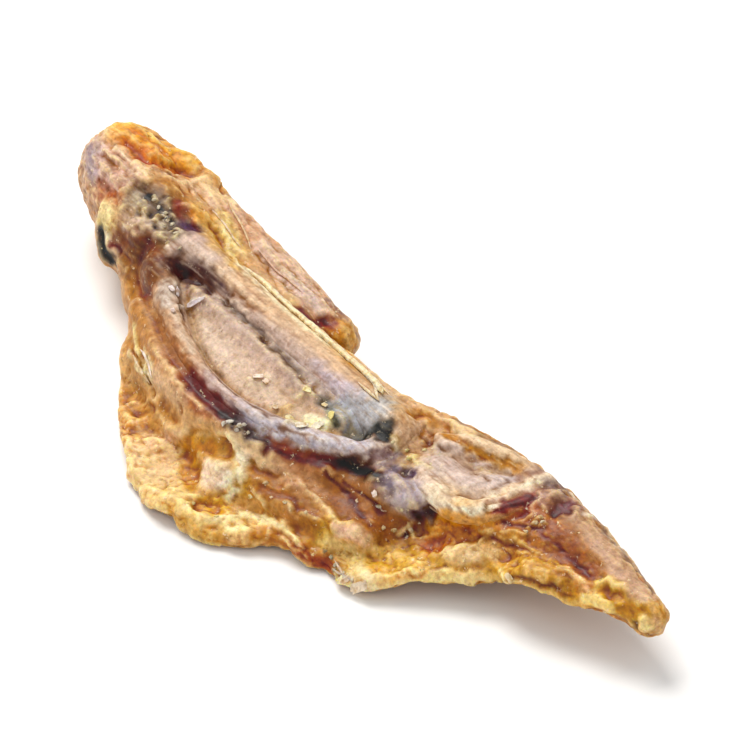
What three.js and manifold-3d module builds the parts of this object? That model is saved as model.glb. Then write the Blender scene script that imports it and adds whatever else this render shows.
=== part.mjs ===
// Dried chicken wing tip: the last joint of a chicken wing, from the cut wrist to the fingertip, lying flat
// as a butcher's chew or a table scrap does. The two hand bones and the first finger bone stand proud of the
// dried flesh, the thumb lies along the leading edge, and a shrivelled flap of skin spreads on the trailing side.
//
// Millimetres, +Z up. X runs from the cut wrist to the fingertip, +Y points to the leading edge (thumb side),
// and Z = 0 is the table that the wing tip rests on. The origin is the middle of the part's footprint box.
import * as THREE from "three";
import { mergeVertices } from "three/addons/utils/BufferGeometryUtils.js";
import Module from "manifold-3d";

// ---------------------------------------------------------------- driving dimensions, mm
const GAP = 0.3; // clearance round each bone in its bed
const TABLE_CUT = 0.45; // how much of the underside is pressed flat by its own weight while drying

// A limb runs from one end to the other with a sideways and an upward bow. Its section is an ellipse that flares
// or narrows towards each end. skew above 1 moves the bow towards the far end.
const MAJOR_METACARPAL = {
  from: [13.5, -4.0, 7.0], to: [49.8, -3.4, 6.1], bow: [0, -0.3, 0.1], skew: 1,
  wide: [2.9, 2.2, 2.6], high: [2.8, 2.3, 2.4], flare: 5,
};
const MINOR_METACARPAL = {
  from: [16.8, -6.6, 6.9], to: [49.8, -6.4, 5.5], bow: [0, -6.5, -0.1], skew: 1.1,
  wide: [1.6, 1.2, 1.6], high: [2.0, 1.8, 1.8], flare: 4,
};
const PROXIMAL_FUSION = {
  from: [15.2, -3.6, 6.8], to: [20.2, -8.9, 6.8], bow: [0, 0, 0], skew: 1,
  wide: [1.9, 2.2, 1.3], high: [2.0, 2.0, 1.6], flare: 2,
};
const DISTAL_FUSION = {
  from: [46.6, -3.6, 6.0], to: [49.6, -7.4, 5.5], bow: [0.5, 0.2, 0.1], skew: 1,
  wide: [2.0, 2.1, 1.6], high: [2.0, 2.1, 1.7], flare: 2,
};
const PHALANX_PLATE = {
  from: [50.6, -3.3, 5.5], to: [62.6, 1.7, 6.0], bow: [1.0, -1.3, -0.1], skew: 1,
  wide: [3.0, 4.1, 1.6], high: [1.7, 1.25, 1.4], flare: 1.4,
};
const PHALANX_LEADING_RIM = {
  from: [50.7, -1.9, 6.5], to: [63.0, 2.4, 6.6], bow: [-0.5, 1.0, 0.2], skew: 1,
  wide: [1.2, 1.0, 1.2], high: [1.2, 1.1, 1.2], flare: 3,
};
const PHALANX_TRAILING_RIM = {
  from: [51.6, -5.0, 5.7], to: [62.8, 1.4, 6.6], bow: [2.2, -3.0, -0.1], skew: 1,
  wide: [1.1, 0.9, 1.1], high: [1.1, 1.05, 1.2], flare: 3,
};
const PALM_FLESH = {
  from: [14.5, -4.6, 3.7], to: [55.0, -4.2, 3.3], bow: [0, -3.2, -0.1], skew: 1,
  wide: [3.8, 7.4, 4.4], high: [3.7, 4.0, 3.4], flare: 2.6,
};
const WRIST_FLESH = {
  from: [1.3, -0.9, 6.7], to: [19.5, -5.2, 4.9], bow: [0.3, 0.0, 0.4], skew: 1,
  wide: [3.6, 4.7, 4.6], high: [4.3, 5.4, 4.6], flare: 2,
};
const WRIST_CUFF = { // a fold of skin on the trailing side of the wrist
  from: [8.6, -5.9, 5.5], to: [12.8, -8.0, 4.9], bow: [0, -0.2, 0.1], skew: 1,
  wide: [1.1, 1.25, 1.0], high: [1.3, 1.5, 1.2], flare: 2,
};
const WRIST_SKIN_ROLL = {
  from: [2.4, 0.6, 8.5], to: [13.4, 2.2, 8.1], bow: [0.2, 0.0, 0.4], skew: 1,
  wide: [1.1, 1.2, 1.0], high: [1.1, 1.2, 1.0], flare: 2,
};
const THUMB = {
  from: [9.5, 0.2, 6.6], to: [33.7, 1.9, 3.3], bow: [0, 0.35, 0.8], skew: 0.9,
  wide: [2.8, 1.7, 2.0], high: [3.1, 1.9, 2.1], flare: 2.4,
};
const LEADING_SINEW = { // dried sinew along the leading side of the major bone
  from: [21.5, -2.0, 6.2], to: [47.0, -1.5, 6.6], bow: [0, 0.25, 0], skew: 1,
  wide: [1.0, 1.25, 1.2], high: [1.3, 1.35, 1.3], flare: 2,
};
const LEADING_KNUCKLE = { // flesh in front of the joint between hand and finger
  from: [44.5, -2.0, 6.7], to: [59.8, 3.1, 6.4], bow: [0, 0.35, 0], skew: 1,
  wide: [1.2, 1.5, 1.0], high: [1.6, 1.75, 1.3], flare: 2,
};
const FINGER_FLESH = {
  from: [47.0, -4.2, 3.6], to: [70.0, 0.8, 5.0], bow: [0, 0.2, 0.1], skew: 1,
  wide: [5.2, 5.7, 2.6], high: [3.5, 3.1, 2.1], flare: 1.6,
};
const FINGERTIP = {
  from: [60.0, 1.7, 5.7], to: [80.2, 0.4, 5.0], bow: [0, 0.3, 0.3], skew: 1,
  wide: [2.8, 2.2, 1.6], high: [2.6, 2.1, 1.6], flare: 1.5,
};
const MINOR_DIGIT = {
  from: [49.5, -8.4, 5.0], to: [56.4, -6.9, 4.6], bow: [0, -0.4, 0.3], skew: 1,
  wide: [2.2, 2.3, 1.3], high: [1.8, 1.7, 1.2], flare: 2,
};

// The skin flap: a sheet from under the bones out to a lobed trailing edge.
const FLAP_FROM_X = 12.5, FLAP_TO_X = 78.6; // its two ends along the wing
const FLAP_ROOT_Y = [-4.6, 0.2], FLAP_ROOT_Z = [4.6, 5.0]; // where it leaves the flesh, wrist end and tip end
const FLAP_CHORD_Y = [-7.0, -0.5]; // straight line that the lobes hang from
const FLAP_LOBES = [ // centre along the wing, depth below the chord, spread towards the wrist, spread towards the tip
  [38.0, 17.5, 13.6, 11.2],
  [56.5, 7.6, 6.0, 5.4],
  [68.0, 3.3, 5.0, 5.0],
];
const FLAP_SHIFTS = [ // position along the wing, how far the edge is drawn in there (out, if below 0)
  [14, 0], [20, 0.7], [25, 0.6], [30, 0.2], [36, 0], [40, -0.5], [44, -1.2], [46.8, -0.4], [48.2, 0.9], [50.7, 1.2],
  [53, 1.4], [55.5, 0.6], [57.4, -0.1], [60, 0.3], [62, 0.8], [64.2, 1.4], [66, 1.2], [68, 0.6], [70, 0.3], [74, 0],
];
const FLAP_EDGE_Z = 0.75, FLAP_EDGE_LIFT_CORNER = 1.1, FLAP_EDGE_LIFT_TIP = 2.9, FLAP_EDGE_LIFT_WRIST = 3.6; // edge height over the table
const FLAP_THICK_ROOT = 2.4, FLAP_THICK_EDGE = 1.7;
const FLAP_RIPPLE = 0.45, FLAP_RIPPLES = 7; // shrivelled waves along the edge

// ---------------------------------------------------------------- shape helpers
const mix = (a, b, t) => a + (b - a) * t;
const smooth = (a, b, x) => {
  const t = Math.min(1, Math.max(0, (x - a) / (b - a)));
  return t * t * (3 - 2 * t);
};

// A size that is ends[0] at the start, ends[1] along the middle and ends[2] at the far end.
const sizeAlong = ([start, middle, end], flare, t) =>
  middle + (start - middle) * (1 - t) ** flare + (end - middle) * t ** flare;

// The centre line of a limb, as a three.js curve.
class LimbCurve extends THREE.Curve {
  constructor(limb) {
    super();
    this.limb = limb;
  }
  getPoint(t, target = new THREE.Vector3()) {
    const { from, to, bow, skew } = this.limb;
    const arc = Math.sin(Math.PI * t ** skew);
    return target.set(
      mix(from[0], to[0], t) + bow[0] * arc,
      mix(from[1], to[1], t) + bow[1] * arc,
      mix(from[2], to[2], t) + bow[2] * arc,
    );
  }
}

// A closed limb: a sphere whose rings are carried along the centre line, with round ends. grow thickens it all round.
function limbGeometry(limb, { rings = 18, sides = 14, grow = 0, knotty = 0 } = {}) {
  const curve = new LimbCurve(limb);
  const length = curve.getLength();
  const geometry = new THREE.SphereGeometry(1, sides, rings);
  const p = geometry.getAttribute("position");
  const centre = new THREE.Vector3(), tangent = new THREE.Vector3();
  const side = new THREE.Vector3(), up = new THREE.Vector3(), v = new THREE.Vector3();
  const worldUp = new THREE.Vector3(0, 0, 1);
  for (let i = 0; i < p.count; i++) {
    v.fromBufferAttribute(p, i);
    const polar = Math.acos(THREE.MathUtils.clamp(v.y, -1, 1)) / Math.PI; // 0 to 1 from one end to the other
    const around = Math.hypot(v.x, v.z) < 1e-6 ? 0 : Math.atan2(v.z, v.x);
    const t = mix(polar, (1 - Math.cos(Math.PI * polar)) / 2, 0.35);
    // round ends: the section shrinks to nothing over one end radius
    const endCap = (sizeAlong(limb.wide, limb.flare, t < 0.5 ? 0 : 1) + grow) / length;
    const fromEnd = Math.min(t, 1 - t) / endCap;
    const round = fromEnd >= 1 ? 1 : Math.sqrt(Math.max(0, 1 - (1 - fromEnd) ** 2));
    const knots = 1 + knotty * Math.sin(around * 3 + t * 9) * Math.sin(t * 17 + around);
    const wide = (sizeAlong(limb.wide, limb.flare, t) * knots + grow) * round;
    const high = (sizeAlong(limb.high, limb.flare, t) * knots + grow) * round;
    curve.getPoint(t, centre);
    curve.getTangent(t, tangent);
    centre.addScaledVector(tangent, (t - 0.5) * 2 * grow * 0.9);
    side.crossVectors(worldUp, tangent).normalize();
    up.crossVectors(tangent, side);
    v.copy(centre)
      .addScaledVector(side, Math.cos(around) * wide)
      .addScaledVector(up, Math.sin(around) * high);
    p.setXYZ(i, v.x, v.y, v.z);
  }
  return geometry;
}

const lobe = (x, [centre, depth, spreadWrist, spreadTip]) => {
  const d = (x - centre) / (x < centre ? spreadWrist : spreadTip);
  return depth * Math.exp(-d * d / 2);
};
const flapShift = (x) => {
  const i = FLAP_SHIFTS.findIndex(([at]) => at > x);
  if (i < 1) return 0;
  const [[x0, d0], [x1, d1]] = [FLAP_SHIFTS[i - 1], FLAP_SHIFTS[i]];
  return mix(d0, d1, (x - x0) / (x1 - x0));
};
const flapEdgeY = (x) => {
  const t = (x - 14) / 65;
  const lobes = FLAP_LOBES.reduce((sum, l) => sum + lobe(x, l), 0);
  return mix(FLAP_CHORD_Y[0], FLAP_CHORD_Y[1], t) - lobes * smooth(10, 24, x) + flapShift(x);
};
const flapEdgeZ = (x) =>
  FLAP_EDGE_Z + FLAP_EDGE_LIFT_CORNER * smooth(57.5, 61, x) + FLAP_EDGE_LIFT_TIP * smooth(58, 72, x) +
  FLAP_EDGE_LIFT_WRIST * (1 - smooth(14, 30, x));

// The skin flap as a box whose length, width and thickness are mapped onto the sheet.
function flapGeometry(alongSteps = 36, acrossSteps = 6) {
  const geometry = new THREE.BoxGeometry(1, 1, 1, alongSteps, acrossSteps, 1);
  const p = geometry.getAttribute("position");
  for (let i = 0; i < p.count; i++) {
    const along = p.getX(i) + 0.5, out = 0.5 - p.getY(i), face = p.getZ(i) * 2; // face is 1 on top, -1 below
    const x = mix(FLAP_FROM_X, FLAP_TO_X, along);
    const rootY = mix(FLAP_ROOT_Y[0], FLAP_ROOT_Y[1], along), rootZ = mix(FLAP_ROOT_Z[0], FLAP_ROOT_Z[1], along);
    const y = mix(rootY, flapEdgeY(x), out);
    const fall = 1 - (1 - out) ** 1.6; // it falls away from the bones first, then lies flat
    const ripple = FLAP_RIPPLE * out * Math.sin(along * Math.PI * 2 * FLAP_RIPPLES + out * 2.4);
    const middle = mix(rootZ, flapEdgeZ(x), fall) + ripple;
    const thick = mix(FLAP_THICK_ROOT, FLAP_THICK_EDGE, out) * mix(0.55, 1, smooth(0, 0.06, Math.min(along, 1 - along)));
    p.setXYZ(i, x, y, middle + (face * thick) / 2);
  }
  return geometry;
}

// ---------------------------------------------------------------- solids
const wasm = await Module();
wasm.setup();

function toSolid(geometry) {
  const bare = geometry.clone();
  bare.deleteAttribute("normal");
  bare.deleteAttribute("uv");
  const merged = mergeVertices(bare, 1e-4);
  // drop the triangles that closed up at the poles
  const index = merged.index.array, kept = [];
  for (let i = 0; i < index.length; i += 3) {
    const [a, b, c] = [index[i], index[i + 1], index[i + 2]];
    if (a !== b && b !== c && c !== a) kept.push(a, b, c);
  }
  const solid = new wasm.Manifold(
    new wasm.Mesh({
      numProp: 3,
      vertProperties: new Float32Array(merged.getAttribute("position").array),
      triVerts: new Uint32Array(kept),
    }),
  );
  if (solid.volume() > 0) return solid;
  for (let i = 0; i < kept.length; i += 3) [kept[i + 1], kept[i + 2]] = [kept[i + 2], kept[i + 1]];
  return new wasm.Manifold(
    new wasm.Mesh({
      numProp: 3,
      vertProperties: new Float32Array(merged.getAttribute("position").array),
      triVerts: new Uint32Array(kept),
    }),
  );
}
const join = (solids) => solids.reduce((all, s) => all.add(s));

const boneLimbs = [MAJOR_METACARPAL, MINOR_METACARPAL, PROXIMAL_FUSION, DISTAL_FUSION];
const phalanxLimbs = [PHALANX_PLATE, PHALANX_LEADING_RIM, PHALANX_TRAILING_RIM];
const asBone = (grow) => (limb) => toSolid(limbGeometry(limb, { rings: limb.bow[1] < -4 ? 18 : 14, sides: 10, grow }));

const handBones = join(boneLimbs.map(asBone(0)));
const fingerBone = join(phalanxLimbs.map(asBone(0)));
const bonesWithRoom = join([...boneLimbs, ...phalanxLimbs].map(asBone(GAP)));

const fleshLimbs = [
  [PALM_FLESH, { rings: 18, sides: 18, knotty: 0.02 }],
  [WRIST_FLESH, { rings: 14, sides: 16, knotty: 0.05 }],
  [WRIST_CUFF, { rings: 8, sides: 8, knotty: 0.05 }],
  [WRIST_SKIN_ROLL, { rings: 10, sides: 8, knotty: 0.08 }],
  [THUMB, { rings: 16, sides: 11, knotty: 0.05 }],
  [FINGER_FLESH, { rings: 14, sides: 14, knotty: 0.03 }],
  [FINGERTIP, { rings: 14, sides: 12, knotty: 0.05 }],
  [MINOR_DIGIT, { rings: 10, sides: 10, knotty: 0.04 }],
  [LEADING_SINEW, { rings: 14, sides: 8, knotty: 0.05 }],
  [LEADING_KNUCKLE, { rings: 12, sides: 10, knotty: 0.04 }],
];
const lowered = new THREE.Matrix4().makeTranslation(0, 0, -TABLE_CUT);
let flesh = join([
  toSolid(flapGeometry()),
  ...fleshLimbs.map(([limb, how]) => toSolid(limbGeometry(limb, how).applyMatrix4(lowered))),
]);
const underTable = new THREE.BoxGeometry(200, 200, 20).translate(0, 0, -10);
flesh = flesh.subtract(bonesWithRoom).subtract(toSolid(underTable));
flesh = flesh.decompose().sort((a, b) => b.volume() - a.volume())[0]; // crumbs cut loose by the bone beds are left out

// ---------------------------------------------------------------- scene graph
const skinMaterial = new THREE.MeshStandardMaterial({ name: "dried_skin", color: 0xc08840, roughness: 0.42, metalness: 0 });
const boneMaterial = new THREE.MeshStandardMaterial({ name: "dried_bone", color: 0xc4a688, roughness: 0.5, metalness: 0 });

function meshOf(name, solid, material) {
  const { vertProperties, triVerts, numProp, numVert } = solid.getMesh();
  const position = new Float32Array(numVert * 3);
  for (let i = 0; i < numVert; i++)
    for (let k = 0; k < 3; k++) position[i * 3 + k] = vertProperties[i * numProp + k];
  const geometry = new THREE.BufferGeometry();
  geometry.setAttribute("position", new THREE.BufferAttribute(position, 3));
  geometry.setIndex(new THREE.BufferAttribute(new Uint32Array(triVerts), 1));
  geometry.computeVertexNormals();
  const mesh = new THREE.Mesh(geometry, material);
  mesh.name = name;
  return mesh;
}

const wingTip = new THREE.Group();
wingTip.name = "chicken_wing_tip";
wingTip.add(
  meshOf("skin_and_flesh", flesh, skinMaterial),
  meshOf("carpometacarpus", handBones, boneMaterial),
  meshOf("proximal_phalanx", fingerBone, boneMaterial),
);

// The origin is the middle of the footprint, on the table.
const box = new THREE.Box3().setFromObject(wingTip);
const middle = box.getCenter(new THREE.Vector3());
for (const mesh of wingTip.children) mesh.position.set(-middle.x, -middle.y, -box.min.z);

export default wingTip;
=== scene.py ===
"""Looks of a dried chicken wing tip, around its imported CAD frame. Metres, +Z up, same frame as the CAD.

The shape is worked out in millimetres from the wrist (wing frame): x from the cut wrist to the fingertip, y to the
leading edge, z up from the table. The same limbs as in the CAD are joined as soft distance fields, meshed, and then
carved by strokes (creases, ridges, pits) and by layers of noise. Each stroke and layer also says how it colours.
"""
import math

import bpy
import numpy as np
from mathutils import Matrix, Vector


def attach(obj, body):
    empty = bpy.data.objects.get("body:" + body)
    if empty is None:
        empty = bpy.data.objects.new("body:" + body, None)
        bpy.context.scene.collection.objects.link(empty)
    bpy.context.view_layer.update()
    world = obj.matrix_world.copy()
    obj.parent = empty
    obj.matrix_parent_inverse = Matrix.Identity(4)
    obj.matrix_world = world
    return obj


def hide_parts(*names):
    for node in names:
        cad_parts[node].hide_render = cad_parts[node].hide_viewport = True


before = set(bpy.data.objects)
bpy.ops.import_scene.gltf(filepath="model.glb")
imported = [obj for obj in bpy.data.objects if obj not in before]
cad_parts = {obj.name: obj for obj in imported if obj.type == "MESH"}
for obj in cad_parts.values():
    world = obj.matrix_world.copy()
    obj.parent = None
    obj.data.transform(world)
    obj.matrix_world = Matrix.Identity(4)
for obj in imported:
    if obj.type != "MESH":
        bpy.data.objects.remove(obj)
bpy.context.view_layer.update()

MM = 0.001
ORIGIN = np.array([40.750, -9.018, 0.0])  # the CAD origin in the wing frame, mm
GRID = 0.212   # mesh cell, mm

# ------------------------------------------------------------------------------------------------ noise
_rng = np.random.RandomState(20)
_GRAD = _rng.normal(size=(256, 3))
_GRAD = (_GRAD / np.linalg.norm(_GRAD, axis=1)[:, None]).astype(np.float32)
_PERM = np.concatenate([_rng.permutation(256)] * 3)


def noise(p, scale=1.0, seed=0):
    """Gradient noise, about -1 to 1, with features of about scale mm. scale may be one number or three."""
    q = p / np.asarray(scale, float) + np.array([12.7, 31.3, 7.9]) * (seed + 1)
    i = np.floor(q).astype(np.int64)
    f = (q - i).astype(np.float32)
    u = f * f * f * (f * (f * 6 - 15) + 10)
    i &= 255
    out = 0
    for dx in (0, 1):
        a = _PERM[i[:, 0] + dx]
        wx = u[:, 0] if dx else 1 - u[:, 0]
        for dy in (0, 1):
            b = _PERM[a + i[:, 1] + dy]
            wy = u[:, 1] if dy else 1 - u[:, 1]
            for dz in (0, 1):
                g = _GRAD[_PERM[b + i[:, 2] + dz]]
                wz = u[:, 2] if dz else 1 - u[:, 2]
                d = g[:, 0] * (f[:, 0] - dx) + g[:, 1] * (f[:, 1] - dy) + g[:, 2] * (f[:, 2] - dz)
                out = out + wx * wy * wz * d
    return out * 1.55


def fbm(p, scale, octaves=4, gain=0.5, seed=0, lac=2.03):
    s = np.asarray(scale, float)
    out, amp, total = 0, 1.0, 0
    for k in range(octaves):
        out = out + amp * noise(p, s, seed + 7 * k)
        total += amp
        amp *= gain
        s = s / lac
    return out / total


def ridged(p, scale, octaves=3, gain=0.5, seed=0, lac=2.1):
    """0 to 1, with sharp crests."""
    s = np.asarray(scale, float)
    out, amp, total = 0, 1.0, 0
    for k in range(octaves):
        n = 1 - np.abs(noise(p, s, seed + 5 * k)) * 1.6
        out = out + amp * np.clip(n, 0, 1) ** 2
        total += amp
        amp *= gain
        s = s / lac
    return out / total


def cells(p, scale, seed=0, jitter=0.8):
    """Nearest and second nearest distance to scattered points, in units of scale."""
    q = p / np.asarray(scale, float) + 91.3 * (seed + 1)
    i = np.floor(q).astype(np.int64)
    f = q - i
    d1 = np.full(len(p), 9.0)
    d2 = np.full(len(p), 9.0)
    for dx in (-1, 0, 1):
        for dy in (-1, 0, 1):
            for dz in (-1, 0, 1):
                c = i + np.array([dx, dy, dz])
                h = _PERM[(_PERM[(_PERM[c[:, 0] & 255] + (c[:, 1] & 255))] + (c[:, 2] & 255))]
                o = 0.5 + jitter * 0.5 * _GRAD[h]
                r = np.array([dx, dy, dz]) + o - f
                d = np.sqrt((r * r).sum(1))
                nearer = d < d1
                d2 = np.where(nearer, d1, np.minimum(d2, d))
                d1 = np.where(nearer, d, d1)
    return d1, d2


def smooth(a, b, x):
    t = np.clip((x - a) / (b - a), 0, 1)
    return t * t * (3 - 2 * t)


def mix(a, b, t):
    return a + (b - a) * t


# ------------------------------------------------------------------------------------------------ limbs, as in the CAD
LIMBS = {
    "major": dict(a=(13.5, -4.0, 7.0), b=(49.8, -3.4, 6.1), bow=(0, -0.3, 0.1), skew=1, w=(2.9, 2.2, 2.6), h=(2.8, 2.3, 2.4), flare=5),
    "minor": dict(a=(16.8, -6.6, 6.9), b=(49.8, -6.4, 5.5), bow=(0, -6.5, -0.1), skew=1.1, w=(1.6, 1.2, 1.6), h=(2.0, 1.8, 1.8), flare=4),
    "fuse_near": dict(a=(15.2, -3.6, 6.8), b=(20.2, -8.9, 6.8), bow=(0, 0, 0), skew=1, w=(1.9, 2.2, 1.3), h=(2.0, 2.0, 1.6), flare=2),
    "fuse_far": dict(a=(46.6, -3.6, 6.0), b=(49.6, -7.4, 5.5), bow=(0.5, 0.2, 0.1), skew=1, w=(2.0, 2.1, 1.6), h=(2.0, 2.1, 1.7), flare=2),
    "plate": dict(a=(50.6, -3.3, 5.5), b=(62.6, 1.7, 6.0), bow=(1.0, -1.3, -0.1), skew=1, w=(3.0, 4.1, 1.6), h=(1.7, 1.25, 1.4), flare=1.4),
    "rim_lead": dict(a=(50.7, -1.9, 6.5), b=(63.0, 2.4, 6.6), bow=(-0.5, 1.0, 0.2), skew=1, w=(1.2, 1.0, 1.2), h=(1.2, 1.1, 1.2), flare=3),
    "rim_trail": dict(a=(51.6, -5.0, 5.7), b=(62.8, 1.4, 6.6), bow=(2.2, -3.0, -0.1), skew=1, w=(1.1, 0.9, 1.1), h=(1.1, 1.05, 1.2), flare=3),
    "palm": dict(a=(14.5, -4.6, 3.7), b=(55.0, -4.2, 3.3), bow=(0, -3.2, -0.1), skew=1, w=(3.8, 7.4, 4.4), h=(3.7, 4.0, 3.4), flare=2.6),
    "wrist": dict(a=(1.7, -0.8, 6.7), b=(19.5, -5.2, 4.9), bow=(0.3, 0.0, 0.4), skew=1, w=(3.6, 4.7, 4.6), h=(4.3, 5.4, 4.6), flare=2),
    "cuff": dict(a=(8.6, -5.9, 5.5), b=(12.8, -8.0, 4.9), bow=(0, -0.2, 0.1), skew=1, w=(1.1, 1.25, 1.0), h=(1.3, 1.5, 1.2), flare=2),
    "roll": dict(a=(2.4, 0.6, 8.5), b=(13.4, 2.2, 8.1), bow=(0.2, 0.0, 0.4), skew=1, w=(1.1, 1.2, 1.0), h=(1.1, 1.2, 1.0), flare=2),
    "thumb": dict(a=(9.5, 0.2, 6.6), b=(33.7, 1.9, 3.3), bow=(0, 0.55, 1.0), skew=0.9, w=(2.8, 1.7, 2.0), h=(3.1, 1.9, 2.1), flare=2.4),
    "sinew": dict(a=(21.5, -2.0, 6.2), b=(47.0, -1.5, 6.6), bow=(0, 0.25, 0), skew=1, w=(1.0, 1.25, 1.2), h=(1.3, 1.35, 1.3), flare=2),
    "knuckle": dict(a=(44.5, -2.0, 6.7), b=(59.8, 3.1, 6.4), bow=(0, 0.35, 0), skew=1, w=(1.2, 1.5, 1.0), h=(1.6, 1.75, 1.3), flare=2),
    "finger": dict(a=(47.0, -4.2, 3.6), b=(70.0, 0.8, 5.0), bow=(0, 0.2, 0.1), skew=1, w=(5.2, 5.7, 2.6), h=(3.5, 3.1, 2.1), flare=1.6),
    "tip": dict(a=(60.0, 1.7, 5.7), b=(80.2, 0.4, 5.0), bow=(0, 0.3, 0.3), skew=1, w=(2.8, 2.2, 1.6), h=(2.6, 2.1, 1.6), flare=1.5),
    "minor_digit": dict(a=(49.2, -7.6, 5.5), b=(56.4, -5.9, 5.0), bow=(0, -0.3, 0.3), skew=1, w=(2.0, 2.2, 1.3), h=(1.6, 1.6, 1.2), flare=2),
}
# dried film that fills the gutters beside the bones; the CAD leaves these open
FILLS = {
    "front_film": dict(a=(21.5, -6.6, 6.6), b=(45.0, -6.2, 6.1), bow=(0, -0.1, 0), skew=1, w=(1.2, 1.6, 1.3), h=(1.3, 1.6, 1.4), flare=2),
    "lead_film": dict(a=(14.0, -1.6, 7.3), b=(32.0, -0.3, 4.6), bow=(0, 0, 0.2), skew=1, w=(1.6, 1.5, 1.0), h=(1.6, 1.5, 1.2), flare=2),
    "apron": dict(a=(22.0, -12.4, 3.5), b=(55.0, -10.4, 3.0), bow=(0, -3.7, 0), skew=1.05, w=(1.5, 2.0, 1.6), h=(1.1, 1.35, 1.1), flare=2),
    "rear_film": dict(a=(19.5, -10.2, 5.6), b=(48.0, -9.2, 4.8), bow=(0, -4.6, 0.4), skew=1.1, w=(1.2, 1.6, 1.3), h=(1.4, 1.7, 1.4), flare=3),
}
LIMBS.update(FILLS)
SINK = 0.45  # the flesh sinks this far and is pressed flat on the table
for _name in ("palm", "wrist", "cuff", "roll", "thumb", "sinew", "knuckle", "finger", "tip", "minor_digit"):
    LIMBS[_name]["a"] = tuple(np.array(LIMBS[_name]["a"]) - [0, 0, SINK])
    LIMBS[_name]["b"] = tuple(np.array(LIMBS[_name]["b"]) - [0, 0, SINK])

FLAP_X = (12.5, 78.6)
FLAP_ROOT_Y, FLAP_ROOT_Z = (-4.6, 0.2), (4.6, 5.0)
FLAP_LOBES = [(38.0, 17.5, 13.6, 11.2), (56.5, 7.6, 6.0, 5.4), (68.0, 3.3, 5.0, 5.0)]


FLAP_SHIFTS = np.array([(14, 0), (20, 0.7), (25, 0.6), (30, 0.2), (36, 0), (40, -0.5), (44, -1.2), (46.8, -0.4), (48.2, 0.9), (50.7, 1.2),
                        (53, 1.4), (55.5, 0.6), (57.4, -0.1), (60, 0.3), (62, 0.8), (64.2, 1.4), (66, 1.2), (68, 0.6), (70, 0.3), (74, 0)])


def limb_field(name, x, y, z):
    """Signed distance, roughly, to a limb: an ellipse carried along a bowed line, with round ends."""
    L = LIMBS[name]
    a, b, bow = (np.array(L[k], float) for k in ("a", "b", "bow"))
    chord = b - a
    length = math.sqrt(float(chord @ chord))
    t = ((x - a[0]) * chord[0] + (y - a[1]) * chord[1] + (z - a[2]) * chord[2]) / (chord @ chord)
    k = L["skew"]
    near, far = L["w"][0] / length, 1 - L["w"][2] / length
    t = np.clip(t, near, far)
    for _ in range(3):
        tk = t ** k
        arc, slope = np.sin(math.pi * tk), math.pi * k * tk / t * np.cos(math.pi * tk)
        e = [v - (a[i] + chord[i] * t + bow[i] * arc) for i, v in enumerate((x, y, z))]
        g = [chord[i] + bow[i] * slope for i in range(3)]
        t = t + (e[0] * g[0] + e[1] * g[1] + e[2] * g[2]) / (g[0] ** 2 + g[1] ** 2 + g[2] ** 2)
        t = np.clip(t, near, far)
    tk = t ** k
    arc, slope = np.sin(math.pi * tk), math.pi * k * tk / t * np.cos(math.pi * tk)
    e = [v - (a[i] + chord[i] * t + bow[i] * arc) for i, v in enumerate((x, y, z))]
    g = [chord[i] + bow[i] * slope for i in range(3)]
    n = np.sqrt(g[0] ** 2 + g[1] ** 2 + g[2] ** 2)
    T = [v / n for v in g]
    m = np.sqrt(T[0] ** 2 + T[1] ** 2)
    S = (-T[1] / m, T[0] / m)
    U = (-T[2] * S[1], T[2] * S[0], T[0] * S[1] - T[1] * S[0])
    dT = e[0] * T[0] + e[1] * T[1] + e[2] * T[2]
    dS = e[0] * S[0] + e[1] * S[1]
    dU = e[0] * U[0] + e[1] * U[1] + e[2] * U[2]
    w = L["w"][1] + (L["w"][0] - L["w"][1]) * (1 - t) ** L["flare"] + (L["w"][2] - L["w"][1]) * t ** L["flare"]
    h = L["h"][1] + (L["h"][0] - L["h"][1]) * (1 - t) ** L["flare"] + (L["h"][2] - L["h"][1]) * t ** L["flare"]
    k0 = np.sqrt((dT / w) ** 2 + (dS / w) ** 2 + (dU / h) ** 2)
    k1 = np.sqrt((dT / w ** 2) ** 2 + (dS / w ** 2) ** 2 + (dU / h ** 2) ** 2)
    return k0 * (k0 - 1) / np.maximum(k1, 1e-6)


def lobe(x, c, depth, near, far):
    d = (x - c) / np.where(x < c, near, far)
    return depth * np.exp(-d * d / 2)


def line_noise(x, scale, seed):
    """Noise along one line, for outlines."""
    flat = np.ravel(x)
    p = np.stack([flat, np.full_like(flat, 3.3 * seed + 0.7), np.full_like(flat, 1.9)], 1)
    return noise(p, scale, seed).reshape(np.shape(x))


def flap_edge_y(x):
    lobes = sum(lobe(x, *l) for l in FLAP_LOBES)
    y = mix(-7.0, -0.5, (x - 14) / 65) - lobes * smooth(10, 24, x) + np.interp(x, FLAP_SHIFTS[:, 0], FLAP_SHIFTS[:, 1])
    rag = 0.42 * line_noise(x, 3.1, 1) + 0.25 * line_noise(x, 1.3, 2) + 0.10 * line_noise(x, 0.6, 3)
    return y + rag * smooth(14, 20, x)


def flap_edge_z(x):
    return 0.95 + 1.1 * smooth(57.5, 61, x) + 2.9 * smooth(58, 72, x) + 3.6 * (1 - smooth(14, 30, x))


def flap_middle(x, y):
    """Height of the skin flap's middle sheet, and how far out on it: 0 at the root, 1 at the edge."""
    along = (x - FLAP_X[0]) / (FLAP_X[1] - FLAP_X[0])
    ry, rz = mix(*FLAP_ROOT_Y, along), mix(*FLAP_ROOT_Z, along)
    out = (ry - y) / (ry - flap_edge_y(x))
    o = np.clip(out, 0, 1)
    z = mix(rz, flap_edge_z(x), 1 - (1 - o) ** 1.6)
    z = z + 0.45 * o * np.sin(along * 2 * math.pi * 7 + o * 2.4)
    return z, out


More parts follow.
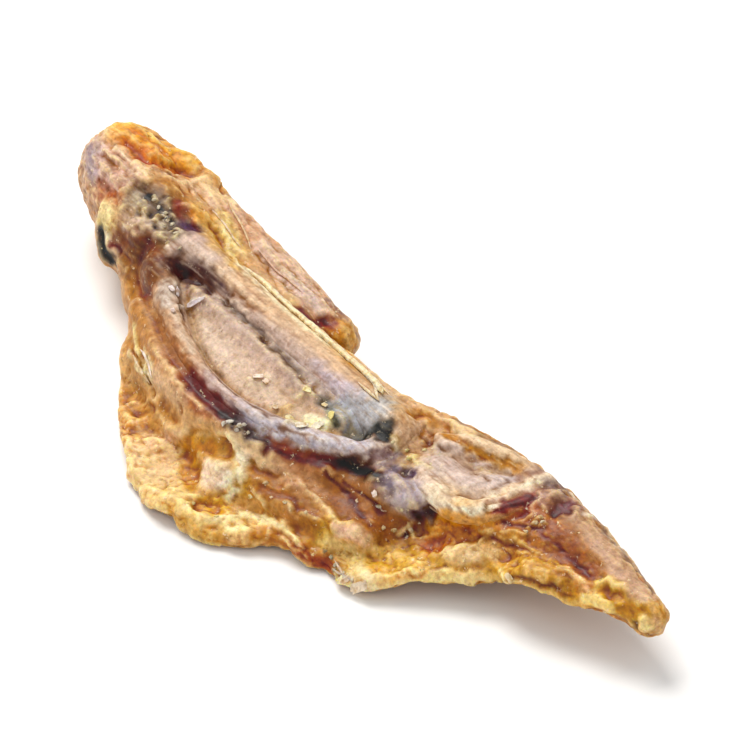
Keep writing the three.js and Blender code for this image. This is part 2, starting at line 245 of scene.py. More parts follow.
def flap_field(x, y, z):
    x2, y2 = np.broadcast_arrays(x[..., :1], y[..., :1]) if z.ndim == 3 and z.shape[0] == 1 else (x, y)
    zf, out = flap_middle(x2, y2)
    edge = flap_edge_y(x2)
    along = (x2 - FLAP_X[0]) / (FLAP_X[1] - FLAP_X[0])
    step = 0.05
    gx = (flap_middle(x2 + step, y2)[0] - zf) / step
    gy = (flap_middle(x2, y2 + step)[0] - zf) / step
    ex = (flap_edge_y(x2 + step) - edge) / step
    past = (edge - y2) / np.sqrt(1 + np.clip(ex, -1.5, 1.5) ** 2)
    past = np.maximum(past, y2 - mix(*FLAP_ROOT_Y, along) - 0.5)
    past = np.maximum(past, np.maximum(FLAP_X[0] - x2, x2 - FLAP_X[1]))
    r = mix(1.15, 0.8, np.clip(out, 0, 1))
    dz = (z - zf) / np.sqrt(1 + gx ** 2 + gy ** 2)
    return np.sqrt(np.maximum(past + r, 0) ** 2 + dz ** 2) - r


def smin(a, b, k):
    h = np.maximum(k - np.abs(a - b), 0) / k
    return np.minimum(a, b) - h * h * k / 4


def smax(a, b, k):
    return -smin(-a, -b, k)


# ------------------------------------------------------------------------------------------------ grid of the fields
LOW, HIGH = np.array([-0.5, -24.0, -0.6]), np.array([82.5, 6.5, 12.2])


def axis_of(i):
    return np.arange(LOW[i], HIGH[i] + GRID, GRID, dtype=np.float32)


AX = [axis_of(i) for i in range(3)]
SHAPE = tuple(len(a) for a in AX)
FAR = 6.0


def field_on_grid(name, reach=2.0):
    """The limb's field on the whole grid, worked out only near it."""
    L = LIMBS[name]
    pts = np.array([np.array(L["a"]) * (1 - t) + np.array(L["b"]) * t + np.array(L["bow"]) * math.sin(math.pi * t ** L["skew"]) for t in np.linspace(0, 1, 30)])
    pad = max(L["w"] + L["h"]) + reach
    lo, hi = pts.min(0) - pad, pts.max(0) + pad
    s = [slice(max(0, int((lo[i] - LOW[i]) / GRID)), min(SHAPE[i], int((hi[i] - LOW[i]) / GRID) + 2)) for i in range(3)]
    out = np.full(SHAPE, FAR, np.float32)
    x, y, z = AX[0][s[0]][:, None, None], AX[1][s[1]][None, :, None], AX[2][s[2]][None, None, :]
    out[s[0], s[1], s[2]] = limb_field(name, x, y, z)
    return out


def flap_on_grid():
    x, y, z = AX[0][:, None, None], AX[1][None, :, None], AX[2][None, None, :]
    return flap_field(np.broadcast_to(x, SHAPE[:2] + (1,)), np.broadcast_to(y, SHAPE[:2] + (1,)), z).astype(np.float32)


F = {n: field_on_grid(n) for n in LIMBS}
F["flap"] = flap_on_grid()

hand = smin(F["major"], F["minor"], 0.9)
hand = smin(smin(hand, F["fuse_near"], 1.2), F["fuse_far"], 1.2)
finger_bone = smin(smin(F["plate"], F["rim_lead"], 0.8), F["rim_trail"], 0.8)

flesh = smin(F["palm"], F["wrist"], 1.6)
flesh = smin(flesh, F["flap"], 1.5)
flesh = smin(flesh, F["finger"], 1.6)
flesh = smin(flesh, F["tip"], 1.4)
flesh = smin(flesh, F["cuff"], 0.8)
flesh = smin(flesh, F["thumb"], 1.0)
flesh = smin(flesh, F["sinew"], 0.9)
flesh = smin(flesh, F["knuckle"], 0.9)
flesh = smin(flesh, F["roll"], 0.6)
flesh = smin(flesh, F["front_film"], 1.4)
flesh = smin(flesh, F["lead_film"], 1.6)
flesh = smin(flesh, F["rear_film"], 1.6)
flesh = smin(flesh, F["apron"], 1.9)
flesh = smin(flesh, F["minor_digit"], 0.6)
flesh = smin(flesh, hand + 0.30, 0.9)
flesh = smin(flesh, finger_bone + 0.28, 0.7)
table = -(AX[2][None, None, :] - 0.02) * np.ones(SHAPE, np.float32)
flesh = smax(flesh, table, 0.5)


def surface_nets(field):
    """Vertices (mm, wing frame) and quads of the zero surface of a field, facing out."""
    inside = field < 0
    corners = [(i, j, k) for i in (0, 1) for j in (0, 1) for k in (0, 1)]
    n = tuple(s - 1 for s in field.shape)
    count = np.zeros(n, np.int8)
    for c in corners:
        count += inside[c[0]:c[0] + n[0], c[1]:c[1] + n[1], c[2]:c[2] + n[2]]
    live = (count > 0) & (count < 8)
    cell = np.argwhere(live)
    index = np.full(n, -1, np.int64)
    index[live] = np.arange(len(cell))
    value = {c: field[cell[:, 0] + c[0], cell[:, 1] + c[1], cell[:, 2] + c[2]] for c in corners}
    total = np.zeros((len(cell), 3))
    hits = np.zeros(len(cell))
    for c in corners:
        for ax in range(3):
            if c[ax]:
                continue
            d = tuple(v + (1 if i == ax else 0) for i, v in enumerate(c))
            fa, fb = value[c], value[d]
            cross = (fa < 0) != (fb < 0)
            t = np.where(cross, fa / np.where(cross, fa - fb, 1), 0)
            p = np.repeat(np.array([c], float), len(cell), 0)
            p[:, ax] += t
            total += np.where(cross[:, None], p, 0)
            hits += cross
    verts = (cell + total / hits[:, None]) * GRID + LOW
    quads = []
    for ax in range(3):
        u, v = [(1, 2), (2, 0), (0, 1)][ax]
        sa = [slice(None)] * 3
        sb = [slice(None)] * 3
        sa[ax], sb[ax] = slice(0, -1), slice(1, None)
        A, B = inside[tuple(sa)], inside[tuple(sb)]
        where = np.argwhere(A != B)
        ok = np.ones(len(where), bool)
        for w in (u, v):
            ok &= (where[:, w] > 0) & (where[:, w] < field.shape[w] - 1)
        where = where[ok]
        out = A[tuple(where.T)]
        def at(du, dv):
            q = where.copy()
            q[:, u] -= du
            q[:, v] -= dv
            return index[tuple(q.T)]
        ring = np.stack([at(1, 1), at(0, 1), at(0, 0), at(1, 0)], 1)
        ring[~out] = ring[~out][:, ::-1]
        quads.append(ring)
    return verts, np.concatenate(quads)


def largest_piece(verts, quads):
    """Only the largest connected piece of a mesh."""
    label = np.arange(len(verts))
    edges = np.concatenate([quads[:, [0, 1]], quads[:, [1, 2]], quads[:, [2, 3]]])
    while True:
        low = np.minimum(label[edges[:, 0]], label[edges[:, 1]])
        new = label.copy()
        np.minimum.at(new, edges[:, 0], low)
        np.minimum.at(new, edges[:, 1], low)
        while True:
            jump = new[new]
            if (jump == new).all():
                break
            new = jump
        if (new == label).all():
            break
        label = new
    names, counts = np.unique(label, return_counts=True)
    keep = label == names[counts.argmax()]
    remap = np.cumsum(keep) - 1
    return verts[keep], remap[quads[keep[quads[:, 0]]]]


def normals(verts, quads):
    d1, d2 = verts[quads[:, 2]] - verts[quads[:, 0]], verts[quads[:, 3]] - verts[quads[:, 1]]
    n = np.cross(d1, d2)
    out = np.zeros_like(verts)
    for k in range(4):
        for i in range(3):
            out[:, i] += np.bincount(quads[:, k], n[:, i], len(verts))
    return out / np.maximum(np.linalg.norm(out, axis=1), 1e-12)[:, None]


def relax(verts, quads, times=1, by=0.5):
    """Each vertex moves towards the middle of its neighbours."""
    e = np.concatenate([quads[:, [0, 1]], quads[:, [1, 2]], quads[:, [2, 3]], quads[:, [3, 0]]])
    e = np.concatenate([e, e[:, ::-1]])
    n = np.bincount(e[:, 0], minlength=len(verts))
    for _ in range(times):
        s = np.stack([np.bincount(e[:, 0], verts[e[:, 1], i], len(verts)) for i in range(3)], 1)
        verts = mix(verts, s / n[:, None], by)
    return verts


def soften(value, quads, count, times=2):
    """The same for a number per vertex."""
    e = np.concatenate([quads[:, [0, 1]], quads[:, [1, 2]], quads[:, [2, 3]], quads[:, [3, 0]]])
    e = np.concatenate([e, e[:, ::-1]])
    n = np.bincount(e[:, 0], minlength=count)
    for _ in range(times):
        value = mix(value, np.bincount(e[:, 0], value[e[:, 1]], count) / n, 0.5)
    return value


# top of everything, as a height map over the table
_all = np.minimum(np.minimum(flesh, hand), finger_bone)
_in = _all < 0
_first = SHAPE[2] - 1 - _in[:, :, ::-1].argmax(2)
TOP = np.where(_in.any(2), AX[2][np.minimum(_first, SHAPE[2] - 1)], 0.0)


def top_z(x, y):
    i = np.clip((np.asarray(x) - LOW[0]) / GRID, 0, SHAPE[0] - 2)
    j = np.clip((np.asarray(y) - LOW[1]) / GRID, 0, SHAPE[1] - 2)
    a, b = i.astype(int), j.astype(int)
    u, v = i - a, j - b
    return (TOP[a, b] * (1 - u) * (1 - v) + TOP[a + 1, b] * u * (1 - v) + TOP[a, b + 1] * (1 - u) * v + TOP[a + 1, b + 1] * u * v)


skin_v, skin_q = largest_piece(*surface_nets(flesh))
hand_v, hand_q = largest_piece(*surface_nets(hand))
finger_v, finger_q = largest_piece(*surface_nets(finger_bone))
skin_v = relax(skin_v, skin_q, 2)
hand_v = relax(hand_v, hand_q, 2)
finger_v = relax(finger_v, finger_q, 2)
print("triangles", len(skin_q) * 2, len(hand_q) * 2, len(finger_q) * 2)


# ------------------------------------------------------------------------------------------------ strokes
STROKES = [  # what it is, half width mm, relief mm, colour, strength, (x, y, z, x, y, z, ...) mm in the wing frame
    ('ground, lower gold', 2.3, 0, (244, 208, 140), 0.8, (35.0, -20.5, 1.4, 40.7, -21.7, 2.0, 43.9, -20.1, 1.5, 46.0, -18.4, 1.6)),
    ('ground, left amber', 1.5, 0, (206, 140, 62), 0.75, (28.1, -18.0, 1.9, 27.8, -16.3, 2.1, 31.0, -15.9, 4.6)),
    ('ground, upper olive', 1.2, 0, (186, 136, 80), 0.7, (25.9, -15.1, 3.7, 29.3, -15.6, 4.5)),
    ('ground, rosy', 1.3, 0, (236, 184, 134), 0.7, (32.0, -17.0, 2.8, 33.3, -19.2, 1.9, 34.8, -20.9, 1.4)),
    ('ground, middle gold', 1.8, 0, (230, 176, 104), 0.7, (41.8, -16.9, 3.3, 44.7, -16.2, 2.7, 44.6, -18.4, 1.6)),
    ('ground, brown by the crease', 1.8, 0, (168, 108, 52), 0.8, (43.6, -14.2, 4.7, 46.4, -13.3, 4.5, 48.2, -11.0, 5.1, 50.3, -9.3, 5.5)),
    ('ground, rust', 1.4, 0, (176, 100, 40), 0.8, (48.8, -16.3, 2.1, 51.4, -15.7, 1.7, 52.8, -15.1, 1.2)),
    ('ground, cream by the crease', 0.9, 0.15, (248, 216, 172), 0.85, (39.1, -14.9, 6.2, 41.2, -14.3, 5.9, 42.8, -13.7, 5.6)),
    ('ground, yellow gold', 1.5, 0, (230, 178, 72), 0.85, (54.5, -12.7, 2.1, 57.3, -12.2, 2.2, 59.6, -11.6, 2.9, 61.4, -9.2, 3.2)),
    ('ground, bottom edge', 0.8, 0, (236, 184, 98), 0.75, (59.1, -12.8, 2.2, 61.0, -10.2, 2.7, 63.4, -7.6, 2.9, 66.9, -5.5, 3.5)),
    ('ground, brown under the digit', 1.4, 0, (178, 116, 56), 0.75, (53.0, -11.2, 4.2, 54.4, -9.7, 3.8, 55.7, -8.1, 3.4)),
    ('ground, deep rust', 1.9, 0, (178, 98, 24), 0.9, (64.1, -3.1, 6.1, 66.2, -1.6, 6.6, 69.3, -1.5, 6.4, 72.8, -1.6, 6.0)),
    ('ground, golden', 1.6, 0, (200, 138, 36), 0.9, (66.4, -5.9, 4.6, 69.2, -5.1, 5.5, 71.2, -3.4, 5.8)),
    ('ground, pale hill', 0.8, 0.25, (228, 188, 130), 0.75, (61.1, -7.2, 4.0, 62.4, -6.3, 4.0)),
    ('ground, edge yellow', 0.5, 0.1, (236, 184, 80), 0.8, (68.9, -5.2, 4.4, 71.9, -3.9, 4.6, 74.2, -2.7, 5.0)),
    ('ground, minor outer side', 0.9, 0, (190, 126, 62), 0.85, (26.1, -11.9, 7.9, 28.7, -12.9, 7.8, 31.0, -13.5, 7.6)),
    ('ground, waist', 1.2, -0.2, (120, 68, 38), 0.95, (13.6, -7.8, 7.6, 15.5, -7.8, 8.0, 18.5, -8.8, 8.4, 20.2, -9.6, 7.9)),
    ('ground, mottled', 1.2, -0.1, (124, 94, 72), 0.75, (13.2, -4.9, 10.2, 15.3, -4.8, 10.0, 15.1, -6.0, 9.6, 16.6, -4.6, 9.9)),
    ('ground, roll', 1, 0.1, (224, 142, 36), 0.95, (4.3, -2.1, 10.6, 5.8, -1.2, 10.7, 7.7, -0.6, 10.5, 8.9, 0.5, 9.5, 10.4, 1.6, 9.2, 10.6, 2.6, 8.8)),
    ('ground, cut end', 1, 0, (214, 190, 182), 0.75, (4.5, -4.2, 9.5, 6.6, -5.2, 9.2)),
    # painted shade: the dark of the hollow at the root of the bones
    ('ground, root hollow', 0.8, -0.3, (74, 48, 54), 0.8, (20.2, -6.0, 8.5, 22.3, -5.8, 8.5, 24.6, -5.6, 8.6)),
    ('ground, thumb', 1, 0, (228, 192, 168), 0.75, (22.9, 0.5, 7.4, 26.1, 0.4, 6.8, 28.4, 1.1, 6.3)),
    ('ground, thumb root', 0.8, 0.05, (228, 184, 100), 0.8, (19.0, -1.0, 8.3, 20.6, -1.2, 8.0, 23.8, -2.9, 8.9)),
    ('ground, thumb root orange', 0.8, 0, (210, 134, 72), 0.75, (18.9, 1.7, 8.1, 20.6, 1.5, 7.9, 21.9, 1.1, 7.6)),
    ('ground, major leading half', 0.7, 0, (216, 170, 112), 0.75, (22.9, -4.6, 9.2, 28.4, -4.9, 8.9, 32.9, -4.6, 8.8, 37.6, -4.2, 8.8, 40.5, -4.0, 8.7)),
    ('ground, major trailing half', 0.7, 0, (212, 188, 184), 0.75, (26.3, -5.3, 8.7, 30.6, -5.4, 8.5, 35.2, -5.1, 8.5, 39.8, -5.1, 8.3, 42.8, -4.9, 8.3)),
    # painted highlight along the roll's crest
    ('roll, pale crest', 0.6, 0.25, (250, 200, 110), 0.7, (4.0, -2.2, 10.4, 3.6, -0.6, 10.1, 3.2, 0.7, 9.3)),
    ('roll, orange body', 0.7, 0.2, (215, 130, 35), 0.9, (5.3, -1.4, 10.8, 6.7, -0.9, 10.6, 7.9, -0.8, 10.5)),
    ('roll, orange far body', 0.6, 0.05, (205, 125, 20), 0.9, (8.9, -0.1, 10.0, 9.6, 1.1, 9.2, 10.5, 1.6, 9.1)),
    # painted highlight along the roll's far crest, then painted shade under the roll
    ('roll, far crest', 0.35, 0.25, (240, 180, 90), 0.6, (6.2, 0.4, 10.0, 7.9, 0.7, 9.5, 8.9, 1.8, 9.3, 9.6, 2.4, 8.9, 10.6, 2.4, 8.9)),
    ('under the roll', 0.35, -0.4, (190, 110, 60), 0.5, (6.4, -2.3, 10.8, 8.1, -2.1, 10.8, 9.6, -1.9, 10.7, 10.0, -0.8, 10.3, 10.4, 0.1, 9.5, 11.1, 0.9, 9.0)),
    ('lip under the roll', 0.3, 0.25, (240, 200, 160), 0.6, (10.0, -1.8, 10.6, 10.6, -1.0, 10.3, 11.5, -0.6, 9.8, 11.5, 0.7, 9.0, 11.3, 1.8, 9.0)),
    ('cut end, lavender', 1.2, 0, (214, 186, 172), 0.6, (3.6, -3.1, 9.9, 5.0, -4.5, 9.4, 7.0, -5.1, 9.4)),
    ('cut end fibre', 0.25, 0.125, (235, 200, 180), 0.5, (4.9, -3.8, 10.0, 6.8, -4.0, 10.3, 8.5, -4.0, 10.5)),
    ('cut end fibre', 0.25, 0.125, (235, 200, 180), 0.5, (5.0, -4.5, 9.4, 7.6, -4.9, 9.8, 9.4, -4.9, 10.0)),
    ('cut end fibre', 0.25, 0.125, (240, 210, 180), 0.5, (6.8, -3.2, 10.6, 8.5, -3.5, 10.7, 10.2, -3.3, 10.7, 11.5, -3.3, 10.6)),
    ('between fibres', 0.22, -0.15, (170, 105, 75), 0.6, (5.5, -4.2, 9.9, 7.6, -4.3, 10.2, 9.6, -4.4, 10.4)),
    ('between fibres', 0.25, -0.15, (165, 95, 60), 0.6, (6.7, -5.4, 9.0, 8.5, -5.7, 9.1, 9.8, -5.8, 9.4)),
    ('between fibres', 0.2, -0.125, (180, 120, 80), 0.5, (6.6, -3.7, 10.4, 8.1, -3.7, 10.5, 9.8, -3.8, 10.6)),
    ('cut end, red brown', 0.8, -0.1, (180, 100, 60), 0.6, (8.2, -5.8, 8.9, 10.0, -6.0, 9.2)),
    ('cream band', 0.5, 0.3, (235, 205, 150), 0.85, (9.8, -7.3, 6.5, 11.1, -7.1, 8.0, 11.7, -6.5, 9.1, 10.9, -5.5, 9.8)),
    ('cream band, inner', 0.35, 0.15, (225, 190, 130), 0.7, (9.6, -6.9, 7.6, 10.4, -6.6, 8.6, 11.3, -6.3, 9.2)),
    ('cream knob', 0.4, 0.25, (225, 195, 110), 0.8, (9.7, -7.2, 6.6, 10.9, -7.3, 7.3, 11.5, -7.3, 7.7)),
    ('cream strip below', 0.3, 0.1, (225, 205, 170), 0.7, (11.1, -7.6, 6.5, 11.9, -8.1, 6.2, 12.8, -8.3, 5.7)),
    # painted shade: the dark sliver is the shaded underside at the edge of the cut
    ('dark sliver', 0.2, -0.1, (62, 68, 68), 0.9, (10.5, -7.9, 6.0, 11.5, -8.5, 5.5)),
    ('dark spot by the sliver', 0.35, -0.25, (120, 60, 60), 0.8, (13.6, -8.3, 6.3, 13.9, -8.1, 7.1)),
    ('waist, brown', 0.9, -0.15, (160, 85, 45), 0.8, (14.9, -8.4, 6.9, 16.0, -7.9, 7.9, 18.8, -8.8, 8.5, 19.3, -9.7, 7.5, 17.8, -9.4, 5.4)),
    ('waist, amber side', 0.5, 0.05, (215, 155, 90), 0.6, (14.3, -8.6, 5.6, 15.8, -9.0, 5.6, 17.2, -9.4, 5.2)),
    ('mottled', 1, -0.1, (118, 90, 66), 0.3, (13.0, -6.0, 9.6, 13.4, -4.8, 10.2, 15.1, -4.4, 10.1, 16.4, -4.4, 9.9)),
    ('dark speck', 0.24, -0.22, (55, 40, 35), 0.85, (13.2, -4.6, 10.3)),
    ('dark speck', 0.24, -0.22, (55, 40, 35), 0.85, (13.0, -5.9, 9.7)),
    ('dark speck', 0.24, -0.22, (55, 40, 35), 0.85, (14.2, -5.0, 10.1)),
    ('dark speck', 0.24, -0.22, (55, 40, 35), 0.85, (15.5, -4.8, 10.0)),
    ('dark speck', 0.24, -0.22, (55, 40, 35), 0.85, (14.4, -4.6, 10.2)),
    ('dark speck', 0.24, -0.22, (55, 40, 35), 0.85, (13.0, -5.4, 10.0)),
    ('dark speck', 0.24, -0.22, (55, 40, 35), 0.85, (15.5, -4.2, 10.1)),
    ('dark speck', 0.24, -0.22, (55, 40, 35), 0.85, (14.2, -5.8, 9.8)),
    ('dark speck', 0.24, -0.22, (55, 40, 35), 0.85, (15.5, -5.7, 9.8)),
    ('dark speck', 0.24, -0.22, (55, 40, 35), 0.85, (14.0, -3.8, 10.3)),
    ('dark red', 0.3, -0.15, (120, 50, 60), 0.8, (16.1, -3.3, 9.9, 16.3, -3.0, 9.8)),
    ('dark violet', 0.35, -0.15, (80, 60, 90), 0.85, (17.6, -3.8, 9.5, 17.8, -2.9, 9.3)),
    ('cream fleck', 0.2, 0.2, (245, 215, 195), 0.7, (14.4, -4.0, 10.3, 15.1, -3.5, 10.2, 15.3, -3.1, 10.1)),
    ('cream fleck', 0.22, 0.18, (236, 208, 175), 0.75, (16.1, -4.6, 10.0)),
    ('cream fleck', 0.22, 0.18, (236, 208, 175), 0.75, (17.3, -5.1, 9.6)),
    ('cream fleck', 0.22, 0.18, (236, 208, 175), 0.75, (17.4, -6.1, 9.1)),
    ('cream fleck', 0.22, 0.18, (236, 208, 175), 0.75, (18.0, -5.4, 9.2)),
    ('cream fleck', 0.22, 0.18, (236, 208, 175), 0.75, (15.6, -2.4, 9.8)),
    ('cream fleck', 0.22, 0.18, (236, 208, 175), 0.75, (16.5, -6.2, 9.4)),
    ('lavender patch', 0.7, 0.05, (200, 175, 170), 0.6, (18.5, -4.4, 9.4, 20.0, -4.2, 9.4, 21.0, -4.2, 9.3)),
    ('grey beige patch', 0.7, 0.2, (215, 190, 165), 0.7, (13.6, -7.1, 8.7, 14.9, -6.4, 9.4)),
    ('ochre', 0.6, 0.05, (225, 165, 80), 0.7, (15.3, -2.0, 9.8, 16.4, -1.4, 9.3, 17.2, -1.4, 9.0)),
    ('ochre', 0.7, -0.1, (205, 145, 80), 0.6, (12.1, -2.5, 10.5, 12.8, -1.8, 10.2, 13.7, -1.1, 9.6)),
    ('pale ridge', 0.6, 0.2, (245, 205, 170), 0.7, (13.0, 0.1, 9.1, 14.2, 0.7, 8.8, 15.3, 0.9, 8.7)),
    ('orange bump', 0.5, 0.3, (220, 155, 75), 0.6, (13.0, 1.8, 8.8, 13.0, 2.9, 8.1)),
    ('pale line', 0.3, 0.2, (240, 215, 180), 0.6, (10.4, -4.4, 10.4, 10.6, -3.7, 10.6, 10.4, -3.1, 10.7)),
    ('pale line', 0.3, 0.2, (240, 215, 180), 0.6, (10.6, -5.5, 9.8, 10.8, -5.2, 10.0)),
    ('thumb, pink', 0.9, 0, (222, 187, 172), 0.6, (16.2, 2.1, 8.3, 17.8, 2.4, 8.0, 19.7, 2.4, 7.8)),
    ('thumb, orange', 0.6, -0.1, (220, 150, 90), 0.6, (19.1, 1.7, 8.1, 20.5, 1.5, 7.9)),
    ('thumb root, yellow', 0.6, 0.1, (225, 185, 110), 0.6, (17.6, -0.4, 8.5, 20.2, -0.8, 8.1, 22.1, -1.0, 7.8)),
    ('thumb root fibre', 0.2, 0.2, (240, 205, 140), 0.6, (16.4, 0.1, 8.6, 18.9, -0.7, 8.3, 20.8, -1.0, 8.0)),
    ('thumb root crease', 0.25, -0.3, (180, 125, 60), 0.6, (17.8, -1.3, 8.8, 19.5, -1.4, 8.2, 22.3, -2.6, 8.7)),
    # painted shade in and around the hollow at the root
    ('root hollow, halo', 1, -0.04, (150, 100, 75), 0.5, (19.8, -7.1, 8.7, 20.8, -5.8, 8.6, 22.8, -5.8, 8.5)),
    ('root hollow', 0.55, -0.2, (66, 38, 48), 0.92, (20.3, -7.0, 8.4, 21.2, -5.9, 8.4, 22.7, -6.0, 8.2, 23.8, -5.9, 8.3)),
    ('root ridge', 0.6, 0.05, (215, 175, 150), 0.5, (22.1, -4.9, 9.1, 25.0, -4.8, 9.0, 28.2, -4.9, 8.9)),
    ('root crease', 0.28, -0.25, (110, 65, 45), 0.7, (25.7, -5.5, 8.6, 26.7, -5.3, 8.7, 28.6, -5.2, 8.7)),
    ('minor root, lavender', 0.7, 0.1, (205, 180, 160), 0.6, (21.2, -10.0, 7.8, 21.9, -9.3, 8.5, 21.8, -8.1, 8.1)),
    ('minor root fleck', 0.28, 0.2, (238, 218, 192), 0.8, (21.9, -8.9, 8.5, 21.9, -8.4, 8.4)),
    ('minor root crease', 0.2, -0.3, (90, 80, 60), 0.7, (22.2, -8.1, 7.9, 23.6, -8.9, 7.9)),
    ('dark spot', 0.3, -0.3, (70, 50, 40), 0.8, (25.2, -9.8, 7.9)),
    ('grey streak', 0.35, -0.1, (120, 105, 100), 0.6, (24.8, -6.0, 8.1, 26.3, -6.1, 8.0, 28.0, -6.3, 7.9)),
    ('root brown fold', 0.3, -0.2, (110, 85, 50), 0.6, (17.0, -6.7, 8.9, 18.5, -6.9, 9.0, 19.3, -8.0, 8.9)),
    ('major crest', 0.8, 0, (216, 181, 150), 0.5, (23.1, -5.2, 9.0, 26.3, -4.9, 8.9, 29.7, -4.8, 8.9, 32.5, -4.4, 8.9, 36.1, -4.4, 8.8, 39.7, -4.2, 8.7, 43.1, -4.2, 8.6)),
    ('major, brown line', 0.3, -0.045, (150, 95, 60), 0.6, (25.7, -5.6, 8.5, 27.6, -5.2, 8.8, 29.1, -5.3, 8.7)),
    ('major side, lavender', 0.5, 0, (215, 198, 202), 0.65, (30.8, -5.9, 8.0, 32.9, -5.7, 8.1, 35.6, -5.7, 8.0, 38.6, -5.5, 8.0, 40.7, -5.3, 8.1)),
    # painted shade along the crevice beside the major bone, darkest in its spots
    ('front crevice', 0.2, -0.048, (108, 92, 86), 0.8, (25.0, -5.8, 8.3, 27.6, -6.1, 8.0, 29.9, -6.1, 7.9, 32.5, -6.5, 7.9, 34.8, -6.7, 7.8, 37.1, -6.9, 7.7, 38.4, -6.7, 7.7, 40.3, -6.9, 7.6, 42.0, -6.5, 7.6)),
    ('crevice, dark', 0.4, -0.3, (68, 58, 48), 0.85, (32.5, -6.3, 7.9)),
    ('crevice, dark', 0.4, -0.3, (68, 58, 48), 0.85, (38.6, -6.5, 7.7)),
    ('crevice, dark', 0.4, -0.3, (68, 58, 48), 0.85, (40.1, -6.5, 7.7)),
    ('crevice, dark', 0.4, -0.3, (68, 58, 48), 0.85, (41.8, -6.7, 7.6)),
    ('crevice, dark', 0.4, -0.3, (68, 58, 48), 0.85, (42.6, -6.5, 7.6)),
    ('major speck', 0.18, -0.03, (112, 80, 70), 0.7, (30.6, -5.1, 8.7)),
    ('major speck', 0.18, -0.03, (112, 80, 70), 0.7, (31.4, -5.2, 8.6)),
    ('major speck', 0.18, -0.03, (112, 80, 70), 0.7, (34.2, -4.7, 8.7)),
    ('major speck', 0.18, -0.03, (112, 80, 70), 0.7, (34.8, -5.0, 8.6)),
    ('major speck', 0.18, -0.03, (112, 80, 70), 0.7, (42.6, -4.6, 8.5)),
    ('major speck', 0.18, -0.03, (112, 80, 70), 0.7, (30.3, -5.6, 8.3)),
    ('major speck', 0.18, -0.03, (112, 80, 70), 0.7, (34.4, -5.5, 8.2)),
    ('major speck', 0.18, -0.03, (112, 80, 70), 0.7, (41.4, -5.6, 7.7)),
    ('window, pale', 1.2, 0.1, (246, 224, 203), 0.5, (28.0, -8.8, 6.8, 30.1, -8.8, 6.8)),
    ('window, tan', 0.8, 0, (222, 186, 160), 0.5, (33.1, -10.1, 6.5, 33.9, -8.9, 6.8, 36.9, -9.2, 6.6)),
    # painted shade in the rear crevice
    ('rear crevice', 0.17, -0.15, (130, 100, 80), 0.7, (21.9, -7.6, 7.5, 25.7, -10.1, 8.0, 28.1, -10.9, 7.6, 30.8, -11.7, 7.5, 33.5, -12.4, 7.7, 36.3, -12.5, 7.7, 37.9, -11.7, 7.2)),
    ('rear crevice, dark', 0.28, -0.036, (80, 55, 50), 0.8, (25.3, -9.8, 7.9, 26.9, -10.8, 8.1)),
    ('window fleck', 0.35, 0.25, (246, 236, 192), 0.9, (35.0, -9.7, 6.6, 35.6, -8.7, 6.8)),
    ('window fleck', 0.25, 0.18, (242, 222, 184), 0.8, (31.6, -10.4, 6.4)),
    ('window fleck', 0.25, 0.18, (236, 222, 172), 0.8, (39.7, -9.1, 6.6)),
    ('window fleck', 0.25, 0.18, (240, 215, 190), 0.8, (32.3, -9.5, 6.7)),
    ('window flake', 0.4, 0.25, (250, 245, 202), 0.95, (42.4, -10.6, 7.5, 42.4, -9.1, 6.5, 43.5, -8.2, 6.7)),
    ('window flake', 0.3, 0.2, (240, 230, 152), 0.8, (40.1, -7.1, 7.5, 39.5, -7.1, 7.5)),
    ('window flake', 0.25, 0.25, (236, 226, 135), 0.9, (43.1, -6.9, 7.5, 43.7, -7.5, 7.1)),
    ('flake shade', 0.2, -0.2, (120, 100, 60), 0.8, (39.2, -10.0, 6.4, 39.9, -9.7, 6.4)),
    ('flake shade', 0.25, -0.1, (190, 140, 110), 0.5, (38.4, -8.6, 6.7, 39.5, -8.4, 6.8)),
    ('minor crest', 0.45, 0.05, (216, 182, 152), 0.6, (21.7, -10.1, 8.0, 24.2, -10.5, 8.4, 27.0, -10.9, 8.1, 30.1, -12.0, 7.9, 33.3, -12.9, 7.9, 35.9, -12.9, 7.8)),
    ('minor, lavender', 0.5, 0.05, (192, 181, 190), 0.8, (36.1, -13.3, 7.7, 38.3, -12.7, 7.7, 40.1, -12.0, 7.6, 42.0, -11.4, 7.5)),
    ('minor, lavender', 0.55, 0.05, (202, 196, 206), 0.8, (43.3, -11.5, 7.1, 45.3, -10.2, 7.2, 47.2, -8.9, 7.2, 48.6, -7.6, 7.4)),
    ('minor speck', 0.15, -0.08, (120, 110, 120), 0.7, (44.3, -10.9, 7.1)),
    ('minor speck', 0.15, -0.08, (120, 110, 120), 0.7, (45.2, -10.6, 6.9)),
    ('minor speck', 0.15, -0.08, (120, 110, 120), 0.7, (46.6, -9.6, 7.0)),
    ('minor speck', 0.15, -0.08, (120, 110, 120), 0.7, (47.9, -8.3, 7.3)),
    ('minor speck', 0.15, -0.08, (120, 110, 120), 0.7, (38.8, -12.5, 7.7)),
    ('minor speck', 0.15, -0.08, (120, 110, 120), 0.7, (41.8, -12.0, 7.3)),
    ('minor, dark line', 0.28, -0.075, (66, 55, 76), 0.8, (36.7, -13.6, 7.4, 38.4, -13.5, 7.1, 39.9, -13.3, 7.0, 41.8, -12.9, 6.8)),
    ('outer crease, brown', 0.7, -0.075, (175, 115, 65), 0.7, (21.2, -11.2, 7.0, 24.9, -12.8, 7.0, 28.6, -13.8, 7.2, 31.6, -14.1, 7.3, 33.7, -14.3, 7.3)),
    ('outer crease, red', 0.65, -0.15, (122, 33, 20), 0.95, (32.9, -14.6, 7.2, 34.8, -14.4, 7.2, 36.5, -14.3, 7.1, 37.6, -14.1, 7.1)),
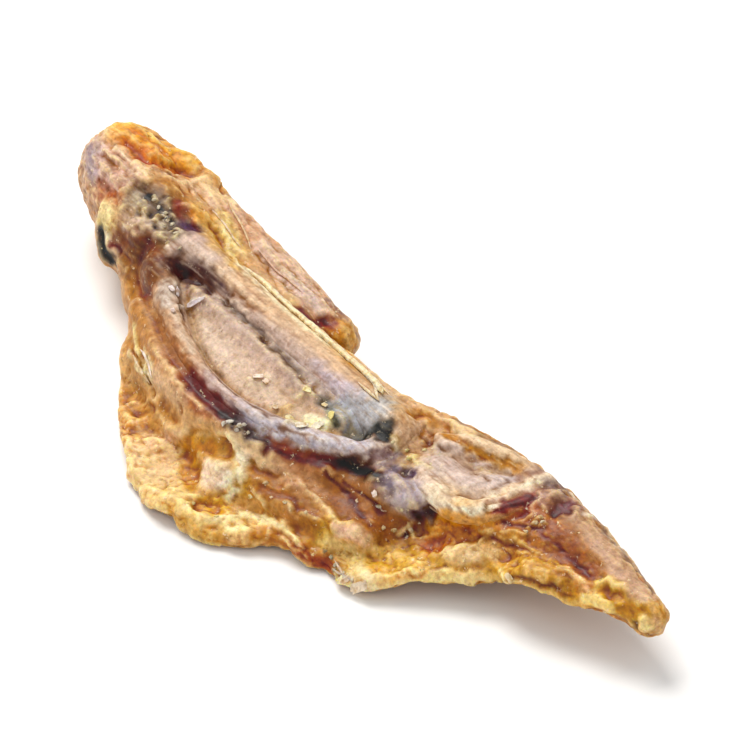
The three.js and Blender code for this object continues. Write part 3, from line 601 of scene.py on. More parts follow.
    ('outer crease, red brown', 0.4, -0.12, (130, 65, 35), 0.9, (40.5, -13.7, 6.8, 42.4, -13.2, 6.4, 43.8, -12.5, 6.4, 45.3, -11.9, 6.2)),
    ('outer crease, rust', 0.6, -0.135, (140, 60, 25), 0.85, (45.1, -12.2, 6.0, 46.9, -10.5, 6.3, 48.5, -9.0, 6.2)),
    ('outer crease, near black', 0.6, -0.15, (72, 48, 33), 0.9, (48.5, -9.4, 6.0, 50.3, -8.8, 6.0)),
    ('pale knob', 0.24, 0.35, (246, 228, 198), 0.95, (38.4, -14.6, 6.8)),
    ('pale knob', 0.24, 0.35, (246, 228, 198), 0.95, (39.3, -14.2, 6.8)),
    ('pale knob', 0.24, 0.35, (246, 228, 198), 0.95, (39.7, -14.0, 6.8)),
    ('knob shade', 0.16, -0.25, (66, 48, 42), 0.9, (39.1, -14.6, 6.6)),
    ('knob shade', 0.16, -0.25, (66, 48, 42), 0.9, (39.8, -14.3, 6.6)),
    ('grey patch', 0.8, -0.1, (186, 181, 184), 0.9, (43.9, -5.5, 7.8, 45.2, -5.7, 7.4, 45.4, -5.2, 8.0)),
    # painted shade: the far hole is painted near black
    ('far hole', 0.5, -0.8, (32, 32, 28), 0.95, (46.9, -5.4, 7.9, 47.1, -6.5, 7.1)),
    ('far hole', 0.35, -0.4, (52, 46, 48), 0.85, (45.3, -6.8, 6.8, 46.0, -6.3, 6.7)),
    ('thumb, lavender', 0.6, 0, (226, 206, 201), 0.7, (24.6, -0.1, 7.3, 26.5, -0.1, 7.0, 28.0, 0.7, 6.4, 29.5, 1.3, 6.0)),
    ('thumb, red hollow', 0.5, -0.45, (118, 38, 24), 0.92, (30.1, -1.2, 7.2, 31.8, -0.8, 6.9, 31.0, 1.1, 5.7)),
    ('thumb end, amber', 0.8, 0.1, (200, 130, 30), 0.8, (32.1, 1.1, 5.3, 33.3, 1.6, 4.6, 37.8, -1.2, 7.3)),
    ('thumb end, dusky rim', 0.35, 0.05, (150, 115, 108), 0.6, (28.9, 3.0, 5.7, 29.7, 3.4, 5.0, 31.6, 3.3, 4.8)),
    ('flap, upper amber', 0.7, -0.1, (200, 140, 60), 0.6, (23.0, -12.4, 6.8, 24.6, -12.4, 7.1)),
    ('flap, pale crest', 0.22, 0.08, (246, 212, 168), 0.6, (25.5, -13.4, 6.8, 28.4, -14.4, 6.9, 31.0, -14.8, 7.0, 33.5, -15.3, 6.8, 36.1, -15.2, 6.7, 37.6, -15.0, 6.6)),
    ('flap, left crest', 0.3, 0.3, (240, 218, 176), 0.7, (23.4, -13.4, 5.2, 25.3, -14.3, 4.8, 26.6, -14.7, 4.8)),
    ('flap, pink', 0.5, 0.15, (246, 206, 190), 0.7, (32.7, -16.9, 2.9)),
    ('flap, pink', 0.4, 0.15, (246, 206, 180), 0.6, (28.4, -15.0, 5.7)),
    ('flap, amber edge', 0.5, 0.1, (205, 130, 50), 0.8, (28.6, -17.7, 2.1)),
    ('flap, dark creases', 0.2, -0.25, (140, 100, 50), 0.7, (26.7, -15.1, 4.1, 28.1, -15.3, 4.5)),
    ('flap, brown mottle', 0.8, -0.1, (200, 140, 75), 0.5, (28.0, -16.3, 2.2, 30.4, -16.3, 3.5, 32.6, -16.2, 4.5)),
    ('pit ring', 0.45, -0.45, (188, 118, 18), 0.9, (35.2, -16.4, 4.3, 37.3, -16.4, 4.3, 39.0, -15.6, 4.8, 39.5, -15.7, 4.7)),
    ('pit ring', 0.4, -0.45, (204, 138, 32), 0.9, (35.9, -17.0, 3.1, 36.9, -17.8, 2.1, 38.8, -18.8, 2.3)),
    ('pit blob', 0.9, 0, (240, 216, 182), 0.3, (39.0, -17.1, 3.3, 40.1, -17.1, 3.3)),
    # painted highlight on the pit's rim
    ('pit rim', 0.25, 0.3, (250, 215, 160), 0.8, (39.4, -15.3, 5.1, 41.1, -16.0, 4.3, 41.4, -16.6, 3.7, 41.1, -17.4, 2.8)),
    ('small pit', 0.4, -0.35, (200, 135, 20), 0.9, (42.2, -16.7, 3.3, 42.8, -16.2, 3.9)),
    ('small pit', 0.5, -0.5, (205, 140, 10), 0.95, (41.6, -20.1, 2.1, 42.1, -19.0, 2.1)),
    ('small pit', 0.4, -0.35, (180, 115, 45), 0.7, (42.4, -14.8, 4.7, 44.1, -14.4, 4.5, 45.2, -14.2, 4.4)),
    ('small pit', 0.3, -0.2, (210, 150, 60), 0.6, (40.1, -21.1, 2.2, 40.3, -20.7, 2.2)),
    # painted highlight along the flap's crests
    ('flap crest', 0.4, 0.35, (255, 226, 162), 0.7, (36.3, -21.4, 1.5, 37.8, -21.4, 2.0, 39.9, -21.1, 2.2, 41.6, -21.1, 2.0, 42.4, -20.7, 1.8, 43.1, -19.7, 1.7)),
    ('flap crest', 0.3, 0.3, (250, 206, 142), 0.7, (41.5, -18.3, 2.4, 42.4, -18.4, 2.1, 43.7, -18.2, 1.8, 45.2, -18.4, 1.5, 46.4, -18.2, 1.7)),
    ('flap crest', 0.3, 0.25, (246, 200, 130), 0.7, (45.6, -17.5, 1.6, 46.9, -16.5, 2.0, 47.9, -16.0, 2.2)),
    ('flap fold, amber', 0.5, -0.35, (188, 122, 38), 0.8, (47.0, -18.1, 1.7, 47.9, -17.4, 1.7, 48.7, -16.8, 1.8)),
    ('flap fold, olive', 0.6, -0.4, (192, 132, 30), 0.9, (49.6, -15.1, 2.6, 50.6, -14.5, 2.8, 51.5, -14.5, 2.2)),
    ('flap fold, rust', 0.6, -0.15, (172, 93, 44), 0.8, (50.5, -16.2, 1.8, 52.1, -15.7, 1.3, 53.2, -15.1, 0.9)),
    ('flap fold crest', 0.25, 0.3, (226, 172, 112), 0.7, (48.7, -16.8, 1.8, 50.1, -16.4, 1.6, 51.3, -16.0, 1.4)),
    ('flap, pale by the crease', 0.6, 0.25, (242, 212, 177), 0.7, (39.3, -14.9, 6.2, 40.9, -14.5, 5.8, 42.4, -13.9, 5.6, 44.1, -13.3, 5.1)),
    ('flap, lavender bump', 0.6, 0.3, (215, 180, 160), 0.7, (45.1, -13.2, 4.7)),
    ('flap, brown fold', 0.5, -0.25, (165, 112, 58), 0.6, (46.5, -13.7, 4.4, 47.9, -13.5, 4.3, 49.8, -13.3, 4.2)),
    ('flap, dark spot', 0.25, -0.25, (90, 55, 20), 0.9, (47.3, -14.2, 4.2)),
    ('flap, pale bump', 0.3, 0.25, (250, 222, 190), 0.8, (47.7, -14.8, 3.8)),
    ('flap, dark spot', 0.25, -0.2, (130, 75, 25), 0.8, (52.3, -12.4, 4.1)),
    # painted highlight along a flap crest
    ('flap crest', 0.35, 0.3, (240, 200, 170), 0.7, (49.0, -14.3, 3.9, 50.7, -13.7, 3.8, 52.1, -13.4, 3.4, 52.7, -13.2, 3.2)),
    ('flap, pink', 0.5, 0.2, (240, 190, 165), 0.7, (53.5, -12.3, 3.8)),
    ('flap, brown zone', 1, -0.1, (150, 100, 50), 0.55, (47.7, -12.0, 4.6, 49.6, -11.4, 4.4, 52.0, -11.2, 4.3)),
    ('flap, wrist side cream', 0.9, 0.05, (240, 205, 165), 0.55, (32.7, -19.7, 1.9, 34.4, -20.1, 1.5, 36.3, -20.7, 1.6)),
    ('flap edge, amber', 0.4, -0.1, (205, 140, 60), 0.7, (38.8, -22.0, 2.0, 40.5, -22.0, 1.6, 41.6, -22.0, 1.4)),
    ('flap, brown left', 0.6, 0, (200, 125, 40), 0.6, (28.6, -17.7, 2.1)),
    ('flap, pinkish', 0.5, 0.1, (235, 195, 190), 0.6, (32.9, -16.9, 3.1)),
    ('flap edge, low', 0.5, 0, (178, 118, 55), 0.6, (43.5, -21.4, 1.0, 45.2, -20.3, 0.8, 46.4, -19.2, 0.4)),
    # painted shade in the far hole
    ('far hole', 0.5, -0.9, (28, 28, 24), 0.97, (47.6, -5.3, 8.1, 48.4, -4.8, 8.2, 48.8, -5.4, 7.9)),
    ('far hole', 0.35, -0.4, (45, 38, 42), 0.85, (45.4, -7.1, 6.7, 47.3, -6.7, 7.2)),
    ('minor end, lavender', 0.6, 0.05, (206, 199, 208), 0.8, (43.4, -11.3, 7.2, 45.3, -10.2, 7.2, 46.6, -9.2, 7.3, 48.1, -8.2, 7.3, 49.0, -7.6, 7.4)),
    ('rust line', 0.4, -0.3, (150, 65, 35), 0.8, (46.3, -11.0, 6.3, 47.7, -10.1, 6.2)),
    ('near black', 0.55, 0, (82, 56, 28), 0.9, (48.7, -9.1, 6.0, 49.8, -8.6, 6.1, 49.6, -9.1, 5.7)),
    ('digit, lavender', 1, 0.1, (191, 175, 178), 0.9, (51.8, -8.5, 6.4, 53.4, -7.7, 6.4, 55.3, -7.3, 6.0, 56.4, -6.9, 5.4)),
    ('digit, violet', 0.4, -0.25, (92, 72, 92), 0.85, (52.0, -9.0, 5.9, 52.2, -8.0, 6.5, 51.8, -7.4, 6.7, 52.2, -6.7, 6.7)),
    ('digit, pale', 0.5, 0.1, (216, 210, 214), 0.8, (54.1, -7.4, 6.3, 55.1, -7.3, 6.0)),
    ('digit, pink', 0.6, 0.1, (240, 215, 200), 0.7, (56.4, -6.4, 6.2)),
    ('knuckle fleck', 0.24, 0.25, (240, 206, 125), 0.8, (51.8, -5.9, 6.7)),
    ('knuckle fleck', 0.24, 0.25, (240, 206, 125), 0.8, (51.5, -4.8, 6.8)),
    ('knuckle fleck', 0.24, 0.25, (240, 206, 125), 0.8, (51.5, -4.2, 6.9)),
    ('knuckle fleck', 0.24, 0.25, (240, 206, 125), 0.8, (53.2, -4.6, 6.9)),
    ('knuckle, dark red', 0.25, -0.2, (110, 60, 60), 0.8, (52.8, -6.3, 6.6)),
    ('knuckle crease', 0.35, -0.35, (108, 72, 70), 0.75, (49.7, -7.7, 6.8, 50.1, -6.5, 7.2, 50.2, -5.7, 7.2)),
    ('digit end spot', 0.45, -0.5, (72, 33, 48), 0.95, (56.5, -7.0, 5.1, 56.8, -6.5, 5.2, 56.6, -7.2, 4.4)),
    ('below the digit', 0.5, -0.15, (150, 80, 35), 0.8, (56.0, -7.8, 3.5, 57.1, -7.3, 3.7)),
    # painted highlights on the pale beads
    ('pale bead', 0.22, 0.3, (250, 226, 162), 0.9, (52.6, -9.2, 5.2)),
    ('pale bead', 0.22, 0.3, (250, 226, 162), 0.9, (54.8, -8.3, 5.0)),
    ('pale bead', 0.22, 0.3, (250, 226, 162), 0.9, (53.5, -10.7, 4.2)),
    ('knuckle, pale', 0.5, 0.25, (236, 192, 162), 0.7, (49.3, -3.0, 7.4, 48.9, -1.5, 7.0, 49.6, -1.0, 7.3)),
    ('knuckle, brown', 0.4, -0.25, (165, 108, 68), 0.75, (50.1, -1.4, 6.8, 50.9, -2.7, 6.9, 51.1, -3.8, 6.9)),
    ('knuckle, ochre', 0.4, 0, (200, 160, 90), 0.7, (49.5, -4.8, 7.6, 49.8, -4.6, 7.3)),
    ('front groove', 0.3, -0.35, (198, 128, 48), 0.9, (47.7, -2.1, 8.0, 48.8, -0.9, 7.6, 50.4, -0.5, 7.5, 52.8, -0.6, 7.8, 54.5, -0.1, 7.7, 56.0, 0.3, 7.5, 58.1, 1.3, 7.8)),
    ('front rim', 0.4, 0.06, (232, 187, 147), 0.7, (47.3, -1.0, 7.8, 49.7, -0.4, 7.7, 52.4, 0.5, 7.6, 55.2, 0.9, 7.8, 56.9, 2.1, 7.7)),
    ('finger bone, pale', 0.6, 0.02, (221, 206, 196), 0.7, (51.6, -1.9, 7.4, 53.0, -1.4, 7.3, 54.9, -0.4, 7.2, 57.1, 0.4, 7.1)),
    ('finger bone hollow', 0.5, -0.1, (180, 144, 104), 0.6, (54.7, -2.1, 7.1, 56.0, -1.9, 7.1)),
    ('finger bone spot', 0.24, -0.04, (130, 115, 90), 0.7, (54.3, -2.7, 7.1)),
    ('finger bone ridge', 0.4, 0.08, (246, 221, 191), 0.7, (54.5, -4.8, 7.0, 55.8, -5.0, 6.9, 57.9, -5.0, 7.0, 59.6, -4.2, 7.1, 60.0, -2.7, 6.9)),
    ('finger bone ridge', 0.3, 0.06, (240, 216, 206), 0.6, (55.4, -3.8, 7.0, 56.7, -3.4, 7.0, 57.9, -3.3, 7.0)),
    ('rear rim, yellow', 0.3, 0.08, (250, 215, 150), 0.8, (57.7, -6.0, 6.8, 59.4, -5.3, 7.0, 60.7, -4.2, 7.2)),
    ('rear crevice, red', 0.3, -0.55, (118, 34, 24), 0.95, (61.1, -3.8, 7.2, 61.3, -2.5, 7.4, 61.6, -1.4, 7.5)),
    ('amber swell', 0.9, 0.15, (216, 146, 60), 0.9, (57.9, -6.4, 4.7, 59.9, -5.6, 6.2, 61.3, -4.4, 6.5, 62.4, -2.9, 6.5)),
    ('rust fold', 0.7, -0.25, (184, 94, 20), 0.9, (59.0, -8.0, 3.5, 59.6, -6.7, 4.2, 61.1, -5.3, 5.1)),
    ('pale bubble', 0.5, 0.3, (226, 191, 142), 0.7, (61.0, -7.7, 3.9, 61.6, -6.6, 4.1, 62.6, -6.1, 4.0)),
    ('fine fold', 0.16, 0.2, (232, 182, 112), 0.7, (55.2, -9.1, 3.2, 55.7, -7.9, 3.8)),
    ('fine fold', 0.16, 0.2, (232, 182, 112), 0.7, (55.8, -8.1, 3.4, 56.6, -8.2, 3.1, 58.5, -6.8, 4.0)),
    ('dark spot', 0.25, -0.25, (90, 50, 25), 0.85, (56.0, -8.5, 3.0)),
    ('flap edge, gold', 0.4, 0.2, (246, 196, 112), 0.6, (59.0, -12.7, 2.3, 59.8, -10.9, 3.1, 60.8, -10.3, 2.9, 62.0, -8.9, 2.8)),
    ('flap corner, cream', 0.5, 0.25, (250, 222, 165), 0.9, (57.3, -14.1, 0.6, 57.8, -14.0, 1.7, 58.1, -13.3, 2.2)),
    ('flap corner, yellow', 0.5, -0.1, (224, 168, 58), 0.8, (55.3, -13.2, 1.7, 56.6, -12.4, 2.0, 56.6, -11.0, 2.3)),
    ('corner fibres', 0.3, 0.2, (202, 192, 152), 0.8, (53.9, -15.0, 1.0, 55.4, -15.2, 1.0, 56.4, -14.7, 0.6)),
    ('corner spot', 0.2, -0.2, (110, 88, 58), 0.8, (55.2, -15.0, 1.2)),
    ('corner spot', 0.2, -0.2, (110, 88, 58), 0.8, (55.8, -15.0, 0.6)),
    ('corner spot', 0.2, -0.2, (110, 88, 58), 0.8, (54.7, -15.1, 0.6)),
    ('flap, olive', 0.5, -0.25, (190, 140, 30), 0.8, (50.6, -14.5, 2.8, 51.3, -14.8, 2.1)),
    ('flap, pink', 0.6, 0.2, (240, 190, 160), 0.7, (53.2, -12.5, 3.8, 54.1, -12.4, 3.5)),
    ('flap, cream', 0.4, 0.15, (236, 200, 150), 0.6, (55.0, -11.9, 2.9, 55.4, -11.4, 2.5)),
    ('flap, brown', 0.8, -0.1, (165, 95, 50), 0.7, (53.5, -10.3, 4.3, 54.4, -9.8, 3.8, 55.0, -9.3, 3.2)),
    ('flap, amber', 0.9, 0, (190, 130, 55), 0.6, (50.1, -10.4, 4.7)),
    ('rear crevice, red', 0.32, -0.6, (108, 30, 20), 0.95, (61.0, -3.7, 7.2, 61.7, -2.5, 7.4, 61.9, -1.2, 7.5, 62.4, -0.1, 7.7)),
    ('finger bone end', 0.4, 0.04, (206, 191, 181), 0.7, (60.8, -0.6, 7.2, 60.9, 0.7, 7.3, 61.1, 1.8, 7.7, 61.1, 2.6, 7.8)),
    ('joint, brown', 0.35, -0.25, (130, 84, 60), 0.8, (62.4, 1.5, 7.7)),
    ('joint, pale', 0.4, 0.25, (216, 176, 151), 0.6, (63.4, 1.1, 7.7, 63.6, 2.1, 7.7)),
    ('joint, dark', 0.4, -0.35, (88, 48, 58), 0.9, (65.1, 0.7, 7.6, 65.1, 1.5, 7.7)),
    ('joint, grey bump', 0.35, 0.28, (202, 182, 152), 0.8, (66.0, 2.0, 7.6)),
    ('joint, grey bump', 0.35, 0.28, (202, 182, 152), 0.8, (65.3, 2.9, 7.3)),
    ('joint, grey bump', 0.35, 0.28, (202, 182, 152), 0.8, (66.6, 1.8, 7.6)),
    ('finger flesh, rust', 0.6, -0.05, (174, 88, 38), 0.8, (62.4, -2.5, 6.8, 63.6, -1.4, 6.9, 63.8, -0.3, 7.3)),
    # painted highlights on the small bright bumps
    ('small bright bump', 0.16, 0.25, (250, 205, 145), 0.7, (64.7, -0.9, 7.0)),
    ('small bright bump', 0.16, 0.25, (250, 205, 145), 0.7, (65.5, -0.9, 7.0)),
    ('small bright bump', 0.16, 0.25, (250, 205, 145), 0.7, (64.9, -1.5, 6.8)),
    ('finger flesh, deep', 1, -0.1, (164, 88, 24), 0.8, (63.0, -5.0, 4.8, 64.7, -4.0, 5.2, 66.8, -2.5, 6.1, 69.3, -1.2, 6.5, 71.7, -0.6, 6.6)),
    ('flap, golden', 0.8, 0.1, (190, 135, 45), 0.8, (68.5, -5.3, 5.5, 69.6, -4.2, 5.9, 70.8, -3.3, 5.9)),
    # painted highlights on the edge beads
    ('edge bead', 0.22, 0.22, (250, 210, 140), 0.7, (63.0, -8.0, 2.5, 64.0, -7.1, 2.7)),
    ('edge bead', 0.22, 0.22, (250, 210, 140), 0.7, (66.8, -6.0, 4.6, 67.4, -5.6, 4.0)),
    ('flap edge, yellow', 0.25, 0.15, (236, 182, 84), 0.8, (64.3, -6.6, 2.4, 66.9, -5.5, 3.5)),
    ('arc fold', 0.17, 0.25, (205, 125, 75), 0.5, (62.2, -5.1, 5.0, 62.6, -4.2, 5.7, 63.6, -3.3, 6.1, 64.9, -2.8, 6.2)),
    ('rose fold', 0.3, 0.28, (226, 152, 92), 0.8, (70.8, -2.3, 6.1, 72.1, -2.5, 5.8, 73.4, -2.5, 5.5)),
    ('tip ridge', 0.9, 0, (211, 181, 151), 0.6, (67.4, 0.9, 7.5, 69.6, 0.9, 7.3, 72.3, 0.9, 7.1, 75.1, 0.7, 6.8, 78.3, 0.9, 6.4)),
    ('tip, front line', 0.3, 0, (200, 140, 110), 0.6, (75.3, 2.0, 6.5, 77.2, 2.0, 6.0, 78.8, 1.9, 5.8)),
    ('tip, grey line', 0.3, 0.05, (202, 190, 170), 0.6, (69.4, 2.9, 6.8, 72.3, 2.4, 6.7, 74.0, 2.3, 6.4)),
    ('tip, gold hollow', 0.6, -0.25, (184, 128, 20), 0.9, (75.3, -1.3, 5.9, 77.1, -1.5, 5.8, 78.7, -1.0, 5.9)),
    ('tip, cream fold', 0.4, 0.25, (246, 206, 122), 0.8, (73.8, -2.5, 5.4, 74.9, -2.1, 5.5, 76.1, -1.9, 5.8)),
    ('tip, cream fold', 0.25, 0.25, (246, 206, 132), 0.7, (74.7, -0.6, 6.5, 75.7, -0.4, 6.5)),
    ('tip end, pale', 0.4, 0.2, (246, 198, 114), 0.7, (79.6, -0.8, 5.0, 79.4, -0.7, 5.6)),
    ('tip notch', 0.3, -0.4, (130, 108, 30), 0.8, (78.7, -1.3, 5.0)),
    ('tip, olive spot', 0.2, -0.2, (110, 88, 30), 0.8, (73.8, -0.6, 6.5)),
    ('tip end, gold', 0.6, 0.05, (210, 150, 70), 0.6, (79.4, 0.7, 6.2)),
    ('tip end, red brown', 0.3, 0, (165, 100, 60), 0.6, (79.5, 1.7, 5.6, 79.9, 1.6, 5.0)),
    # painted highlight on the roll's crest, then painted shade in the crease under it
    ('roll crest', 0.35, 0.18, (252, 204, 116), 0.7, (3.8, -1.2, 10.4, 3.4, 0.3, 9.5, 6.3, 0.4, 10.0, 8.7, 1.1, 9.3, 9.8, 2.3, 9.0)),
    ('roll crease', 0.3, -0.3, (176, 94, 46), 0.75, (7.5, -2.3, 10.8, 9.6, -2.1, 10.7, 11.1, -0.2, 9.6, 11.9, 1.8, 9.0)),
    ('cut end, red brown', 0.7, -0.1, (176, 94, 54), 0.85, (8.1, -5.9, 8.7, 10.4, -6.2, 9.1)),
    ('by the sliver, dark red', 0.32, -0.2, (104, 44, 44), 0.9, (13.0, -8.1, 6.3, 13.6, -8.1, 7.0)),
    ('wrist ochre', 0.5, 0.15, (200, 134, 52), 0.85, (12.3, -2.7, 10.5, 13.6, -2.0, 10.1)),
    ('wrist orange', 0.45, 0.2, (230, 152, 40), 0.95, (15.6, -2.4, 9.8, 16.6, -1.4, 9.2)),
    ('wrist, dark violet', 0.4, -0.2, (74, 54, 80), 0.9, (17.2, -3.5, 9.7, 18.0, -2.8, 9.2)),
    ('wrist, lavender', 0.7, 0.1, (202, 174, 170), 0.75, (18.8, -5.8, 8.9, 19.7, -4.0, 9.4, 22.3, -4.2, 9.3)),
    ('wrist, pale ridge', 0.45, 0.25, (246, 210, 170), 0.85, (13.8, 1.5, 8.7, 15.9, 1.8, 8.5, 17.6, 2.4, 8.0)),
    ('wrist, orange bump', 0.5, 0.3, (206, 132, 52), 0.85, (13.0, 2.4, 8.7, 13.8, 2.6, 8.0)),
    ('thumb root fibre', 0.18, 0.25, (248, 214, 140), 0.85, (18.0, -0.4, 8.4, 19.9, -1.2, 8.1, 23.3, -2.7, 8.8)),
    ('thumb root fibre', 0.16, 0.25, (244, 208, 150), 0.8, (18.7, 0.5, 8.2, 21.0, -0.8, 7.9, 24.0, -2.3, 8.4)),
    ('thumb root fibre', 0.16, 0.2, (240, 200, 120), 0.8, (21.0, -3.2, 9.2, 22.7, -3.4, 9.2, 24.8, -4.3, 9.2)),
    ('thumb root shade', 0.16, -0.2, (160, 104, 40), 0.8, (18.7, 0.3, 8.2, 20.4, -1.0, 8.0, 23.6, -2.4, 8.5)),
    ('wrist fleck', 0.16, 0.28, (238, 220, 186), 0.9, (12.7, -4.4, 10.4, 13.8, -4.2, 10.3)),
    ('wrist fleck', 0.16, 0.28, (238, 220, 186), 0.9, (14.4, -4.0, 10.3, 14.4, -3.3, 10.3)),
    ('wrist fleck', 0.16, 0.28, (238, 220, 186), 0.9, (15.0, -5.1, 10.0, 15.9, -5.0, 9.9)),
    ('wrist fleck', 0.16, 0.28, (238, 220, 186), 0.9, (15.7, -4.0, 10.1, 16.1, -4.6, 10.0)),
    ('wrist fleck', 0.16, 0.28, (238, 220, 186), 0.9, (13.4, -5.6, 9.9, 14.0, -5.6, 9.9)),
    ('wrist fleck', 0.16, 0.28, (238, 220, 186), 0.9, (17.0, -4.6, 9.7, 17.8, -4.6, 9.4)),
    ('wrist fleck', 0.16, 0.28, (238, 220, 186), 0.9, (16.3, -5.8, 9.6, 17.2, -6.1, 9.2)),
    ('wrist dark speck', 0.2, -0.25, (50, 40, 38), 0.9, (13.4, -4.6, 10.3)),
    ('wrist dark speck', 0.2, -0.25, (50, 40, 38), 0.9, (14.9, -4.0, 10.2)),
    ('wrist dark speck', 0.2, -0.25, (50, 40, 38), 0.9, (14.9, -4.8, 10.1)),
    ('wrist dark speck', 0.2, -0.25, (50, 40, 38), 0.9, (14.7, -5.6, 9.8)),
    ('wrist dark speck', 0.2, -0.25, (50, 40, 38), 0.9, (15.1, -3.5, 10.2)),
    ('wrist dark speck', 0.2, -0.25, (50, 40, 38), 0.9, (15.6, -4.9, 10.0)),
    ('wrist dark speck', 0.2, -0.25, (50, 40, 38), 0.9, (16.7, -4.9, 9.8)),
    ('wrist dark speck', 0.2, -0.25, (50, 40, 38), 0.9, (15.5, -5.7, 9.8)),
    ('wrist dark speck', 0.2, -0.25, (50, 40, 38), 0.9, (16.9, -4.2, 9.8)),
    ('wrist dark speck', 0.2, -0.25, (50, 40, 38), 0.9, (13.8, -6.3, 9.5)),
    ('waist fold', 0.25, 0.2, (176, 110, 66), 0.7, (14.0, -7.7, 7.9, 15.5, -7.5, 8.4, 18.0, -8.1, 8.7)),
    ('waist, amber edge', 0.45, 0.1, (214, 150, 70), 0.8, (16.0, -9.2, 5.1, 17.8, -10.0, 4.7, 21.0, -12.1, 5.9)),
    ('crease, dark red', 0.8, -0.135, (126, 42, 22), 0.96, (32.0, -13.9, 7.3, 34.2, -14.4, 7.2, 36.1, -14.4, 7.1, 37.8, -14.4, 7.0)),
    ('crease, thin dark', 0.32, -0.105, (88, 50, 46), 0.9, (36.7, -13.5, 7.5, 38.4, -13.7, 7.1, 40.4, -13.6, 6.8, 41.8, -13.2, 6.6)),
    ('crease, rust', 0.5, -0.105, (150, 64, 30), 0.92, (43.5, -12.9, 6.2, 45.4, -11.7, 6.2, 46.8, -10.5, 6.4, 48.3, -9.0, 6.4)),
    ('crease, near black', 0.5, -0.12, (80, 48, 34), 0.92, (47.5, -9.9, 6.3, 49.1, -8.5, 6.4, 50.5, -8.2, 6.5)),
    ('minor, inner lavender', 0.45, 0, (208, 180, 174), 0.75, (24.0, -9.9, 8.4, 27.0, -11.4, 8.2, 31.6, -12.4, 7.9, 35.4, -12.5, 7.7, 39.2, -12.2, 7.6)),
    ('window, rear line', 0.17, -0.066, (116, 80, 58), 0.85, (25.8, -10.2, 8.1, 27.9, -11.3, 8.1, 28.0, -10.1, 6.5, 30.1, -10.6, 6.3, 32.5, -10.9, 6.2, 36.5, -12.2, 7.5, 39.0, -12.0, 7.6, 41.6, -11.0, 7.5)),
    # painted shade along the front crevice and in its dark blobs
    ('window, front line', 0.2, -0.075, (98, 76, 68), 0.85, (24.0, -6.1, 8.0, 25.9, -6.0, 8.1, 28.4, -6.1, 7.9, 31.3, -6.2, 7.9, 33.7, -5.9, 7.9, 36.3, -6.5, 7.8, 38.4, -6.7, 7.7)),
    ('window, dark blob', 0.3, -0.09, (70, 62, 50), 0.9, (37.6, -7.0, 7.6)),
    ('window, dark blob', 0.3, -0.09, (70, 62, 50), 0.9, (38.8, -6.5, 7.7)),
    ('window, dark blob', 0.3, -0.09, (70, 62, 50), 0.9, (40.1, -6.8, 7.6)),
    ('window, dark blob', 0.3, -0.09, (70, 62, 50), 0.9, (41.8, -6.7, 7.6)),
    ('window, dark blob', 0.3, -0.09, (70, 62, 50), 0.9, (42.9, -6.3, 7.6)),
    ('window, dark blob', 0.3, -0.09, (70, 62, 50), 0.9, (44.1, -7.2, 7.2)),
    ('window, dark blob', 0.3, -0.09, (70, 62, 50), 0.9, (33.9, -6.1, 7.8)),
    ('window, dark blob', 0.3, -0.09, (70, 62, 50), 0.9, (32.3, -6.3, 7.9)),
    ('major stain', 0.24, -0.03, (146, 96, 68), 0.8, (26.3, -5.3, 8.7)),
    ('major stain', 0.24, -0.03, (146, 96, 68), 0.8, (30.8, -5.2, 8.6)),
    ('major stain', 0.24, -0.03, (146, 96, 68), 0.8, (34.2, -5.0, 8.6)),
    ('major stain', 0.24, -0.03, (146, 96, 68), 0.8, (27.6, -1.2, 7.3)),
    ('major stain', 0.24, -0.03, (146, 96, 68), 0.8, (29.1, -5.3, 8.7)),
    ('major stain', 0.24, -0.03, (146, 96, 68), 0.8, (32.7, -5.4, 8.4)),
    ('grey pocket', 1, -0.05, (180, 180, 178), 0.9, (43.9, -5.9, 7.6, 45.8, -5.3, 7.9, 45.8, -4.0, 8.6)),
    ('window fleck', 0.4, 0.3, (246, 234, 204), 0.9, (35.0, -9.6, 6.6, 36.1, -9.1, 6.7)),
    ('window fleck', 0.3, 0.15, (206, 160, 90), 0.8, (39.5, -10.0, 6.4, 39.7, -9.1, 6.6)),
    ('window fleck', 0.3, 0.3, (252, 244, 196), 0.95, (39.5, -7.9, 7.1, 39.7, -7.3, 7.5, 40.1, -7.1, 7.5)),
    ('window fleck', 0.35, 0.3, (252, 248, 206), 0.95, (42.0, -8.6, 6.6, 43.3, -8.2, 6.7, 43.7, -7.4, 7.2)),
    ('window fleck', 0.2, 0.3, (228, 212, 110), 0.9, (42.9, -7.0, 7.4, 43.7, -7.4, 7.2)),
    ('window fleck', 0.25, 0.25, (246, 238, 160), 0.9, (42.2, -11.2, 7.5, 42.4, -10.6, 7.5)),
    ('window, rosy', 0.9, 0, (232, 200, 182), 0.5, (28.4, -8.1, 7.2, 31.0, -8.9, 6.8, 34.6, -8.4, 6.9)),
    ('window, pale', 0.5, 0.05, (246, 226, 204), 0.6, (26.8, -8.7, 6.8, 29.1, -9.6, 6.6, 32.3, -9.9, 6.6)),
    ('phalanx hollow', 1, -0.06, (176, 142, 116), 0.65, (53.1, -3.1, 7.0, 55.8, -2.1, 7.1)),
    ('phalanx, brown', 0.38, -0.06, (138, 102, 74), 0.85, (55.4, -1.9, 7.0, 56.0, -1.9, 7.1)),
    ('phalanx, lavender', 0.45, 0.02, (204, 186, 180), 0.7, (52.6, -1.8, 7.3, 53.5, -3.7, 7.0, 54.7, -4.6, 7.0)),
    ('front groove', 0.26, -0.35, (192, 134, 44), 0.95, (49.4, -1.1, 7.3, 52.2, -1.0, 7.7, 54.8, -0.3, 7.5, 57.8, 1.0, 7.6, 59.4, 2.0, 7.8)),
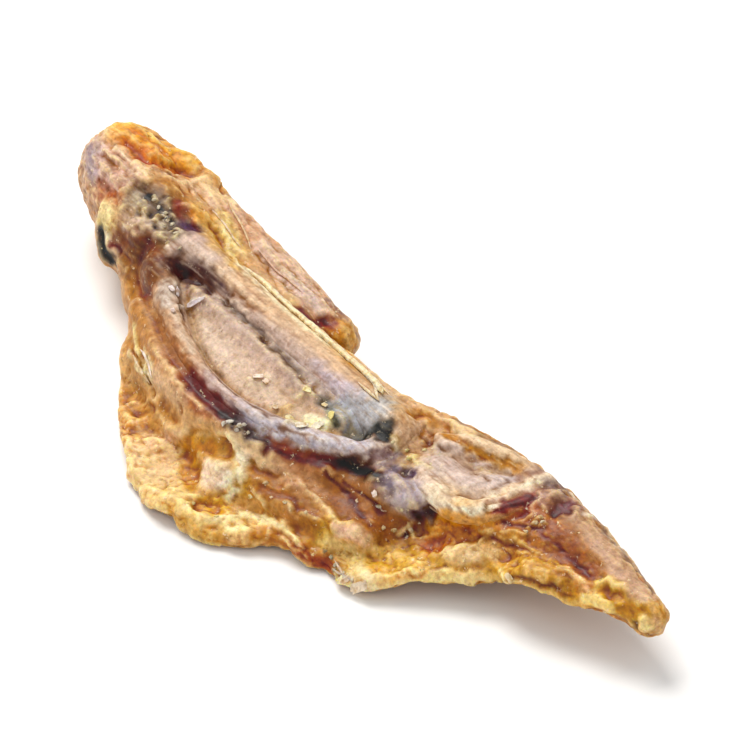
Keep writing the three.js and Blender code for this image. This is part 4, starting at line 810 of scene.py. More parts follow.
    ('front ridge', 0.4, 0.08, (240, 200, 164), 0.85, (51.8, 0.4, 7.6, 54.7, 0.9, 7.8, 57.5, 1.5, 7.9, 59.2, 2.4, 7.8)),
    ('great rim', 0.42, 0.14, (248, 218, 178), 0.95, (55.8, -6.2, 6.6, 57.9, -5.9, 6.8, 59.8, -5.0, 7.1, 60.7, -3.7, 7.3, 60.0, -2.0, 7.0, 60.2, -0.4, 7.2)),
    ('great rim, inner shade', 0.25, -0.08, (170, 130, 96), 0.7, (56.2, -5.7, 6.9, 57.9, -5.0, 7.0, 58.5, -3.5, 6.8)),
    ('film over the crevice', 0.45, 0.15, (220, 202, 202), 0.9, (58.2, -0.7, 7.0, 59.6, 0.5, 7.1, 61.1, 1.5, 7.6, 61.1, 0.3, 7.3)),
    ('swirl', 0.22, 0.072, (236, 210, 184), 0.8, (56.8, -1.0, 6.9, 57.9, -2.5, 7.1, 57.5, -3.7, 6.9)),
    ('swirl', 0.22, 0.06, (226, 200, 176), 0.8, (52.4, -4.4, 6.9, 54.7, -5.2, 7.0, 56.6, -4.8, 6.9)),
    ('phalanx knob', 0.45, 0.1, (212, 162, 120), 0.85, (49.6, -3.1, 7.1, 49.1, -2.2, 7.0, 50.1, -1.1, 7.0)),
    ('phalanx knob shade', 0.2, -0.1, (128, 84, 60), 0.85, (50.7, -4.2, 6.9, 50.4, -2.6, 6.8, 51.4, -1.8, 7.5)),
    ('great crevice', 0.36, -0.6, (110, 30, 24), 0.97, (61.2, -3.5, 7.3, 61.5, -2.3, 7.4, 61.7, -0.8, 7.5, 62.4, -0.2, 7.6)),
    ('digit', 1.1, 0.05, (192, 174, 176), 0.85, (51.5, -7.6, 6.7, 53.7, -7.8, 6.3, 55.9, -7.3, 5.6)),
    ('digit, violet', 0.3, -0.22, (82, 64, 84), 0.9, (51.3, -8.2, 6.5, 51.5, -6.5, 6.7, 53.0, -5.9, 6.7)),
    ('digit, spots', 0.2, -0.1, (130, 112, 116), 0.8, (53.9, -7.6, 6.3, 54.5, -7.3, 6.2)),
    ('digit, white', 0.3, 0.15, (232, 224, 222), 0.85, (55.1, -6.3, 6.5, 56.2, -6.4, 6.4)),
    ('digit end, dark', 0.5, -0.4, (80, 34, 40), 0.96, (56.4, -7.3, 4.8, 56.6, -6.7, 5.2)),
    ('joint, dark violet', 0.42, -0.4, (84, 50, 60), 0.92, (65.1, 0.4, 7.5, 64.7, 1.3, 7.7)),
    ('joint, fold', 0.22, 0.28, (236, 176, 148), 0.85, (63.3, -0.0, 7.4, 63.8, -1.2, 7.0, 63.8, -1.8, 6.7)),
    ('joint, brown pink', 0.6, 0.05, (190, 142, 122), 0.75, (62.6, 1.8, 7.7, 64.5, 2.0, 7.7)),
    ('joint, leading edge', 0.4, 0, (164, 116, 96), 0.7, (60.7, 2.4, 7.8, 62.1, 3.0, 7.5, 64.1, 3.7, 6.7, 67.0, 3.3, 6.8)),
    ('amber pool', 1, 0.1, (220, 142, 38), 0.9, (58.6, -6.2, 5.9, 60.3, -5.3, 6.3, 61.7, -4.4, 5.7)),
    ('rust pool', 0.6, -0.2, (192, 100, 20), 0.9, (59.0, -7.8, 3.6, 60.2, -6.5, 4.3, 61.5, -5.3, 5.0)),
    ('fan fold', 0.2, 0.25, (214, 140, 80), 0.8, (61.7, -4.8, 5.4, 63.1, -3.6, 6.0, 64.9, -2.9, 6.1)),
    ('fan fold', 0.16, 0.22, (222, 150, 90), 0.7, (64.9, -2.1, 6.5, 65.5, -3.1, 5.8, 67.4, -3.1, 5.8)),
    ('pink fold', 0.3, 0.3, (240, 186, 150), 0.85, (71.1, -2.3, 6.0, 72.7, -2.2, 5.8, 73.8, -2.5, 5.4)),
    ('pale bubble', 0.3, 0.3, (240, 206, 170), 0.85, (65.5, -3.7, 5.4, 66.4, -3.7, 5.4)),
    # painted highlights on the bright bumps and on the white edge
    ('bright bump', 0.16, 0.25, (252, 220, 180), 0.85, (64.7, -1.8, 6.7)),
    ('bright bump', 0.16, 0.25, (252, 220, 180), 0.85, (64.5, -1.1, 7.0)),
    ('bright bump', 0.16, 0.25, (252, 220, 180), 0.85, (65.3, -1.2, 6.9)),
    ('bright bump', 0.16, 0.25, (252, 220, 180), 0.85, (64.3, -2.1, 6.6)),
    ('edge, white', 0.22, 0.25, (252, 236, 206), 0.9, (67.1, -6.0, 4.4, 67.8, -5.8, 4.5)),
    ('pit, amber', 0.55, -0.5, (196, 124, 10), 0.95, (35.4, -16.4, 4.3, 37.1, -16.3, 4.4, 39.0, -15.5, 5.0)),
    ('pit, amber', 0.4, -0.4, (204, 136, 20), 0.95, (35.9, -17.0, 3.1, 37.3, -18.2, 2.1)),
    ('pit, gold', 0.45, -0.4, (202, 142, 24), 0.9, (42.2, -16.6, 3.5, 43.3, -16.3, 3.5)),
    ('pit, gold', 0.5, -0.5, (206, 142, 8), 0.97, (41.6, -19.7, 2.1, 42.2, -18.8, 2.1)),
    # painted highlight on the pit's lip
    ('pit lip', 0.25, 0.3, (252, 224, 168), 0.9, (39.5, -16.2, 4.3, 41.4, -16.3, 4.0, 42.0, -16.9, 3.1)),
    ('blob', 0.8, 0, (244, 220, 186), 0.3, (39.7, -17.4, 2.9, 40.5, -17.6, 2.7)),
    # painted highlights on the gold crests
    ('gold crest', 0.35, 0.35, (255, 230, 164), 0.9, (41.2, -21.3, 2.1, 42.2, -21.3, 1.7, 43.3, -19.9, 1.6, 44.8, -19.4, 1.4, 46.0, -18.4, 1.6)),
    ('gold crest', 0.3, 0.3, (252, 222, 160), 0.85, (37.8, -20.5, 2.0, 39.5, -20.5, 2.3, 40.5, -19.4, 2.3)),
    ('gold crest', 0.25, 0.3, (252, 216, 150), 0.85, (43.8, -17.4, 1.9, 46.2, -16.7, 1.9, 47.9, -15.6, 2.5)),
    ('brown line', 0.22, -0.22, (150, 92, 40), 0.85, (41.8, -14.8, 4.8, 43.6, -14.2, 4.7, 44.6, -13.9, 4.6)),
    ('brown line', 0.2, -0.22, (150, 92, 44), 0.8, (44.3, -15.4, 4.1, 46.5, -14.6, 4.2, 49.0, -14.0, 4.0, 51.4, -13.4, 3.8)),
    ('dark spot', 0.28, -0.3, (96, 56, 24), 0.92, (47.1, -14.1, 4.2)),
    ('dark spot', 0.25, -0.25, (110, 62, 26), 0.9, (52.2, -12.2, 4.1)),
    ('pink crest', 0.3, 0.2, (244, 204, 178), 0.8, (45.4, -13.0, 4.8, 46.9, -12.8, 4.5, 46.2, -13.7, 4.4)),
    ('pink crest', 0.45, 0.25, (246, 200, 178), 0.85, (52.1, -13.2, 3.7, 53.7, -12.5, 3.6)),
    ('olive pool', 0.6, -0.4, (196, 134, 14), 0.95, (49.8, -14.9, 2.6, 51.0, -14.3, 2.8, 51.3, -13.9, 3.3)),
    ('rust edge', 0.5, -0.1, (166, 84, 36), 0.85, (49.9, -16.4, 1.7, 51.9, -15.9, 1.1, 53.2, -15.1, 0.8)),
    ('fine fold', 0.14, 0.22, (242, 196, 140), 0.8, (48.8, -16.6, 2.0, 49.9, -16.4, 1.7)),
    ('fine fold', 0.14, 0.22, (242, 196, 140), 0.8, (49.2, -15.8, 2.3, 50.8, -15.8, 1.9)),
    ('fine fold', 0.14, 0.22, (242, 196, 140), 0.8, (47.5, -16.5, 2.1, 47.9, -17.4, 1.7)),
    ('upper left fibres', 0.18, 0.25, (246, 226, 170), 0.85, (25.3, -14.7, 4.2, 26.7, -15.1, 4.1, 28.2, -15.4, 4.4)),
    ('upper left fibres', 0.16, 0.2, (240, 214, 160), 0.8, (26.9, -14.7, 5.2, 28.0, -15.2, 4.6)),
    ('upper left shade', 0.16, -0.2, (138, 100, 60), 0.8, (25.9, -14.6, 4.6, 27.4, -15.2, 4.4, 28.9, -15.6, 4.3)),
    ('left amber knob', 0.5, 0.2, (212, 140, 50), 0.85, (28.1, -18.0, 1.9, 29.1, -17.9, 2.2)),
    ('left pink', 0.35, 0.2, (248, 214, 196), 0.85, (32.3, -16.8, 3.0, 34.2, -16.7, 3.8)),
    ('minor band', 1.15, 0, (186, 134, 84), 0.9, (21.2, -11.0, 7.1, 25.0, -12.1, 7.2, 28.0, -13.1, 7.3)),
    ('minor band, red brown', 1.05, 0, (150, 84, 54), 0.92, (29.3, -13.5, 7.3, 32.5, -14.3, 7.3)),
    ('minor band, dark red', 0.95, -0.06, (112, 44, 32), 0.95, (33.1, -14.6, 7.2, 35.6, -14.6, 7.1, 37.3, -14.6, 7.0)),
    ('minor band, dusk', 0.36, -0.08, (84, 60, 66), 0.85, (36.2, -13.6, 7.5, 38.2, -13.7, 7.1, 40.4, -13.6, 6.8, 42.6, -13.1, 6.5)),
    ('minor inner strip', 0.6, 0.03, (206, 180, 158), 0.85, (22.1, -10.0, 8.3, 25.9, -11.2, 8.3, 29.3, -12.4, 8.1)),
    ('minor inner strip', 0.6, 0.03, (192, 170, 172), 0.85, (31.4, -12.9, 8.0, 34.6, -13.1, 7.8, 37.3, -13.0, 7.7)),
    ('minor inner strip', 0.75, 0.05, (196, 190, 204), 0.9, (39.0, -12.8, 7.5, 41.5, -12.4, 7.1, 43.9, -11.3, 6.9, 46.4, -9.6, 7.1, 47.7, -8.0, 7.4)),
    ('minor inner strip, light', 0.25, 0.08, (226, 222, 230), 0.8, (42.8, -11.4, 7.3, 45.2, -10.1, 7.3, 46.5, -8.6, 7.4)),
    ('film line', 0.13, -0.06, (120, 86, 70), 0.85, (24.2, -8.6, 6.9, 28.9, -11.1, 7.6, 32.9, -12.2, 7.6, 36.5, -12.4, 7.6, 40.1, -12.0, 7.6, 43.0, -11.4, 7.3, 45.2, -10.1, 7.3)),
    ('window floor', 1.5, 0, (218, 190, 162), 0.5, (27.8, -8.8, 6.8, 31.6, -9.1, 6.7, 35.6, -9.4, 6.6, 38.8, -9.3, 6.6)),
    ('window floor, rosy', 0.8, 0, (214, 184, 168), 0.6, (30.3, -6.8, 7.9, 34.2, -6.9, 7.8, 37.6, -7.2, 7.6)),
    # painted shade in the hole at the root and along the front crevice with its blobs
    ('root hole', 0.6, -0.15, (64, 44, 58), 0.92, (21.0, -5.9, 8.4, 22.9, -5.7, 8.6, 24.4, -5.8, 8.4)),
    ('front line', 0.14, -0.12, (92, 78, 74), 0.9, (25.2, -6.0, 8.1, 28.0, -5.8, 8.2, 30.1, -6.3, 7.9, 32.3, -6.3, 7.9, 35.2, -6.3, 7.8, 38.2, -6.7, 7.7)),
    ('front line, fork', 0.12, -0.08, (120, 98, 88), 0.85, (29.1, -5.8, 8.1, 31.2, -5.6, 8.3, 32.5, -5.5, 8.3)),
    ('front blobs', 0.3, -0.2, (72, 72, 58), 0.9, (38.2, -6.7, 7.7, 40.2, -6.6, 7.7, 42.2, -6.7, 7.6, 44.3, -7.3, 7.1)),
    ('major side, rosy', 0.55, 0.04, (222, 196, 182), 0.8, (30.8, -5.4, 8.5, 34.2, -5.4, 8.4, 36.5, -5.1, 8.5)),
    ('major side, lavender', 0.6, 0.04, (206, 192, 206), 0.85, (38.4, -5.2, 8.3, 41.2, -5.1, 8.3, 43.7, -4.9, 8.3)),
    ('major, tan band', 0.45, 0.05, (214, 174, 132), 0.85, (25.5, -4.2, 9.1, 29.5, -4.4, 9.0, 32.9, -4.0, 8.9, 36.3, -3.5, 8.8, 39.5, -3.5, 8.7, 43.1, -3.3, 8.6)),
    ('major, tan shade', 0.16, -0.024, (148, 104, 78), 0.7, (25.3, -5.2, 8.8, 29.1, -5.1, 8.7, 32.3, -4.8, 8.8, 35.0, -4.4, 8.8)),
    ('grey pocket', 0.7, -0.1, (176, 178, 186), 0.9, (43.1, -5.9, 7.6, 44.8, -5.3, 8.0, 45.2, -6.1, 7.0)),
    # painted shade: the hole is painted near black
    ('black hole', 0.4, -0.5, (40, 40, 36), 0.95, (46.3, -6.0, 6.9, 47.9, -5.6, 7.9, 48.1, -4.6, 8.3)),
    ('flakes, root', 0.3, 0.12, (226, 220, 216), 0.8, (22.2, -8.5, 8.3, 23.4, -9.9, 8.4)),
    ('flakes, root', 0.2, 0.25, (250, 246, 236), 0.9, (24.6, -9.9, 8.2, 24.0, -8.1, 7.2, 24.8, -6.9, 7.9)),
    ('flakes, root shade', 0.14, -0.15, (92, 72, 62), 0.85, (23.6, -9.1, 8.1, 25.9, -10.4, 8.1)),
    ('thumb, rosy', 0.7, 0, (226, 198, 182), 0.75, (24.2, 1.8, 7.2, 27.2, 1.8, 6.5, 29.7, 2.0, 5.9)),
    ('thumb, red pocket', 0.62, -0.18, (104, 36, 24), 0.94, (30.6, -0.8, 7.0, 31.2, -0.1, 6.4, 31.6, 1.6, 5.5)),
    ('thumb, rust', 0.4, 0, (160, 84, 40), 0.85, (32.0, 0.7, 5.4, 32.3, 2.0, 5.3)),
    ('thumb, amber', 0.62, 0.05, (208, 138, 40), 0.9, (33.0, 1.5, 4.9, 33.6, 2.0, 3.8, 39.7, -2.7, 8.4)),
    ('thumb, dusky rim', 0.34, 0.08, (152, 116, 106), 0.85, (29.3, 2.8, 5.8, 30.3, 3.4, 5.0, 32.8, 2.8, 4.8)),
    ('flap, cream fibre', 0.25, 0.25, (246, 236, 200), 0.9, (23.6, -14.3, 4.3, 25.7, -14.6, 4.5, 27.9, -15.1, 4.9)),
    ('flap, cream fibre', 0.18, 0.22, (246, 232, 190), 0.85, (25.1, -13.8, 5.9, 27.4, -14.6, 5.9, 28.4, -15.1, 5.3)),
    ('flap, fibre shade', 0.14, -0.2, (150, 112, 60), 0.8, (24.0, -14.0, 4.7, 26.7, -14.8, 4.8, 28.0, -15.3, 4.5)),
    ('flap, amber left', 0.5, 0.1, (206, 138, 54), 0.85, (25.9, -16.7, 1.9, 29.1, -18.2, 2.1)),
    ('flap, brown gold', 0.8, 0, (202, 146, 84), 0.7, (28.1, -15.7, 3.5, 31.2, -16.0, 4.5, 33.5, -16.0, 5.0)),
    ('flap, rosy', 0.55, 0.12, (238, 206, 186), 0.8, (37.8, -15.4, 5.9, 40.3, -14.8, 5.5, 41.7, -14.5, 5.1)),
    ('flap, pit ring', 0.5, -0.5, (202, 132, 20), 0.97, (35.2, -16.7, 3.9, 37.1, -15.9, 4.9, 39.0, -15.5, 5.0)),
    ('flap, pit ring', 0.42, -0.45, (206, 140, 30), 0.95, (35.6, -16.9, 3.3, 37.3, -18.4, 2.0)),
    ('flap, pit blob', 0.7, 0, (242, 216, 186), 0.3, (38.6, -17.0, 3.4, 40.3, -17.1, 3.3)),
    # painted highlights on the pit rim and the lower crest
    ('flap, pit rim', 0.22, 0.25, (250, 224, 150), 0.85, (39.9, -15.1, 5.3, 41.6, -16.0, 4.2, 41.7, -17.2, 2.8)),
    ('flap, lower crest', 0.35, 0.3, (255, 230, 168), 0.88, (38.5, -22.1, 1.9, 40.5, -20.7, 2.2, 43.5, -19.7, 1.6, 44.7, -17.5, 1.7)),
    ('flap, small pit', 0.4, -0.45, (206, 142, 14), 0.95, (41.6, -20.1, 2.1, 42.0, -19.4, 2.1)),
    ('flap, warm brown', 0.8, 0, (196, 146, 104), 0.7, (42.5, -13.8, 5.7, 44.9, -12.8, 5.3, 47.0, -11.5, 5.4)),
    ('flap, brown, far', 0.55, -0.05, (166, 108, 66), 0.75, (44.5, -12.4, 6.1, 47.0, -10.8, 6.2, 48.7, -9.4, 5.8)),
    ('flap, dark fold', 0.22, -0.25, (120, 70, 26), 0.85, (45.8, -15.3, 3.9, 47.3, -14.5, 4.1, 48.4, -14.4, 4.0)),
    ('flap, cream fold', 0.25, 0.25, (248, 214, 160), 0.85, (46.9, -12.9, 4.5, 49.6, -12.8, 4.3, 52.2, -12.7, 4.0)),
    ('flap, cream fold', 0.25, 0.25, (250, 222, 164), 0.8, (43.5, -16.1, 3.8, 45.4, -15.8, 3.3, 46.2, -16.7, 1.9)),
    ('roll, gold', 0.6, 0.15, (238, 178, 76), 0.9, (3.0, -1.4, 9.9, 4.1, -0.2, 10.1)),
    ('roll, deep orange', 0.55, -0.1, (208, 118, 28), 0.92, (6.0, -2.1, 10.8, 9.1, -1.5, 10.6, 10.6, -0.4, 9.9)),
    ('roll, orange', 0.5, 0.15, (226, 152, 50), 0.9, (8.9, -1.0, 10.5, 10.5, 1.6, 9.1)),
    ('roll, far lump', 0.5, 0.2, (204, 142, 72), 0.85, (11.7, 2.8, 8.6, 13.8, 2.6, 8.0)),
    ('cut end, dusk edge', 0.35, 0, (150, 128, 140), 0.8, (3.4, -4.0, 9.1, 5.5, -5.3, 8.5)),
    ('cut end, lavender', 0.6, 0, (214, 186, 182), 0.75, (5.1, -4.1, 9.8, 8.1, -5.5, 9.3)),
    ('cut end, fibre', 0.14, 0.11, (242, 214, 200), 0.8, (5.3, -3.6, 10.2, 8.3, -4.4, 10.3, 10.6, -4.8, 10.3)),
    ('cut end, fibre', 0.14, 0.11, (242, 214, 200), 0.8, (6.0, -4.8, 9.4, 8.8, -5.4, 9.6, 10.9, -5.8, 9.6)),
    ('cut end, fibre', 0.14, 0.11, (242, 214, 200), 0.8, (6.2, -3.3, 10.5, 9.1, -3.5, 10.7, 10.8, -3.6, 10.6)),
    ('cut end, fibre shade', 0.12, -0.09, (150, 100, 84), 0.8, (5.5, -4.2, 9.9, 8.7, -4.9, 10.0, 10.8, -5.3, 10.0)),
    ('cut end, fibre shade', 0.12, -0.09, (150, 100, 84), 0.8, (6.0, -3.5, 10.4, 8.7, -4.0, 10.5, 11.1, -4.2, 10.5)),
    ('cut end, fibre shade', 0.12, -0.09, (150, 100, 84), 0.8, (6.4, -5.4, 8.8, 8.7, -5.9, 8.9)),
    ('below the roll, cream', 0.35, 0.22, (240, 204, 160), 0.85, (8.9, -3.1, 10.7, 11.1, -2.9, 10.7, 12.5, -0.9, 9.8, 12.7, 1.3, 8.9)),
    ('dark field', 0.9, -0.12, (84, 70, 60), 0.3, (12.3, -4.4, 10.4, 14.6, -3.8, 10.2, 16.4, -3.3, 9.9, 16.7, -4.8, 9.8)),
    ('maroon', 0.3, -0.15, (108, 48, 56), 0.9, (15.5, -3.1, 10.0, 16.1, -2.3, 9.6, 17.8, -2.9, 9.3)),
    ('hot orange', 0.26, 0.15, (228, 140, 30), 0.92, (15.7, -1.9, 9.6, 16.8, -1.2, 9.0)),
    ('cream knob', 0.4, 0.3, (244, 228, 164), 0.92, (9.1, -6.9, 6.9, 10.8, -6.8, 8.3, 10.9, -7.3, 7.3)),
    # painted shade on the shaded underside at the edge of the cut
    ('dark sliver', 0.26, -0.15, (50, 58, 64), 0.97, (10.2, -7.6, 6.2, 11.3, -8.4, 5.6, 12.3, -8.6, 5.2, 13.0, -8.5, 4.6)),
    ('pale by the sliver', 0.26, 0.15, (238, 222, 188), 0.88, (11.7, -7.9, 6.4, 13.4, -8.4, 5.7, 15.5, -8.8, 5.8)),
    ('maroon', 0.3, -0.15, (128, 58, 60), 0.88, (12.5, -8.2, 6.1, 14.7, -8.2, 7.3)),
    ('waist, brown', 0.95, -0.1, (138, 80, 44), 0.88, (15.1, -7.5, 8.4, 18.6, -8.9, 8.3, 20.2, -9.9, 7.1)),
    ('waist, brown gold', 0.7, 0, (186, 128, 66), 0.8, (17.6, -9.8, 4.9, 22.0, -12.6, 5.7, 24.6, -14.0, 4.9)),
    ('fleck field', 0.7, 0.08, (214, 192, 176), 0.75, (17.0, -5.7, 9.5, 19.7, -5.5, 8.9, 21.7, -4.6, 9.2)),
    # painted shade in the hollow at the root
    ('hollow', 0.5, -0.35, (64, 44, 56), 0.93, (19.9, -7.4, 8.7, 21.7, -6.1, 8.2, 24.4, -5.8, 8.4, 26.1, -5.8, 8.3)),
    ('yellow fibres', 0.3, 0.2, (242, 212, 140), 0.8, (17.2, 0.5, 8.4, 20.2, -0.6, 8.0, 22.1, -1.0, 7.8)),
    ('thumb root, warm', 0.6, 0.05, (208, 142, 92), 0.8, (17.4, 2.8, 7.6, 21.5, 2.5, 7.4)),
    ('thumb, long fibre', 0.18, 0.2, (240, 216, 204), 0.8, (21.2, 1.5, 7.8, 25.0, 1.3, 7.0, 28.2, 1.8, 6.3)),
    ('thumb, long shade', 0.15, -0.22, (164, 112, 84), 0.8, (22.1, 0.3, 7.6, 25.5, 0.2, 7.0, 28.0, 0.7, 6.4)),
    ('thumb, long shade', 0.13, -0.16, (180, 130, 104), 0.75, (22.1, 2.2, 7.5, 26.3, 1.8, 6.7, 28.7, 2.4, 6.1)),
    ('dark field, beige', 1.1, 0, (190, 158, 128), 0.8, (12.5, -6.0, 9.6, 14.4, -5.5, 9.9, 15.3, -3.8, 10.1, 16.3, -5.8, 9.6)),
    ('dark field, brown gold', 0.7, 0, (186, 130, 72), 0.75, (11.9, -3.1, 10.6, 13.4, -2.3, 10.3, 14.9, -2.3, 9.9)),
    ('black fleck', 0.17, -0.28, (42, 36, 36), 0.95, (12.5, -4.9, 10.2)),
    ('black fleck', 0.17, -0.28, (42, 36, 36), 0.95, (12.7, -4.4, 10.4)),
    ('black fleck', 0.17, -0.28, (42, 36, 36), 0.95, (13.6, -4.6, 10.3)),
    ('black fleck', 0.17, -0.28, (42, 36, 36), 0.95, (13.4, -5.0, 10.1)),
    ('black fleck', 0.17, -0.28, (42, 36, 36), 0.95, (13.4, -5.6, 9.9)),
    ('black fleck', 0.17, -0.28, (42, 36, 36), 0.95, (14.7, -5.0, 10.1)),
    ('black fleck', 0.17, -0.28, (42, 36, 36), 0.95, (14.9, -4.4, 10.2)),
    ('black fleck', 0.17, -0.28, (42, 36, 36), 0.95, (14.7, -5.6, 9.8)),
    ('black fleck', 0.17, -0.28, (42, 36, 36), 0.95, (15.5, -5.2, 9.9)),
    ('black fleck', 0.17, -0.28, (42, 36, 36), 0.95, (15.5, -4.4, 10.1)),
    ('black fleck', 0.17, -0.28, (42, 36, 36), 0.95, (16.4, -4.4, 9.9)),
    ('black fleck', 0.17, -0.28, (42, 36, 36), 0.95, (16.3, -5.3, 9.8)),
    ('black fleck', 0.17, -0.28, (42, 36, 36), 0.95, (15.9, -5.9, 9.6)),
    ('black fleck', 0.17, -0.28, (42, 36, 36), 0.95, (13.4, -6.2, 9.5)),
    ('black fleck', 0.17, -0.28, (42, 36, 36), 0.95, (17.0, -4.6, 9.7)),
    ('black fleck', 0.17, -0.28, (42, 36, 36), 0.95, (15.3, -6.2, 9.5)),
    ('black fleck', 0.17, -0.28, (42, 36, 36), 0.95, (12.1, -4.3, 10.4)),
    ('black fleck', 0.17, -0.28, (42, 36, 36), 0.95, (14.0, -3.5, 10.3)),
    ('cream fleck', 0.17, 0.3, (246, 232, 204), 0.92, (12.9, -5.0, 10.2)),
    ('cream fleck', 0.17, 0.3, (246, 232, 204), 0.92, (14.0, -5.0, 10.1)),
    ('cream fleck', 0.17, 0.3, (246, 232, 204), 0.92, (14.4, -4.6, 10.2)),
    ('cream fleck', 0.17, 0.3, (246, 232, 204), 0.92, (15.9, -4.8, 10.0)),
    ('cream fleck', 0.17, 0.3, (246, 232, 204), 0.92, (15.1, -4.8, 10.1)),
    ('cream fleck', 0.17, 0.3, (246, 232, 204), 0.92, (15.3, -5.7, 9.8)),
    ('cream fleck', 0.17, 0.3, (246, 232, 204), 0.92, (17.1, -5.2, 9.6)),
    ('cream fleck', 0.17, 0.3, (246, 232, 204), 0.92, (17.2, -6.1, 9.2)),
    ('cream fleck', 0.17, 0.3, (246, 232, 204), 0.92, (17.8, -5.6, 9.2)),
    ('cream fleck', 0.17, 0.3, (246, 232, 204), 0.92, (16.8, -6.1, 9.3)),
    ('cream fleck', 0.17, 0.3, (246, 232, 204), 0.92, (12.7, -5.6, 9.9)),
    ('cream fleck', 0.17, 0.3, (246, 232, 204), 0.92, (14.8, -4.0, 10.2)),
    ('cream fleck', 0.17, 0.3, (246, 232, 204), 0.92, (15.9, -4.0, 10.0)),
    ('cream fleck', 0.17, 0.3, (246, 232, 204), 0.92, (16.3, -6.2, 9.4)),
    ('cream fleck', 0.17, 0.3, (246, 232, 204), 0.92, (18.3, -6.3, 9.0)),
    ('cream fleck', 0.17, 0.3, (246, 232, 204), 0.92, (17.9, -5.0, 9.3)),
    ('violet', 0.3, -0.12, (100, 72, 108), 0.88, (17.2, -3.8, 9.7, 17.8, -3.3, 9.4)),
    ('maroon', 0.3, -0.1, (138, 66, 66), 0.85, (15.3, -3.1, 10.1, 16.4, -3.5, 9.9)),
    ('hot orange', 0.28, 0.15, (226, 142, 44), 0.92, (16.3, -2.3, 9.6, 17.0, -2.3, 9.4)),
    ('lavender beige', 0.6, 0.1, (216, 192, 174), 0.8, (13.6, -7.3, 8.4, 14.7, -6.7, 9.2, 16.1, -6.2, 9.4)),
    ('waist, gold brown', 0.7, 0, (186, 130, 68), 0.85, (14.9, -8.5, 6.5, 16.1, -8.7, 6.2, 17.4, -9.0, 5.8)),
    ('waist, dark brown', 0.75, -0.12, (136, 80, 46), 0.9, (16.6, -7.5, 8.3, 18.9, -8.8, 8.6, 19.7, -9.5, 8.0)),
    ('waist, red brown', 0.4, -0.12, (150, 86, 66), 0.8, (13.8, -8.0, 7.3, 14.0, -7.7, 7.9, 15.3, -7.5, 8.4)),
    ('pale right of the hollow', 0.6, 0.08, (214, 188, 172), 0.75, (19.1, -4.7, 9.3, 21.7, -4.6, 9.2, 23.8, -4.7, 9.1)),
    ('wrist side, golden', 0.6, 0.05, (226, 178, 104), 0.7, (15.9, -1.5, 9.4, 18.1, -1.6, 8.7, 21.0, -3.1, 9.1)),
    ('wrist side, cream', 0.5, 0.12, (236, 200, 150), 0.75, (12.1, 1.5, 9.0, 14.0, 1.4, 8.7, 15.7, 1.5, 8.5)),
    ('roll, gold far', 0.5, 0.15, (214, 146, 26), 0.9, (9.1, 1.1, 9.3, 10.5, 1.6, 9.1)),
    ('roll, rust', 0.5, -0.05, (214, 124, 44), 0.85, (7.2, -1.2, 10.7, 8.5, -1.2, 10.6)),
    ('roll, pink fleck', 0.25, 0.15, (244, 196, 160), 0.85, (6.6, -2.7, 10.7, 7.7, -2.5, 10.8)),
    ('plate, cream', 0.8, 0, (226, 200, 172), 0.7, (52.6, -2.5, 7.0, 56.2, -3.3, 7.1, 58.5, -3.6, 6.8)),
    ('plate, hollow', 0.5, -0.1, (168, 134, 108), 0.8, (54.1, -1.2, 7.0, 55.2, -0.7, 6.8)),
    ('plate, pinkish', 0.5, 0.05, (216, 190, 180), 0.75, (52.4, -1.6, 7.5, 53.9, -0.7, 7.5, 55.9, -0.2, 6.8)),
    ('plate, lavender lip', 0.6, 0.06, (212, 200, 200), 0.85, (58.5, -0.8, 7.1, 59.2, 0.9, 7.2, 60.0, 2.0, 7.8)),
    ('plate, grey line', 0.18, -0.06, (140, 122, 122), 0.7, (59.4, -1.8, 7.1, 59.6, 0.1, 7.1, 59.8, 1.6, 7.7)),
    # the rim's own cream, brightened by painted highlight
    ('plate rim, bright', 0.6, 0.15, (250, 224, 188), 0.97, (56.0, -5.7, 6.9, 57.7, -5.7, 6.9, 59.2, -5.2, 7.1, 60.2, -4.2, 7.2, 60.2, -2.5, 7.0)),
    ('plate rim, left', 0.45, 0.12, (238, 212, 190), 0.85, (53.2, -5.2, 6.9, 55.1, -5.7, 6.9, 56.4, -5.9, 6.9)),
    ('plate groove, gold', 0.26, -0.25, (188, 128, 40), 0.93, (51.1, -1.2, 7.6, 53.2, -0.6, 7.7, 55.0, -0.2, 7.4, 56.6, 0.4, 7.3, 58.3, 1.1, 7.6, 59.0, 2.2, 7.8)),
    ('plate front ridge', 0.36, 0.15, (244, 214, 166), 0.88, (50.9, -0.0, 7.6, 52.8, 0.7, 7.6, 55.4, 1.1, 7.8, 57.5, 1.8, 7.8, 59.0, 2.2, 7.8)),
    ('plate outer edge', 0.22, 0, (150, 118, 90), 0.75, (50.5, 0.8, 7.7, 52.8, 1.3, 7.6, 54.9, 2.0, 7.5, 56.2, 3.0, 7.1)),
    ('joint edge, dark', 0.28, 0, (128, 98, 84), 0.8, (59.8, 2.6, 7.7, 61.5, 2.9, 7.6, 62.8, 3.5, 7.0)),
    ('knuckle knob', 0.55, 0.2, (214, 170, 136), 0.85, (49.6, -3.6, 7.3, 49.2, -2.1, 6.8, 50.8, -1.5, 7.2)),
    ('knuckle shade', 0.25, -0.15, (132, 88, 62), 0.8, (50.1, -2.3, 6.8, 51.2, -2.2, 7.0)),
    ('knuckle stripes', 0.2, 0.15, (232, 212, 160), 0.85, (49.2, -5.0, 7.8, 50.3, -5.4, 7.0)),
    ('knuckle stripes', 0.2, 0.18, (238, 220, 150), 0.85, (51.1, -4.4, 6.9, 52.8, -4.8, 6.9, 53.7, -4.4, 7.0)),
    ('digit, edge', 0.22, 0, (130, 108, 116), 0.75, (51.3, -8.7, 6.3, 50.9, -7.6, 6.7, 50.5, -6.3, 6.9, 50.7, -5.2, 6.8)),
